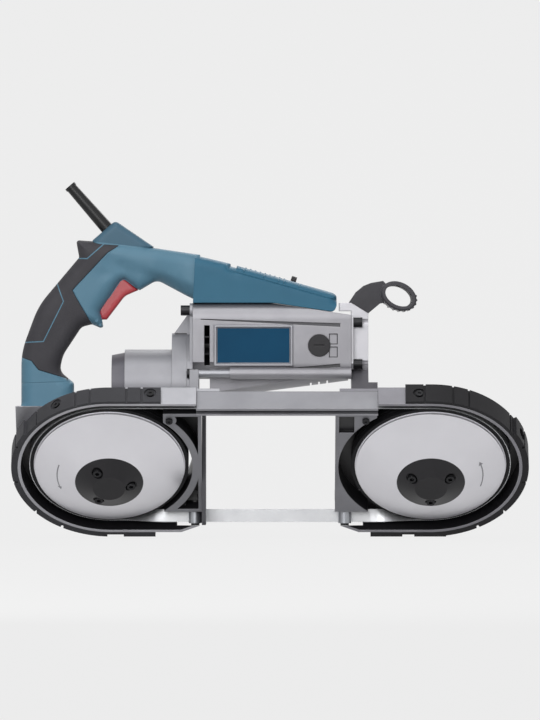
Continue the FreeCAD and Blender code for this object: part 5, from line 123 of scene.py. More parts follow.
def add_node(tree: NodeTree, kind: str, inputs: dict | None = None, **settings) -> Node:
    """Adds a node to a tree.

    Args:
        tree: Tree that gets the node.
        kind: The node's type name.
        inputs: What its inputs get, as fill takes them.
        settings: The node's own properties.

    Returns:
        The new node.
    """
    node = tree.nodes.new(kind)
    for name, value in settings.items():
        setattr(node, name, value)
    fill(tree, node, inputs or {})
    return node


def turned(tree: NodeTree, place: NodeSocket, centre: Triple,
           turn: Triple) -> Node:
    """Moves Object coordinates to a centre and turns them.

    Args:
        tree: The material's tree.
        place: Object coordinates.
        centre: Metres of the new centre.
        turn: Euler turn of the new axes.

    Returns:
        Node with the turned coordinates.
    """
    return add_node(tree, "ShaderNodeMapping", {"Vector": place, "Location": centre, "Rotation": turn},
                    vector_type="TEXTURE")


class Texture(Enum):
    """How a surface was made, which sets the pattern that shows on it."""

    CAST = "cast"
    SPUN = "spun"
    GROUND = "ground"
    MOULDED = "moulded"
    PEBBLED = "pebbled"
    WOUND = "wound"
    PRINTED = "printed"


@dataclass(frozen=True)
class LoopFrame:
    """Tilted plane that both wheels and the blade lie in."""

    origin: Triple = (0.0, -19.86 + MIDDLE_Y, 77.78)
    tilt: float = 45.0

    def point(self, x: float, a: float, b: float) -> Vector:
        """Places a point of the loop in the saw.

        Args:
            x: Millimetres along the saw.
            a: Millimetres up the plane.
            b: Millimetres out of the plane, towards the viewer.

        Returns:
            The point in metres.
        """
        turn = math.radians(self.tilt)
        up = Vector((0, -math.sin(turn), math.cos(turn)))
        out = Vector((0, -math.cos(turn), -math.sin(turn)))
        return (Vector(self.origin) + Vector((x, 0, 0)) + up * a + out * b) * MM

    def axis(self) -> Vector:
        """Gives the way along the wheels' axis, towards the viewer."""
        return (self.point(0, 0, 1) - self.point(0, 0, 0)) / MM

    def turn(self) -> Triple:
        """Gives the Euler turn whose Z axis is the wheels' axis."""
        return (math.radians(90 + self.tilt), 0.0, 0.0)


LOOP = LoopFrame()


@dataclass(frozen=True)
class Zone:
    """Part of a casting or shell drawn in another colour; some zones are its own colours and some are
    painted shade. Lengths are millimetres.

    Low and high bound it on three axes, and radius also keeps it round a wheel, on the side away from
    the throat. Centre is in metres.
    """

    colour: str
    low: Triple
    high: Triple
    centre: Triple = (0.0, 0.0, 0.0)
    turn: Triple = (0.0, 0.0, 0.0)
    radius: float = 0.0
    side: int = 1
    metallic: float = 0.0

    def mask(self, tree: NodeTree, place: NodeSocket) -> Node:
        """Draws the zone as 1 inside and 0 outside.

        Args:
            tree: The material's tree.
            place: Object coordinates.

        Returns:
            Node with the mask.
        """
        add = functools.partial(add_node, tree)
        local = turned(tree, place, self.centre, self.turn)
        axes = add("ShaderNodeSeparateXYZ", {0: local}).outputs
        tests = []
        for axis, low, high in zip(axes, self.low, self.high):
            bounds = {0: axis, 1: (low + high) / 2 * MM, 2: (high - low) / 2 * MM}
            tests.append(add("ShaderNodeMath", bounds, operation="COMPARE"))
        if self.radius:
            out = add("ShaderNodeMath", {0: axes[0], 1: self.side}, operation="MULTIPLY")
            out = add("ShaderNodeMath", {0: out, 1: 0.0}, operation="MAXIMUM")
            flat = add("ShaderNodeCombineXYZ", {0: out, 1: axes[1]})
            away = add("ShaderNodeVectorMath", {0: flat}, operation="LENGTH").outputs["Value"]
            bounds = {0: away, 1: self.radius * MM}
            tests.append(add("ShaderNodeMath", bounds, operation="LESS_THAN"))
        found = tests[0]
        for test in tests[1:]:
            found = add("ShaderNodeMath", {0: found, 1: test}, operation="MULTIPLY")
        return found


# Values between which a cloud goes from the finish's colour to its drift.
CLOUD_LOW, CLOUD_HIGH = 0.35, 0.65
# How squarely the softened normal meets the flat one where edge wear starts, and where it is full.
WEAR_START, WEAR_FULL = 0.985, 0.80
# Cloud values between which the wear goes from its least share to whole.
SCUFF_LOW, SCUFF_HIGH, SCUFF_LEAST = 0.3, 0.6, 0.35
BUMP_STRENGTH = 0.8


@dataclass(frozen=True)
class Finish:
    """One real material with the surface its making leaves.

    Lengths are millimetres; edge is the small radius that every real edge has. Centre is in metres.
    """

    name: str
    slot: str
    colour: str
    drift: str
    worn: str
    texture: Texture
    metallic: float = 0.0
    roughness: float = 0.5
    spread: float = 0.08
    grain: float = 0.8
    depth: float = 0.05
    cloud: float = 40.0
    edge: float = 0.8
    wear: float = 0.5
    coat: float = 0.0
    specular: float = 0.5
    lathe_lines: float = 0.0
    zones: tuple[Zone, ...] = ()
    centre: Triple = (0.0, 0.0, 0.0)
    turn: Triple = (0.0, 0.0, 0.0)

    def again(self, name: str, colour: str, drift: str, worn: str, **changes) -> "Finish":
        """Gives the same material in another shade.

        Args:
            name: Name of the new finish.
            colour: Its colour.
            drift: Colour that it drifts to.
            worn: Colour of its worn edges.
            changes: Other values that differ.

        Returns:
            The new finish.
        """
        return replace(self, name=name, colour=colour, drift=drift, worn=worn, **changes)

    def pattern(self, tree: NodeTree, place: NodeSocket) -> NodeSocket:
        """Draws the surface's relief.

        Args:
            tree: The material's tree.
            place: Object coordinates.

        Returns:
            Socket with the relief's height from 0 to 1.
        """
        add = functools.partial(add_node, tree)
        if self.texture in (Texture.SPUN, Texture.WOUND, Texture.GROUND):
            kind = "RINGS" if self.texture is Texture.SPUN else "BANDS"
            wave = add("ShaderNodeTexWave",
                       {"Vector": turned(tree, place, self.centre, self.turn), "Distortion": 0.6,
                        "Scale": per_pitch(self.grain), "Detail": 2.0, "Detail Scale": 3.0},
                       wave_type=kind, rings_direction="Z", bands_direction="Z")
            return wave.outputs["Fac"]
        if self.texture is Texture.PEBBLED:
            cells = add("ShaderNodeTexVoronoi", {"Vector": place, "Scale": per_size(self.grain)},
                        feature="SMOOTH_F1")
            return cells.outputs["Distance"]
        noise = add("ShaderNodeTexNoise",
                    {"Vector": place, "Scale": per_size(self.grain), "Detail": 4.0, "Roughness": 0.6})
        return noise.outputs["Fac"]

    def material(self) -> Material:
        """Builds the finish as a procedural material.

        Returns:
            The material.
        """
        made = bpy.data.materials.new(self.name)
        made.use_nodes = True
        tree = made.node_tree
        add = functools.partial(add_node, tree)
        shader = tree.nodes["Principled BSDF"]
        place = add("ShaderNodeTexCoord").outputs["Object"]
        relief = self.pattern(tree, place)
        # Slow clouds that keep a wide face from being one flat tone.
        cloud = add("ShaderNodeTexNoise",
                    {"Vector": place, "Scale": per_size(self.cloud), "Detail": 3.0, "Roughness": 0.55})
        tone = add("ShaderNodeMapRange", {"Value": cloud, "From Min": CLOUD_LOW, "From Max": CLOUD_HIGH})
        body = add("ShaderNodeMix", {"Factor": tone, "A": linear(self.colour),
                                     "B": linear(self.drift)}, data_type="RGBA")
        # A small radius on every edge, paler where handling has rubbed it.
        soft = add("ShaderNodeBevel", {"Radius": self.edge * MM}, samples=6)
        flat = add("ShaderNodeNewGeometry").outputs["Normal"]
        facing = add("ShaderNodeVectorMath", {0: soft, 1: flat}, operation="DOT_PRODUCT")
        rim = add("ShaderNodeMapRange",
                  {"Value": facing.outputs["Value"], "From Min": WEAR_START, "From Max": WEAR_FULL,
                   "To Min": 0.0, "To Max": self.wear})
        scuff = add("ShaderNodeMapRange",
                    {"Value": cloud, "From Min": SCUFF_LOW, "From Max": SCUFF_HIGH,
                     "To Min": SCUFF_LEAST, "To Max": 1.0})
        rubbed = add("ShaderNodeMath", {0: rim, 1: scuff}, operation="MULTIPLY")
        shade = add("ShaderNodeMix", {"Factor": rubbed, "A": body.outputs["Result"],
                                      "B": linear(self.worn)}, data_type="RGBA").outputs["Result"]
        # The grain breaks up the shine as well as the surface.
        rough = add("ShaderNodeMapRange",
                    {"Value": relief, "To Min": self.roughness - self.spread,
                     "To Max": self.roughness + self.spread})
        bump = add("ShaderNodeBump", {"Height": relief, "Distance": self.depth * MM,
                                      "Strength": BUMP_STRENGTH, "Normal": soft})
        metal = self.metallic
        # Zones lay another colour over parts, some of them painted shade.
        for zone in self.zones:
            mask = zone.mask(tree, place)
            shade = add("ShaderNodeMix", {"Factor": mask, "A": shade, "B": linear(zone.colour)},
                        data_type="RGBA").outputs["Result"]
            metal = add("ShaderNodeMapRange", {"Value": mask, "To Min": metal, "To Max": zone.metallic})
        fill(tree, shader, {"Base Color": shade, "Roughness": rough, "Normal": bump, "Metallic": metal,
                            "Coat Weight": self.coat, "Specular IOR Level": self.specular})
        if self.lathe_lines:
            # Turning marks stretch the highlights across the disc.
            spoke = add("ShaderNodeVectorMath", {0: place, 1: self.centre}, operation="SUBTRACT")
            ring = add("ShaderNodeVectorMath", {0: LOOP.axis(), 1: spoke}, operation="CROSS_PRODUCT")
            fill(tree, shader, {"Tangent": ring, "Anisotropic": self.lathe_lines})
        return made


# Shot-blasted die-cast aluminium: pale, satin, with a fine blasted grain; the floors of its two side grooves
# are painted dark grey as painted shade.
MOTOR_CASTING = Finish("aluminium_die_cast_blasted", "motor_alloy", "#8f8e93", "#98979c", "#ccccd0",
                       Texture.CAST, metallic=0.35, roughness=0.40, grain=0.9, edge=0.9, wear=0.6,
                       # Painted shade: the floors of the upper and lower side grooves, drawn as dark grey
                       # zones.
                       zones=(Zone("#56555a", (-69.5, -34.9, -2.7), (69.5, 34.9, 2.7),
                                   (0.0004, MIDDLE_Y * MM, 0.2149), (0.0, math.radians(2.4), 0.0)),
                              Zone("#444347", (-54.5, -34.9, -2.1), (54.5, 34.9, 2.1),
                                   (0.0155, MIDDLE_Y * MM, 0.1682), (0.0, math.radians(-4.4), 0.0))))
# Sand-cast aluminium left as cast: greyer and rougher than the motor.
GEAR_CASTING = Finish("aluminium_sand_cast", "alloy", "#8f8f94", "#99999e", "#c4c4c8", Texture.CAST,
                      metallic=0.35, roughness=0.44, grain=1.4, depth=0.10)
# The same casting in a darker grey, on the gear case's end cap.
CAP_CASTING = GEAR_CASTING.again("aluminium_cast_darker", "#5b5a61", "#646369", "#9c9ca1", roughness=0.46)
# The bracket in front of the motor, trimmed bright; its lower part is painted dark grey as painted shadow.
BRACKET_CASTING = GEAR_CASTING.again("aluminium_cast_bright", "#bfbec3", "#c7c6cb", "#e2e2e5", metallic=0.4,
                                     roughness=0.38, grain=1.0, depth=0.06, edge=0.9,
                                     # Painted shadow: the bracket's foot, 100 to 174 mm up, is coloured dark
                                     # grey.
                                     zones=(Zone("#626166", (-300, -200, 100), (300, 200, 174),
                                                 metallic=0.3),))
# Cast aluminium under a grey lacquer, for the beam.
GREY_CASTING = Finish("aluminium_cast_grey_lacquer", "grey_alloy", "#8d8d92", "#97979c", "#bcbcc1",
                      Texture.CAST, metallic=0.5, roughness=0.42, grain=1.2, depth=0.07, edge=0.7)
# Rolled aluminium trim round the plate: fine straight lines.
PLATE_TRIM = Finish("aluminium_rolled_trim", "alloy", "#8a8a8f", "#929297", "#b4b4b8", Texture.GROUND,
                    metallic=0.5, roughness=0.36, depth=0.02, edge=0.3)
# Zinc-plated steel of screws, axles and gears: bright and slightly blue.
PLATED_STEEL = Finish("steel_zinc_plated", "steel", "#97999e", "#a5a8ac", "#ced0d4", Texture.CAST,
                      metallic=0.9, roughness=0.32, grain=0.6, depth=0.02, edge=0.3, wear=0.4, cloud=12)
# Hardened strip steel: fine straight lines from grinding.
BLADE_STEEL = Finish("steel_ground_strip", "blade_steel", "#c0c1c4", "#cbccce", "#e6e6e8", Texture.GROUND,
                     metallic=0.7, roughness=0.34, grain=0.9, depth=0.01, edge=0.15, cloud=25)
# Powder-coated steel of the work stop and lever: dark with a fine orange-peel skin.
DARK_STEEL = Finish("steel_powder_coated", "dark_steel", "#47474b", "#505054", "#7c7c80", Texture.PEBBLED,
                    metallic=0.2, roughness=0.48, grain=0.9, depth=0.06, edge=0.6, specular=0.3)
# Oil-blackened steel of the socket screws: near black with bright rubbed edges.
BLACK_STEEL = Finish("steel_oil_blackened", "black_steel", "#1b1b1d", "#232326", "#5a5a5e", Texture.CAST,
                     metallic=0.6, roughness=0.38, grain=0.5, depth=0.02, edge=0.35, wear=0.6, cloud=10)
# Moulded nitrile rubber: matt, faintly stippled, greyer along its edges.
BUMPER_RUBBER = Finish("rubber_nitrile_moulded", "rubber", "#39393c", "#414145", "#6a6a6e", Texture.MOULDED,
                       roughness=0.60, grain=0.9, depth=0.06, edge=0.9, specular=0.25)
# The same rubber in a blacker mix for the right end.
END_RUBBER = BUMPER_RUBBER.again("rubber_nitrile_black", "#161518", "#1c1b1e", "#434347", roughness=0.55)
# Tyre rubber: black and dull.
TYRE_RUBBER = Finish("rubber_tyre_black", "rubber", "#161618", "#1d1d1f", "#333336", Texture.MOULDED,
                     roughness=0.62, grain=0.7, edge=0.4, wear=0.4, specular=0.2)
# Rubber of the cord sleeve: smooth and a little shiny.
SLEEVE_RUBBER = Finish("rubber_sleeve_smooth", "rubber", "#0e0e10", "#131315", "#333337", Texture.MOULDED,
                       roughness=0.34, grain=0.9, depth=0.03, edge=0.5, wear=0.3, specular=0.35)
# Thermoplastic elastomer skin: soft black with a pebbled grain.
SOFT_GRIP = Finish("elastomer_pebbled", "soft_grip", "#3d3c40", "#454448", "#5e5e62", Texture.PEBBLED,
                   roughness=0.62, grain=1.3, depth=0.12, wear=0.3, specular=0.2)
# Glass-filled nylon in blue, spark-eroded: a fine even grain with a low sheen; the collar is painted a
# darker blue as painted shade.
BLUE_NYLON = Finish("nylon_blue_spark_eroded", "blue_plastic", "#567e93", "#5b8398", "#8badbd",
                    Texture.MOULDED, roughness=0.46, grain=0.7, wear=0.3, specular=0.3,
                    # Painted shade: the collar's down-turned side, in a darker blue.
                    zones=(Zone("#446578", (-22, -60, 0.6), (60, 60, 40),
                                (-0.1705, MIDDLE_Y * MM, 0.2946), (0.0, math.radians(6.65), 0.0)),))
# The motor cover is the same nylon painted a deeper blue as painted shade: a shaded copy of the handle's
# blue.
COVER_NYLON = BLUE_NYLON.again("nylon_blue_painted_shade_spark_eroded", "#2c627c", "#306781", "#5a879b", zones=())
# Black nylon mouldings: hubs, brush caps, dial, fan.
BLACK_NYLON = Finish("nylon_black_moulded", "black_plastic", "#1f1e21", "#262528", "#535256",
                     Texture.MOULDED, roughness=0.40, grain=0.7, edge=0.6, wear=0.45, specular=0.3)
# Greyer nylon of the front handle, scuffed by the hand.
GREY_NYLON = BLACK_NYLON.again("nylon_dark_grey_moulded", "#3c3b3f", "#444348", "#6b6a6f",
                               roughness=0.46, grain=0.8, edge=0.9)
# The same nylon where fingers have polished the ribs grey.
WORN_NYLON = BLACK_NYLON.again("nylon_polished_ribs", "#5c5b60", "#66656a", "#8a898e",
                               roughness=0.36, grain=0.8, depth=0.03, wear=0.4)
# Shallow engraving in spun aluminium, a shade darker than the disc.
ENGRAVING = Finish("aluminium_engraved", "wheel_alloy", "#8f8e93", "#98979c", "#b0b0b4", Texture.CAST,
                   metallic=0.5, grain=0.6, depth=0.02, edge=0.1, wear=0.2)
# Polyoxymethylene trigger: glossy red.
RED_ACETAL = Finish("acetal_red_moulded", "red_plastic", "#ab353c", "#b33b42", "#cf6a70", Texture.MOULDED,
                    roughness=0.34, depth=0.03, edge=0.7, wear=0.4, coat=0.2, specular=0.4)
# Enamelled copper wire of the windings: shiny turns side by side.
COPPER_WIRE = Finish("copper_enamelled_wound", "copper", "#a8693a", "#b87844", "#d79a63", Texture.WOUND,
                     metallic=0.85, roughness=0.34, grain=0.9, depth=0.20, edge=0.2, wear=0.2)
# Anodised aluminium plate printed blue, with a bare rim.
PLATE_ENAMEL = Finish("aluminium_plate_printed_blue", "plate_blue", "#0d405e", "#0f4463", "#a9acb0",
                      Texture.PRINTED, metallic=0.1, roughness=0.40, grain=0.5, depth=0.01, edge=0.35,
                      wear=0.9, specular=0.1)
# Near black inside the wheel trays and in the arms' pockets; the rims keep the casting's colour.
RECESS_BLACK = "#19181b"


def tray_finish(name: str, x: float, side: int) -> Finish:
    """Gives a wheel tray: sand-cast outside, near black inside its wall.

    Args:
        name: Name of the finish.
        x: Millimetres of the tray's axle along the saw.
        side: -1 for the left tray, 1 for the right.

    Returns:
        The finish.
    """
    inside_wall = Zone(RECESS_BLACK, (-300, -88.7, -12.3), (300, 88.7, 11.7), tuple(LOOP.point(x, 0, 0)),
                       LOOP.turn(), radius=88.8, side=side)
    # Painted shade: the right tray is the same casting in a darker grey for the shade it sits in; the left
    # keeps the paler grey.
    colour, drift = ("#a4a4a9", "#b0b0b5") if side < 0 else ("#85848a", "#908f95")
    return GEAR_CASTING.again(name, colour, drift, "#d4d4d8", metallic=0.5, roughness=0.42, grain=1.3,
                              depth=0.08, wear=0.55, zones=(inside_wall,))


def arm_finish(name: str, floor: float) -> Finish:
    """Gives a guide arm: grey ribs round pockets coloured near black.

    Args:
        name: Name of the finish.
        floor: Millimetres out of the loop plane below which the pockets are near black.

    Returns:
        The finish.
    """
    pocket = Zone(RECESS_BLACK, (-300, -200, -11.9), (300, 200, floor), tuple(LOOP.point(0, 0, 0)), LOOP.turn())
    return GREY_CASTING.again(name, "#7b7b80", "#85858a", "#b4b4b8", zones=(pocket,))


def bolt_finish(left: float, right: float) -> Finish:
    """Gives the motor's bolts: oil-blackened heads and bright plated rods.

    Args:
        left: Millimetres along the saw where the bright rods begin.
        right: Where they end.

    Returns:
        The finish.
    """
    bare = Zone("#8f9095", (left, -200, 0), (right, 200, 400), metallic=0.6)
    return replace(BLACK_STEEL, name="steel_blackened_bright_rods", roughness=0.34, zones=(bare,))


def disc_finish(name: str, x: float) -> Finish:
    """Gives the spun aluminium of a wheel, ringed round its own axle.

    Args:
        name: Name of the finish.
        x: Millimetres of the axle along the saw.

    Returns:
        The finish.
    """
    return Finish(name, "wheel_alloy", "#dfdee3", "#e4e3e8", "#efeff2", Texture.SPUN, metallic=0.6,
                  roughness=0.36, spread=0.05, grain=1.1, depth=0.012, edge=0.6, cloud=60, lathe_lines=0.6,
                  centre=tuple(LOOP.point(x, 0, 0)), turn=LOOP.turn())


@functools.cache
def material_of(finish: Finish) -> Material:
    """Builds a finish once and gives the same material after that."""
    return finish.material()


def dress(finish: Finish, *nodes: str) -> None:
    """Gives CAD nodes their finish.

    Args:
        finish: The finish.
        nodes: The nodes' names.
    """
    for node in nodes:
        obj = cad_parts[node]
        for slot in obj.material_slots:
            slot.material = material_of(finish)
        if not obj.material_slots:
            obj.data.materials.append(material_of(finish))
        LOG.info("dressed %s in %s", node, finish.name)


def place_piece(name: str, mesh: Mesh, finish: Finish, body: str,
                *stands_for: str) -> Object:
    """Links a finished mesh as a piece of the saw.

    Args:
        name: The piece's name.
        mesh: Mesh in metres, already in place.
        finish: Its finish.
        body: Body that it rides on.
        stands_for: CAD nodes that it replaces.

    Returns:
        The new object.
    """
    obj = bpy.data.objects.new(name, mesh)
    bpy.context.scene.collection.objects.link(obj)
    mesh.materials.clear()
    mesh.materials.append(material_of(finish))
    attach(obj, body)
    if stands_for:
        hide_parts(*stands_for)
    LOG.info("placed %s on %s, %d faces", name, body, len(mesh.polygons))
    return obj


def to_mesh(name: str, bm: BMesh) -> Mesh:
    """Turns a bmesh into a smooth-shaded mesh with its sharp edges kept.

    Args:
        name: The mesh's name.
        bm: Source, freed here.

    Returns:
        The mesh.
    """
    mesh = bpy.data.meshes.new(name)
    bm.to_mesh(mesh)
    bm.free()
    mesh.shade_smooth()
    mesh.set_sharp_from_angle(angle=math.radians(SHARP))
    return mesh


def distance_to(points: np.ndarray, line: np.ndarray) -> np.ndarray:
    """Measures how far points are from a row of runs.

    Args:
        points: N points.
        line: M runs, each with its two ends.

    Returns:
        The N distances.
    """
    start, run = line[:, 0], line[:, 1] - line[:, 0]
    gap = points[:, None] - start[None]
    share = (gap * run).sum(-1) / np.maximum((run * run).sum(-1), TINY)
    gap = gap - np.clip(share, 0, 1)[..., None] * run
    return np.sqrt((gap ** 2).sum(-1)).min(1)


def runs_of(points: np.ndarray, closed: bool) -> np.ndarray:
    """Pairs the points of a line into runs.

    Args:
        points: The line's points.
        closed: Whether the last point joins the first.

    Returns:
        The runs, each with its two ends.
    """
    runs = np.stack([points, np.roll(points, -1, axis=0)], axis=1)
    return runs if closed else runs[:-1]


def inside(points: np.ndarray, loop: np.ndarray) -> np.ndarray:
    """Tells which points lie inside a closed loop.

    Args:
        points: N points.
        loop: The loop's points.

    Returns:
        N truths.
    """
    x, z = points[:, :1], points[:, 1:]
    start, end = loop, np.roll(loop, -1, axis=0)
    rise = end[:, 1] - start[:, 1]
    rise = np.where(abs(rise) < TINY, TINY, rise)
    crossing = start[:, 0] + (end[:, 0] - start[:, 0]) * (z - start[:, 1]) / rise
    hit = ((start[:, 1] > z) != (end[:, 1] > z)) & (x < crossing)
    return hit.sum(1) % 2 == 1


def divided(points: list[Vector], step: float, closed: bool) -> np.ndarray:
    """Divides the runs of a line so that none is longer than a step.

    Args:
        points: The line's points.
        step: Longest run in the result.
        closed: Whether the last point joins the first.

    Returns:
        The points of the divided line.
    """
    made = []
    for i, start in enumerate(points):
        if i == len(points) - 1 and not closed:
            made.append(start)
            break
        end = points[(i + 1) % len(points)]
        count = max(1, math.ceil((end - start).length / step))
        made += [start.lerp(end, k / count) for k in range(count)]
    return np.array([tuple(p) for p in made])


# Half angle in radians past which a corner counts as straight.
STRAIGHT = 1.56
# Most of a run that the curve at one of its ends may take up.
CURVE_SHARE = 0.49


def rounded(corners: tuple[Triple, ...], step: float) -> np.ndarray:
    """Draws a closed outline with rounded corners.

    Args:
        corners: X, Z and radius of each corner in millimetres, anticlockwise as the viewer sees it.
        step: Longest run in the result.

    Returns:
        The outline's points.
    """
    points = []
    for i, (x, z, radius) in enumerate(corners):
        here = Vector((x, z))
        before = Vector(corners[i - 1][:2]) - here
        after = Vector(corners[(i + 1) % len(corners)][:2]) - here
        half = before.angle(after) / 2
        if radius <= 0 or half > STRAIGHT:
            points.append(here)
            continue
        reach = min(radius / math.tan(half), CURVE_SHARE * before.length, CURVE_SHARE * after.length)
        start, end = here + before.normalized() * reach, here + after.normalized() * reach
        middle = here + (before.normalized() + after.normalized()).normalized() * (reach / math.cos(half))
        count = max(3, math.ceil((math.pi - 2 * half) * reach * math.tan(half) / step))
        for k in range(count + 1):
            way = (start - middle).slerp(end - middle, k / count).normalized()
            points.append(middle + way * (start - middle).length)
    return divided(points, step, True)


def edges_of(face: tuple[int, ...]) -> Iterator[tuple[int, int]]:
    """Gives the edges of a face in turn."""
    return zip(face, face[1:] + face[:1])


@dataclass(frozen=True)
class Crease:
    """Groove or hollow drawn along a moulding's side, in millimetres."""

    points: tuple[Point, ...]
    depth: float
    width: float


@dataclass
class Moulding:
    """Moulded shell seen from the side: a flat outline whose sides swell out and roll over at its edges.

    Lengths are millimetres. Widths are half widths at stations along the saw, reach is how far in from
    the edge the roll begins, and drop is how far the side falls over it. Edges inside a straight box
    are cut square. Margins keep loose points clear of grooves and wells.
    """

    corners: tuple[Triple, ...]
    widths: tuple[Point, ...]
    reach: float
    drop: float
    creases: tuple[Crease, ...] = ()
    swells: tuple[Crease, ...] = ()
    straight: tuple[Box, ...] = ()
    wells: tuple[Triple, ...] = ()
    slot: tuple[Point, ...] = ()
    slot_half: float = 8.9
    slot_depth: float = 9.0
    well_depth: float = 6.0
    well_sides: int = 20
    well_margin: float = 0.8
    well_touch: float = 0.3
    crease_margin: float = 0.9
    ring_turns: tuple[float, ...] = (15, 30, 45, 60, 75, 90)
    ring_keep: float = 0.97
    grid_steps: float = 1.6
    seam: float = 0.45
    step: float = 3.0
    places: np.ndarray = field(init=False)
    heights: np.ndarray = field(init=False)
    faces: list[tuple[int, int, int]] = field(init=False)

    def __post_init__(self) -> None:
        """Divides the side into triangles that follow its edges, grooves and wells, then gives it height."""
        loop = rounded(self.corners, self.step)
        points, edges, lines = [tuple(p) for p in loop], [], []
        for crease in self.creases:
            middle = divided([Vector(p) for p in crease.points], self.step, False)
            along = np.gradient(middle, axis=0)
            along /= np.linalg.norm(along, axis=1)[:, None]
            aside = np.stack([-along[:, 1], along[:, 0]], 1) * crease.width / 2
            for line in (middle, middle + aside, middle - aside):
                edges += [(len(points) + i, len(points) + i + 1) for i in range(len(line) - 1)]
                points += [tuple(p) for p in line]
            lines.append((crease, runs_of(middle, False)))
        for x, z, radius in self.wells:
            turns = [i * math.tau / self.well_sides for i in range(self.well_sides)]
            ring = range(len(points), len(points) + self.well_sides)
            edges += edges_of(tuple(ring))
            points += [(x + radius * math.cos(turn), z + radius * math.sin(turn)) for turn in turns]
        inner = np.concatenate([self.rings(loop), self.grid(loop)])
        for crease, runs in lines:
            inner = inner[distance_to(inner, runs) > crease.width * self.crease_margin]
        for x, z, radius in self.wells:
            inner = inner[np.hypot(inner[:, 0] - x, inner[:, 1] - z) > radius + self.well_margin]
        points += [tuple(p) for p in inner]
        outline = [list(range(len(loop)))]
        made = delaunay_2d_cdt([Vector(p) for p in points], edges, outline, 1, SAME_POINT)
        self.places = np.array([tuple(p) for p in made[0]])
        self.faces = [tuple(face) for face in made[2]]
        kept = inside(self.middles(), loop)
        self.faces = [face for face, keep in zip(self.faces, kept) if keep]
        self.raise_side(self.soft_runs(loop), lines)

    def half_at(self, x: np.ndarray) -> np.ndarray:
        """Gives the half width along the saw, eased between its stations.

        Args:
            x: Millimetres along the saw.

        Returns:
            The half widths.
        """
        stations = np.array(self.widths)
        share = np.interp(x, stations[:, 0], np.arange(len(stations)))
        low = np.floor(share).astype(int)
        high = np.minimum(low + 1, len(stations) - 1)
        part = eased(share - low)
        return stations[low, 1] * (1 - part) + stations[high, 1] * part

    def soft_runs(self, loop: np.ndarray) -> np.ndarray:
        """Gives the outline's runs that roll over, leaving out the straight-cut ones.

        Args:
            loop: The outline.

        Returns:
            The runs, each with its two ends.
        """
        runs = runs_of(loop, True)
        x, z = runs.mean(1).T
        cut = np.zeros(len(runs), bool)
        for left, low, right, high in self.straight:
            cut |= (x > left) & (x < right) & (z > low) & (z < high)
        return runs[~cut]

    def raise_side(self, soft: np.ndarray, lines: list[tuple[Crease, np.ndarray]]) -> None:
        """Gives each point its height over the seam.

        Args:
            soft: Runs of the outline that roll over.
            lines: Each groove with the runs of its middle.
        """
        share = np.clip(distance_to(self.places, soft) / self.reach, 0, 1)
        self.heights = self.half_at(self.places[:, 0]) - self.drop * (1 - np.sqrt(1 - (1 - share) ** 2))
        for crease, runs in lines:
            part = np.clip(1 - distance_to(self.places, runs) / (crease.width / 2), 0, 1)
            self.heights -= crease.depth * part
        for swell in self.swells:
            runs = runs_of(np.array(swell.points), False)
            part = np.clip(1 - distance_to(self.places, runs) / swell.width, 0, 1)
            self.heights -= swell.depth * eased(part)

    def rings(self, loop: np.ndarray) -> np.ndarray:
        """Sets points in from the outline, evenly round the rolled edge.

        Args:
            loop: The outline.

        Returns:
            The points.
        """
        along = np.roll(loop, -1, axis=0) - np.roll(loop, 1, axis=0)
        along /= np.linalg.norm(along, axis=1)[:, None]
        inward = np.stack([-along[:, 1], along[:, 0]], 1)
        made = []
        for degrees in self.ring_turns:
            gap = self.reach * (1 - math.cos(math.radians(degrees)))
            ring = loop + inward * gap
            away = distance_to(ring, runs_of(loop, True))
            made.append(ring[inside(ring, loop) & (away > gap * self.ring_keep)])
        return np.concatenate(made)

    def grid(self, loop: np.ndarray) -> np.ndarray:
        """Fills the side inside the rolled edge with an even grid.

        Args:
            loop: The outline.

        Returns:
            The points.
        """
        low, high = loop.min(0), loop.max(0)
        pitch = self.grid_steps * self.step
        xs, zs = np.meshgrid(np.arange(low[0], high[0], pitch), np.arange(low[1], high[1], pitch))
        made = np.stack([xs.ravel(), zs.ravel()], 1)
        away = distance_to(made, runs_of(loop, True))
        return made[inside(made, loop) & (away > self.reach + pitch / 2)]

    def middles(self) -> np.ndarray:
        """Gives the middle of each triangle in the side view."""
        return np.array([self.places[list(face)].mean(0) for face in self.faces])

    def borders(self, floor: np.ndarray) -> tuple[set[tuple[int, int]], dict[int, np.ndarray]]:
        """Finds the edges that only one raised triangle has.

        Args:
            floor: Which triangles are sunk as the floor of a well.

        Returns:
            The edges, and the way in from them at each of their points.
        """
        raised = [face for face, sunk in zip(self.faces, floor) if not sunk]
        uses = Counter(frozenset(edge) for face in raised for edge in edges_of(face))
        border = [edge for face in raised for edge in edges_of(face) if uses[frozenset(edge)] == 1]
        inward: dict[int, np.ndarray] = {}
        for edge in border:
            run = self.places[edge[1]] - self.places[edge[0]]
            aside = np.array([-run[1], run[0]]) / max(np.linalg.norm(run), TINY)
            for end in edge:
                inward[end] = inward.get(end, np.zeros(2)) + aside
        return set(border), {i: way / max(np.linalg.norm(way), TINY) for i, way in inward.items()}

    def add_side(self, bm: BMesh, side: int, picked: np.ndarray | None = None,
                 open_wells: bool = False) -> None:
        """Adds one half of the moulding to a mesh.

        Args:
            bm: Mesh that gets the half.
            side: 1 for the far half, -1 for the viewer's.
            picked: Which triangles belong to it, all if left out.
            open_wells: Whether the screw wells are open on this half.
        """
        floor = np.zeros(len(self.faces), bool)
        if open_wells:
            x_middle, z_middle = self.middles().T
            for x, z, radius in self.wells:
                floor |= np.hypot(x_middle - x, z_middle - z) < radius
        border, inward = self.borders(floor)
        corners: dict[Triple, BMVert] = {}

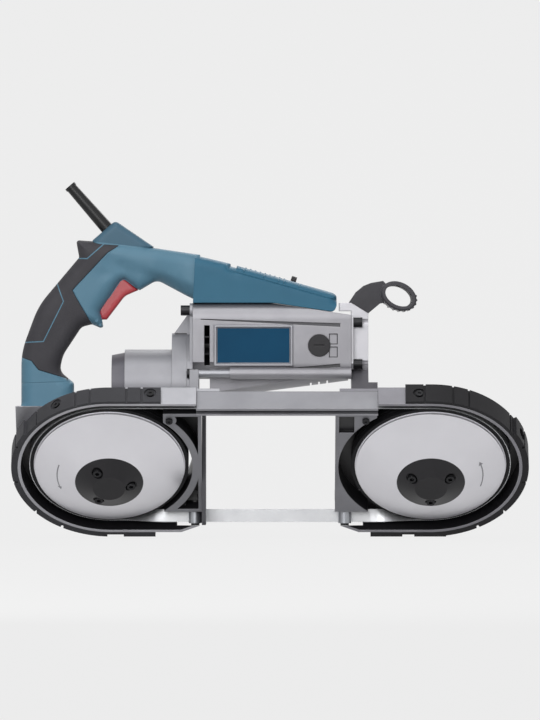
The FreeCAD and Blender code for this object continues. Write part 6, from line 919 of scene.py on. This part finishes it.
        def vertex(i: int, y: float, gap: float = 0.0) -> BMVert:
            """Makes or finds the vertex of a point.

            Args:
                i: Number of the point.
                y: Millimetres from the seam.
                gap: Millimetres in from the border.

            Returns:
                The vertex.
            """
            place = self.places[i] + (inward[i] * gap if gap else 0)
            key = tuple(round(float(value), SAME_DIGITS) for value in (*place, y))
            if key not in corners:
                corners[key] = bm.verts.new((place[0] * MM, (side * y + MIDDLE_Y) * MM, place[1] * MM))
            return corners[key]

        def add_face(loop: list[BMVert]) -> None:
            """Adds a face that looks outwards on this half, unless it has shrunk to a line.

            Args:
                loop: Its vertices.
            """
            loop = list(dict.fromkeys(loop))
            if len(loop) > 2:
                bm.faces.new(loop if side < 0 else loop[::-1])

        slot = np.array(self.slot) if self.slot else None
        for number, (face, sunk) in enumerate(zip(self.faces, floor)):
            if picked is not None and not picked[number]:
                continue
            add_face([vertex(i, self.heights[i] - self.well_depth * sunk) for i in face])
            for a, b in edges_of(face):
                if sunk or (a, b) not in border:
                    continue
                ha, hb = self.heights[a], self.heights[b]
                middle = (self.places[a] + self.places[b]) / 2
                gaps = [math.hypot(middle[0] - x, middle[1] - z) - radius for x, z, radius in self.wells]
                if any(abs(gap) < self.well_touch for gap in gaps):
                    sink = self.well_depth
                    add_face([vertex(b, hb), vertex(a, ha), vertex(a, ha - sink), vertex(b, hb - sink)])
                    continue
                cut = slot is not None and inside(middle[None], slot)[0]
                low, deep = (self.slot_half, self.slot_depth) if cut else (self.seam, self.seam)
                foot = low if cut else 0.0
                add_face([vertex(b, hb), vertex(a, ha), vertex(a, low), vertex(b, low)])
                add_face([vertex(b, low), vertex(a, low), vertex(a, foot, deep), vertex(b, foot, deep)])


@dataclass(frozen=True)
class Rows:
    """Small blocks repeated along a path by geometry nodes, each set square to its own place.

    Lengths are millimetres; taper is the share of the length that is lost towards the top.
    """

    name: str
    length: float
    width: float
    height: float
    taper: float

    def tree(self, finish: Finish) -> NodeTree:
        """Builds the tree that puts a block on each point.

        Args:
            finish: Finish of the blocks.

        Returns:
            The tree.
        """
        tree = bpy.data.node_groups.new(self.name, "GeometryNodeTree")
        add = functools.partial(add_node, tree)
        tree.interface.new_socket("Geometry", in_out="INPUT", socket_type="NodeSocketGeometry")
        for name in ("Length", "Width", "Height", "Taper"):
            tree.interface.new_socket(name, in_out="INPUT", socket_type="NodeSocketFloat")
        tree.interface.new_socket("Geometry", in_out="OUTPUT", socket_type="NodeSocketGeometry")
        given = add("NodeGroupInput").outputs
        size = add("ShaderNodeCombineXYZ", {0: given["Length"], 1: given["Width"], 2: given["Height"]})
        block = add("GeometryNodeMeshCube", {"Size": size})
        where = add("GeometryNodeInputPosition")
        here = add("ShaderNodeSeparateXYZ", {0: where}).outputs
        top = add("ShaderNodeMath", {0: here[2], 1: 0.0}, operation="GREATER_THAN")
        less = add("ShaderNodeMath", {0: top, 1: given["Taper"]}, operation="MULTIPLY")
        share = add("ShaderNodeMath", {0: 1.0, 1: less}, operation="SUBTRACT")
        narrow = add("ShaderNodeMath", {0: here[0], 1: share}, operation="MULTIPLY")
        place = add("ShaderNodeCombineXYZ", {0: narrow, 1: here[1], 2: here[2]})
        shaped = add("GeometryNodeSetPosition", {"Geometry": block, "Position": place})
        ways = [add("GeometryNodeInputNamedAttribute", {"Name": name}, data_type="FLOAT_VECTOR")
                for name in ("out", "along")]
        turn = add("FunctionNodeAxesToRotation",
                   {i: way.outputs["Attribute"] for i, way in enumerate(ways)},
                   primary_axis="Z", secondary_axis="X")
        rows = add("GeometryNodeInstanceOnPoints",
                   {"Points": given["Geometry"], "Instance": shaped, "Rotation": turn})
        real = add("GeometryNodeRealizeInstances", {0: rows})
        painted = add("GeometryNodeSetMaterial", {"Geometry": real, "Material": material_of(finish)})
        add("NodeGroupOutput", {0: painted})
        return tree

    def build(self, places: list[Place], finish: Finish, body: str) -> None:
        """Makes the row as one plain mesh.

        Args:
            places: Point in metres, way along and way out for each block.
            finish: Finish of the blocks.
            body: Body that the row rides on.
        """
        points = bpy.data.meshes.new(f"{self.name}_points")
        points.from_pydata([tuple(place[0]) for place in places], [], [])
        for name, column in (("along", 1), ("out", 2)):
            ways = points.attributes.new(name, "FLOAT_VECTOR", "POINT")
            ways.data.foreach_set("vector", [value for place in places for value in place[column]])
        guide = bpy.data.objects.new(f"{self.name}_guide", points)
        bpy.context.scene.collection.objects.link(guide)
        tree = self.tree(finish)
        modifier = guide.modifiers.new(self.name, "NODES")
        modifier.node_group = tree
        sizes = {"Length": self.length * MM, "Width": self.width * MM, "Height": self.height * MM,
                 "Taper": self.taper}
        for item in tree.interface.items_tree:
            if item.in_out == "INPUT" and item.name in sizes:
                modifier[item.identifier] = sizes[item.name]
        made = guide.evaluated_get(bpy.context.evaluated_depsgraph_get())
        mesh = bpy.data.meshes.new_from_object(made)
        bpy.data.objects.remove(guide)
        place_piece(self.name, mesh, finish, body)


@dataclass
class Wheels:
    """Both band wheels with their hubs, tyres and axles, the arrows that show their way, and the teeth.

    Lengths are millimetres and angles degrees.
    """

    spacing: float = 320.0
    rim_front: float = 10.0
    rim_radius: float = 74.7
    hub_radius: float = 34.0
    cone_rise: float = 21.0
    arrow_radius: float = 52.0
    arrow_width: float = 1.2
    arrow_half_angle: float = 17.0
    arrow_steps: int = 16
    arrow_head: float = 4.5
    arrow_lift: float = 0.06
    blade_radius: float = 79.575
    blade_half: float = 6.35
    tooth_pitch: float = 1.9
    twist_start: float = 150.0
    twist_end: float = 94.0

    def dress(self) -> None:
        """Gives the wheels' CAD nodes their finishes."""
        for side, x in (("drive", -self.spacing / 2), ("idler", self.spacing / 2)):
            dress(disc_finish(f"aluminium_spun_{side}", x), f"{side}_wheel")
            dress(TYRE_RUBBER, f"{side}_tyre")
            dress(BLACK_NYLON, f"{side}_hub")
            dress(BLACK_STEEL, f"{side}_hub_screws")
            dress(PLATED_STEEL, f"{side}_axle")
        dress(PLATED_STEEL, "idler_bearings")

    def on_cone(self, wheel_x: float, radius: float, angle: float) -> Vector:
        """Places a point on a wheel's dished face.

        Args:
            wheel_x: Millimetres of the axle along the saw.
            radius: Millimetres from the axle.
            angle: Degrees round it from the saw's right.

        Returns:
            The point in metres, a hair above the face.
        """
        rise = self.cone_rise * (self.rim_radius - radius) / (self.rim_radius - self.hub_radius)
        turn = math.radians(angle)
        x, a = wheel_x + radius * math.cos(turn), radius * math.sin(turn)
        return LOOP.point(x, a, self.rim_front + rise + self.arrow_lift)

    def arrow(self, name: str, wheel_x: float, middle: float, body: str) -> None:
        """Engraves a curved arrow on one wheel.

        Args:
            name: The piece's name.
            wheel_x: Millimetres of the axle along the saw.
            middle: Degrees round the axle of the arrow's middle.
            body: Body that it rides on.
        """
        bm = bmesh.new()

        def vertex(out: float, angle: float) -> BMVert:
            """Sets a vertex this far out from the arrow's middle line."""
            return bm.verts.new(self.on_cone(wheel_x, self.arrow_radius + out, angle))

        first, step = middle - self.arrow_half_angle, 2 * self.arrow_half_angle / self.arrow_steps
        angles = [first + i * step for i in range(self.arrow_steps + 1)]
        rows = [[vertex(side * self.arrow_width / 2, angle) for side in (-1, 1)] for angle in angles]
        for low, high in zip(rows, rows[1:]):
            bm.faces.new((low[0], low[1], high[1], high[0]))
        tip = angles[-1] + math.degrees(self.arrow_head / self.arrow_radius)
        wing = self.arrow_head / 2
        bm.faces.new((vertex(-wing, angles[-1]), vertex(wing, angles[-1]), vertex(0.0, tip)))
        place_piece(name, to_mesh(name, bm), ENGRAVING, body)

    def teeth(self) -> list[Place]:
        """Walks round the blade and sets a tooth at each pitch.

        Returns:
            Point, way along and way out for each tooth.
        """
        half, radius = self.spacing / 2, self.blade_radius
        straight, round_end = self.spacing, math.pi * radius
        count = int((2 * straight + 2 * round_end) / self.tooth_pitch)
        base = LOOP.point(0, 0, 0)
        places = []
        for i in range(count):
            # The walk is a lower straight and a right end, then an upper straight and a left end.
            lap, way = divmod(i * self.tooth_pitch, straight + round_end)
            sign = 1 if lap == 0 else -1
            twist = 0.0
            if way < straight:
                x, a, along = way - half, -radius, (1, 0)
                if lap == 0:
                    share = (self.twist_start - abs(x)) / (self.twist_start - self.twist_end)
                    twist = math.radians(LOOP.tilt) * eased(min(max(share, 0.0), 1.0))
            else:
                turn = (way - straight) / radius - math.pi / 2
                x, a = half + radius * math.cos(turn), radius * math.sin(turn)
                along = (-math.sin(turn), math.cos(turn))
            edge = LOOP.point(0, -math.sin(twist), math.cos(twist)) - base
            ahead = LOOP.point(sign * along[0], sign * along[1], 0) - base
            point = LOOP.point(sign * x, sign * a, 0) + edge * self.blade_half
            places.append((point, ahead.normalized(), edge.normalized()))
        return places

    def build(self) -> None:
        """Engraves the arrows and cuts the blade's teeth."""
        self.arrow("drive_arrow", -self.spacing / 2, 180.0, "drive")
        self.arrow("idler_arrow", self.spacing / 2, 0.0, "idler")
        row = Rows("blade_teeth", length=1.7, width=0.62, height=1.4, taper=0.85)
        row.build(self.teeth(), BLADE_STEEL, "frame")


@dataclass
class Frame:
    """Two wheel trays joined by the beam, with bumpers, guide arms, work stop, blade and tension gear."""

    wheel_x: float = 160.0
    arm_floor: float = 9.0
    tension_travel: float = 9.0

    def dress(self) -> None:
        """Gives the frame's CAD nodes their finishes."""
        for side, sign in (("left", -1), ("right", 1)):
            tray = tray_finish(f"aluminium_cast_{side}_tray", sign * self.wheel_x, sign)
            dress(tray, f"{side}_wheel_housing")
            dress(arm_finish(f"aluminium_cast_{side}_arm", self.arm_floor), f"{side}_guide_arm")
            dress(PLATED_STEEL, *(f"{side}_{roller}_roller" for roller in ("front", "rear", "thrust")))
        dress(BUMPER_RUBBER, "left_bumper")
        dress(END_RUBBER, "right_bumper")
        dress(GREY_CASTING, "top_beam", "tension_carriage")
        dress(BLACK_STEEL, "frame_screws", "roller_pins")
        dress(DARK_STEEL, "work_stop", "tension_cover", "tension_lever")
        dress(BLADE_STEEL, "blade")
        dress(PLATED_STEEL, "tension_spring")

    def build(self) -> None:
        """Puts in the tension spring as a mesh of its own on the frame, in place of the CAD spring."""
        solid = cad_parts["tension_spring"]
        mesh = solid.data.copy()
        mesh.transform(solid.matrix_world)
        spring = place_piece("tension_coil", mesh, PLATED_STEEL, "frame", "tension_spring")
        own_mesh(spring)


@dataclass
class Drive:
    """Motor, gears and their cases, with the front handle.

    Lengths are millimetres; boxes are left, low, right and high, with Z from the motor's axis. Borders
    are sections as distance out from a box and height over the flank.
    """

    rod_left: float = -76.0
    rod_right: float = -38.0
    motor_half: float = 36.0
    axis_z: float = 191.97
    plate: Box = (-52.5, -17.3, 19.5, 17.3)
    plate_border: tuple[Point, ...] = ((3.6, -0.4), (3.6, 0.9), (2.8, 2.0), (1.2, 2.0), (0.0, 0.5),
                                       (0.0, -0.4))
    windows: tuple[Box, ...] = ((59.4, 1.9, 66.6, 11.1), (59.4, -11.1, 66.6, -1.9))
    window_border: tuple[Point, ...] = ((0.8, -0.6), (0.8, 0.05), (0.0, 0.05), (0.0, -0.6))
    grip_centre: Point = (128.0, 49.2)
    grip_long: float = 18.5
    grip_short: float = 13.5
    grip_lean: float = 27.0
    grip_half: float = 52.0
    flute_from: float = -118.0
    flute_step: float = 17.0
    flute_count: int = 10

    def dress(self) -> None:
        """Gives the drive's CAD nodes their finishes."""
        dress(GEAR_CASTING, "gearcase", "gear_plate")
        dress(CAP_CASTING, "gearcase_cap")
        dress(PLATED_STEEL, "gear_bearings", "final_gear", "intermediate_shaft", "bevel_gear",
              "countershaft", "first_gear", "stator", "armature")
        dress(COPPER_WIRE, "field_coils", "commutator", "brush_gear")
        dress(BLACK_NYLON, "fan", "brush_caps")
        dress(MOTOR_CASTING, "motor_housing")
        dress(PLATE_ENAMEL, "nameplate")
        dress(bolt_finish(self.rod_left, self.rod_right), "housing_bolts")
        dress(BRACKET_CASTING, "front_bracket")
        dress(GREY_NYLON, "front_handle")

    def border(self, bm: BMesh, box: Box, profile: tuple[Point, ...], side: int) -> None:
        """Runs a mitred border round a box on the motor's flank.

        Args:
            bm: Mesh that gets the border.
            box: The box.
            profile: Closed section of the border.
            side: 1 for the far flank, -1 for the viewer's.
        """
        left, low, right, high = box
        rings = []
        for out, rise in profile:
            y = (side * (self.motor_half + rise) + MIDDLE_Y) * MM
            corners = ((left - out, low - out), (right + out, low - out), (right + out, high + out),
                       (left - out, high + out))
            rings.append([bm.verts.new((x * MM, y, (self.axis_z + z) * MM)) for x, z in corners])
        for first, second in zip(rings, rings[1:] + rings[:1]):
            for i in range(4):
                bm.faces.new((first[i], first[(i + 1) % 4], second[(i + 1) % 4], second[i]))

    def flutes(self) -> list[Place]:
        """Sets the ribs under the fingers round the front grip.

        Returns:
            Point, way along and way out for each rib.
        """
        lean = math.radians(self.grip_lean)
        long_way = Vector((math.cos(lean), 0, -math.sin(lean))) * self.grip_long
        short_way = Vector((math.sin(lean), 0, math.cos(lean))) * self.grip_short
        centre = Vector((self.grip_centre[0], MIDDLE_Y, self.axis_z + self.grip_centre[1]))
        places = []
        for i in range(self.flute_count):
            turn = math.radians(self.flute_from + i * self.flute_step)
            point = centre + long_way * math.cos(turn) + short_way * math.sin(turn)
            out = (long_way * math.cos(turn) / self.grip_long ** 2
                   + short_way * math.sin(turn) / self.grip_short ** 2)
            along = short_way * math.cos(turn) - long_way * math.sin(turn)
            places.append((point * MM, along.normalized(), out.normalized()))
        return places

    def build(self) -> None:
        """Adds the plate's bevelled frame, the window lips and the front grip's ribs."""
        trims = (("plate_frame", (self.plate,), self.plate_border, PLATE_TRIM),
                 ("window_lips", self.windows, self.window_border, BLACK_NYLON))
        for name, boxes, profile, finish in trims:
            bm = bmesh.new()
            for side in (-1, 1):
                for box in boxes:
                    self.border(bm, box, profile, side)
            bmesh.ops.recalc_face_normals(bm, faces=bm.faces)
            place_piece(name, to_mesh(name, bm), finish, "frame")
        row = Rows("front_grip_ribs", length=3.2, width=2 * self.grip_half, height=1.8, taper=0.55)
        row.build(self.flutes(), WORN_NYLON, "frame")


@dataclass
class Handle:
    """Blue shells of the handle and motor cover, with the soft skin, trigger, dial and cord sleeve.

    Corners are X, Z and radius in millimetres, anticlockwise as the viewer sees them.
    """

    outline: tuple[Triple, ...] = (
        (-196, 131.5, 0), (-196, 154.5, 4), (-210.5, 166.5, 10), (-207, 182.5, 30), (-188.5, 210.5, 8),
        (-178, 213.2, 4), (-169.5, 209.5, 2), (-166.5, 210.5, 2), (-168, 217, 0), (-169.4, 226, 3),
        (-149.5, 256, 3), (-145.7, 258.2, 2), (-130.5, 247, 2), (-113, 257.5, 10), (-83, 241.5, 12),
        (-70, 235.5, 0), (-70, 282.5, 0), (-80, 284, 0), (-147, 294.2, 0), (-193.8, 297.3, 2.5),
        (-190.7, 280, 2), (-231.5, 231.5, 80), (-248.5, 185.5, 80), (-248.5, 131.5, 0),
    )
    widths: tuple[Point, ...] = ((-260, 18), (-125, 18), (-77, 31), (-60, 31))
    grip_top: tuple[Point, ...] = ((-143.5, 297), (-148, 293.5), (-162, 284.5), (-194, 250.5), (-197, 246.9),
                                   (-194, 240.9), (-181.2, 219), (-177.6, 213.2), (-175.5, 209.5))
    grip_foot: tuple[Point, ...] = ((-203, 159), (-208, 160.5), (-231, 167.5), (-238.2, 176.5),
                                    (-247.3, 179.7), (-252, 181))
    grip_inside: tuple[Point, ...] = ((-176, 205), (-185, 180), (-203, 157))
    grip_outside: tuple[Point, ...] = ((-262, 181), (-262, 240), (-200, 310), (-143, 300))
    inlays: tuple[tuple[Point, ...], ...] = (
        ((-161, 297.5), (-182.5, 278.7), (-194.3, 279)),
        ((-216, 257.5), (-212.7, 254.2), (-206.1, 236), (-226.1, 196), (-251, 194.8)),
    )
    inlay_width: float = 1.1
    step_line: tuple[Point, ...] = ((-252, 154), (-194, 156))
    neck_hollow: tuple[Point, ...] = ((-160, 276), (-133, 266), (-105, 255.5), (-80, 246.5))
    finger_hollow: tuple[Point, ...] = ((-168, 262), (-150, 268), (-128, 256))
    shell_wells: tuple[Triple, ...] = ((-233.4, 143.1, 3.3), (-228.3, 206.2, 3.3), (-198.1, 261, 3.3),
                                       (-97.3, 264.3, 3.3))
    shell_cuts: tuple[Box, ...] = ((-260, 120, -190, 133), (-72, 200, -60, 300))
    trigger_slot: tuple[Point, ...] = ((-172, 216), (-165, 214), (-131.5, 243.5), (-133.5, 251), (-146, 262),
                                       (-151, 260))
    trigger: tuple[Triple, ...] = ((-151.5, 259.5, 1), (-172, 228.5, 2), (-169.3, 217.8, 1),
                                   (-163.1, 217.8, 1.5), (-145, 241.5, 12), (-131.4, 247.4, 0.6),
                                   (-145.8, 259.8, 1))
    trigger_half: float = 8.5
    collar: tuple[Triple, ...] = ((-170, 284, 0), (-130, 284, 0), (-116, 290.5, 0), (-154.5, 316.8, 5),
                                  (-178, 296.5, 2))
    collar_half: float = 12.5
    cover: tuple[Triple, ...] = (
        (-76.8, 234.6, 0), (3, 234.6, 40), (64, 225.5, 4), (66.4, 231.5, 3), (66.4, 242, 4), (62, 244.7, 4),
        (-32.8, 271.6, 0.4), (-33.4, 269.3, 0.4), (-39.2, 270.9, 0.4), (-39.4, 273.5, 0.4),
        (-42.1, 274.3, 8), (-74.6, 281.9, 0),
    )
    cover_wells: tuple[Triple, ...] = ((-55.3, 256, 3.3), (3.5, 241.1, 3.3))
    cover_half: float = 33.0
    cover_cuts: tuple[Box, ...] = ((-80, 220, 70, 237), (-80, 220, -74, 290))
    cover_seam: tuple[Point, ...] = ((-43, 278), (-43, 268.5), (-41.5, 266.8), (64, 237.6), (68, 236.5))
    cover_ticks: tuple[Point, ...] = ((-25.3, 269.6), (-5.4, 263.9), (9.2, 259.8), (14.2, 258.3),
                                      (29.3, 254.1))
    tick_length: float = 3.6
    louvre_first: float = -24.0
    louvre_pitch: float = 4.8
    louvre_count: int = 9

    def dress(self) -> None:
        """Gives the handle's CAD nodes their finishes."""
        dress(BLUE_NYLON, "left_handle_shell", "right_handle_shell")
        dress(SOFT_GRIP, "grip_overmould")
        dress(RED_ACETAL, "trigger")
        dress(BLACK_NYLON, "speed_module", "speed_dial")
        dress(SLEEVE_RUBBER, "cord_sleeve")

    def main_shell(self) -> Moulding:
        """Lays out the handle with its skin's borders, inlays, hollows and screw wells.

        Returns:
            The moulding.
        """
        creases = [Crease(line, depth=0.9, width=1.5) for line in (self.grip_top, self.grip_foot)]
        creases.append(Crease(self.step_line, depth=0.5, width=1.2))
        creases += [Crease(line, depth=0.25, width=self.inlay_width) for line in self.inlays]
        hollows = (Crease(self.neck_hollow, depth=2.4, width=9.0),
                   Crease(self.finger_hollow, depth=1.6, width=8.0))
        return Moulding(self.outline, self.widths, reach=13.0, drop=13.0, creases=tuple(creases),
                        swells=hollows, straight=self.shell_cuts, wells=self.shell_wells,
                        slot=self.trigger_slot)

    def cover_shell(self) -> Moulding:
        """Lays out the motor cover with its seam line and vent ends.

        Returns:
            The moulding.
        """
        creases = [Crease(self.cover_seam, depth=0.9, width=1.6)]
        creases += [Crease(((x, z), (x, z - self.tick_length)), depth=1.2, width=1.5)
                    for x, z in self.cover_ticks]
        return Moulding(self.cover, ((-80, self.cover_half), (70, self.cover_half)), reach=8.5, drop=13.0,
                        creases=tuple(creases), straight=self.cover_cuts, wells=self.cover_wells)

    def shells(self) -> None:
        """Models both halves of the handle and cover, and the soft skin, over their plain solids."""
        shell, cover = self.main_shell(), self.cover_shell()
        collar = Moulding(self.collar, ((-180, self.collar_half), (-110, self.collar_half)), reach=6.0,
                          drop=6.0, step=2.0)
        middles = shell.middles()
        region = np.array(self.grip_top + self.grip_inside + self.grip_foot + self.grip_outside)
        lines = np.concatenate([runs_of(np.array(line), False) for line in self.inlays])
        skin = inside(middles, region) & (distance_to(middles, lines) > self.inlay_width / 2)
        grip = bmesh.new()
        for side, hand in ((1, "left"), (-1, "right")):
            half, roof = bmesh.new(), bmesh.new()
            shell.add_side(half, side, ~skin, side > 0)
            collar.add_side(half, side)
            cover.add_side(roof, side, None, side > 0)
            shell.add_side(grip, side, skin, side > 0)
            name = f"{hand}_handle_half"
            place_piece(name, to_mesh(name, half), BLUE_NYLON, "frame", f"{hand}_handle_shell")
            name = f"{hand}_cover_half"
            # The cover halves take the nylon painted deeper blue as painted shade.
            place_piece(name, to_mesh(name, roof), COVER_NYLON, "frame")
        place_piece("soft_skin", to_mesh("soft_skin", grip), SOFT_GRIP, "frame", "grip_overmould")

    def louvres(self) -> list[Place]:
        """Sets the ribs along the cover's sloping top.

        Returns:
            Point, way along and way out for each rib.
        """
        # The cover's top slopes from its last corner but one, by the handle, to its sixth, at the nose.
        start, end = Vector(self.cover[-2][:2]), Vector(self.cover[5][:2])
        along = (end - start).normalized()
        ribs = []
        for i in range(self.louvre_count):
            x = self.louvre_first + i * self.louvre_pitch
            z = start.y + (x - start.x) * along.y / along.x
            out = Vector((-along.y, 0, along.x))
            ribs.append((Vector((x, MIDDLE_Y, z)) * MM, Vector((along.x, 0, along.y)), out))
        return ribs

    def build(self) -> None:
        """Models the shells, the louvres and the trigger."""
        self.shells()
        # The louvres share the cover's nylon painted deeper blue as painted shade.
        row = Rows("cover_louvres", length=1.6, width=30.0, height=1.2, taper=0.3)
        row.build(self.louvres(), COVER_NYLON, "frame")
        lever = Moulding(self.trigger, ((-180, self.trigger_half), (-120, self.trigger_half)), reach=3.0,
                         drop=3.0, step=1.6, seam=0.0)
        pull = bmesh.new()
        for side in (1, -1):
            lever.add_side(pull, side)
        bmesh.ops.remove_doubles(pull, verts=pull.verts, dist=WELD)
        place_piece("finger_trigger", to_mesh("finger_trigger", pull), RED_ACETAL, "trigger_body", "trigger")


@dataclass
class Studio:
    """Pale sweep, soft lamps and the camera square to the saw's side; lengths are metres."""

    distance: float = 8.0
    picture_height: float = 0.72
    sensor: float = 36.0
    middle: Point = (0.0, 0.1775)
    floor_front: float = -9.5
    floor_back: float = 0.9
    bend: float = 0.8
    bend_steps: int = 9
    sweep_height: float = 3.0
    sweep_half: float = 3.0
    pale: str = "#f2f2f2"
    bounce: str = "#b4b4b4"
    paper_roughness: float = 0.9
    paper_glow: float = 0.93
    room_light: float = 0.26
    lamp_aim: Triple = (0, 0, 0.15)
    boxes: tuple[tuple[str, Triple, float, float], ...] = (
        ("top_box", (-0.2, -0.7, 1.5), 1.3, 8.0), ("front_box", (-0.5, -2.2, 0.9), 1.6, 24.0),
        ("right_box", (1.2, -1.2, 0.8), 1.0, 3.0), ("back_box", (0.3, 1.2, 1.2), 1.0, 6.0),
    )

    def camera(self) -> None:
        """Puts the camera where the photograph was taken from."""
        data = bpy.data.cameras.new("side_camera")
        data.sensor_fit = "VERTICAL"
        data.sensor_height = self.sensor
        data.lens = self.sensor * self.distance / self.picture_height
        camera = bpy.data.objects.new("side_camera", data)
        camera.location = (self.middle[0], MIDDLE_Y * MM - self.distance, self.middle[1])
        camera.rotation_euler = (math.radians(90), 0, 0)
        bpy.context.scene.collection.objects.link(camera)
        bpy.context.scene.camera = camera

    def seen(self, tree: NodeTree) -> NodeSocket:
        """Gives 1 where the eye sees the room straight, in a shine or through something clear.

        Args:
            tree: Tree of the paper or the room.

        Returns:
            Socket with 1 or 0.
        """
        add = functools.partial(add_node, tree)
        ray = add("ShaderNodeLightPath").outputs
        known = ray["Is Camera Ray"]
        for way in ("Is Glossy Ray", "Is Transmission Ray"):
            known = add("ShaderNodeMath", {0: known, 1: ray[way]}, operation="MAXIMUM").outputs[0]
        return known

    def sweep(self) -> None:
        """Builds the paper sweep that is both floor and backdrop, and is clear from its back."""
        bm = bmesh.new()
        profile = [(self.floor_front, 0.0)]
        for step in range(self.bend_steps + 1):
            turn = math.radians(90 * step / self.bend_steps)
            profile.append((self.floor_back + self.bend * math.sin(turn), self.bend * (1 - math.cos(turn))))
        profile.append((self.floor_back + self.bend, self.sweep_height))
        rows = [[bm.verts.new((x, y, z - MM)) for x in (-self.sweep_half, self.sweep_half)]
                for y, z in profile]
        for low, high in zip(rows, rows[1:]):
            bm.faces.new((low[0], low[1], high[1], high[0]))
        sweep = bpy.data.objects.new("paper_sweep", to_mesh("paper_sweep", bm))
        bpy.context.scene.collection.objects.link(sweep)
        # Matt paper that looks evenly pale but throws little light back; its back lets the eye through.
        paper = bpy.data.materials.new("paper_matt")
        paper.use_nodes = True
        tree = paper.node_tree
        add = functools.partial(add_node, tree)
        shader = tree.nodes["Principled BSDF"]
        fill(tree, shader, {"Roughness": self.paper_roughness, "Base Color": linear(self.bounce)})
        glow = add("ShaderNodeEmission", {"Color": linear(self.pale), "Strength": 1.0})
        amount = add("ShaderNodeMath", {0: self.seen(tree), 1: self.paper_glow}, operation="MULTIPLY")
        mixed = add("ShaderNodeMixShader", {0: amount, 1: shader, 2: glow})
        behind = add("ShaderNodeNewGeometry").outputs["Backfacing"]
        clear = add("ShaderNodeBsdfTransparent")
        one_sided = add("ShaderNodeMixShader", {0: behind, 1: mixed, 2: clear})
        fill(tree, tree.nodes["Material Output"], {"Surface": one_sided})
        sweep.data.materials.append(paper)

    def lamps(self) -> None:
        """Hangs the soft boxes and sets the room's own light."""
        for name, place, size, power in self.boxes:
            data = bpy.data.lights.new(name, "AREA")
            data.shape = "DISK"
            data.size = size
            data.energy = power
            lamp = bpy.data.objects.new(name, data)
            lamp.location = place
            aim = Vector(self.lamp_aim) - Vector(place)
            lamp.rotation_euler = aim.to_track_quat("-Z", "Y").to_euler()
            bpy.context.scene.collection.objects.link(lamp)
        world = bpy.data.worlds.new("studio_room")
        bpy.context.scene.world = world
        world.use_nodes = True
        tree = world.node_tree
        shown = {"Value": self.seen(tree), "To Min": self.room_light, "To Max": 1.0}
        strength = add_node(tree, "ShaderNodeMapRange", shown)
        fill(tree, tree.nodes["Background"], {"Color": linear(self.pale), "Strength": strength})

    def build(self) -> None:
        """Builds the whole studio."""
        self.camera()
        self.sweep()
        self.lamps()
        bpy.context.scene.view_settings.view_transform = "Standard"


def main() -> None:
    """Builds and dresses the saw, then its studio."""
    logging.basicConfig(level=logging.INFO, format="%(name)s: %(message)s")
    for assembly in (Wheels(), Frame(), Drive(), Handle()):
        assembly.dress()
        assembly.build()
    Studio().build()


if __name__ == "__main__":
    main()
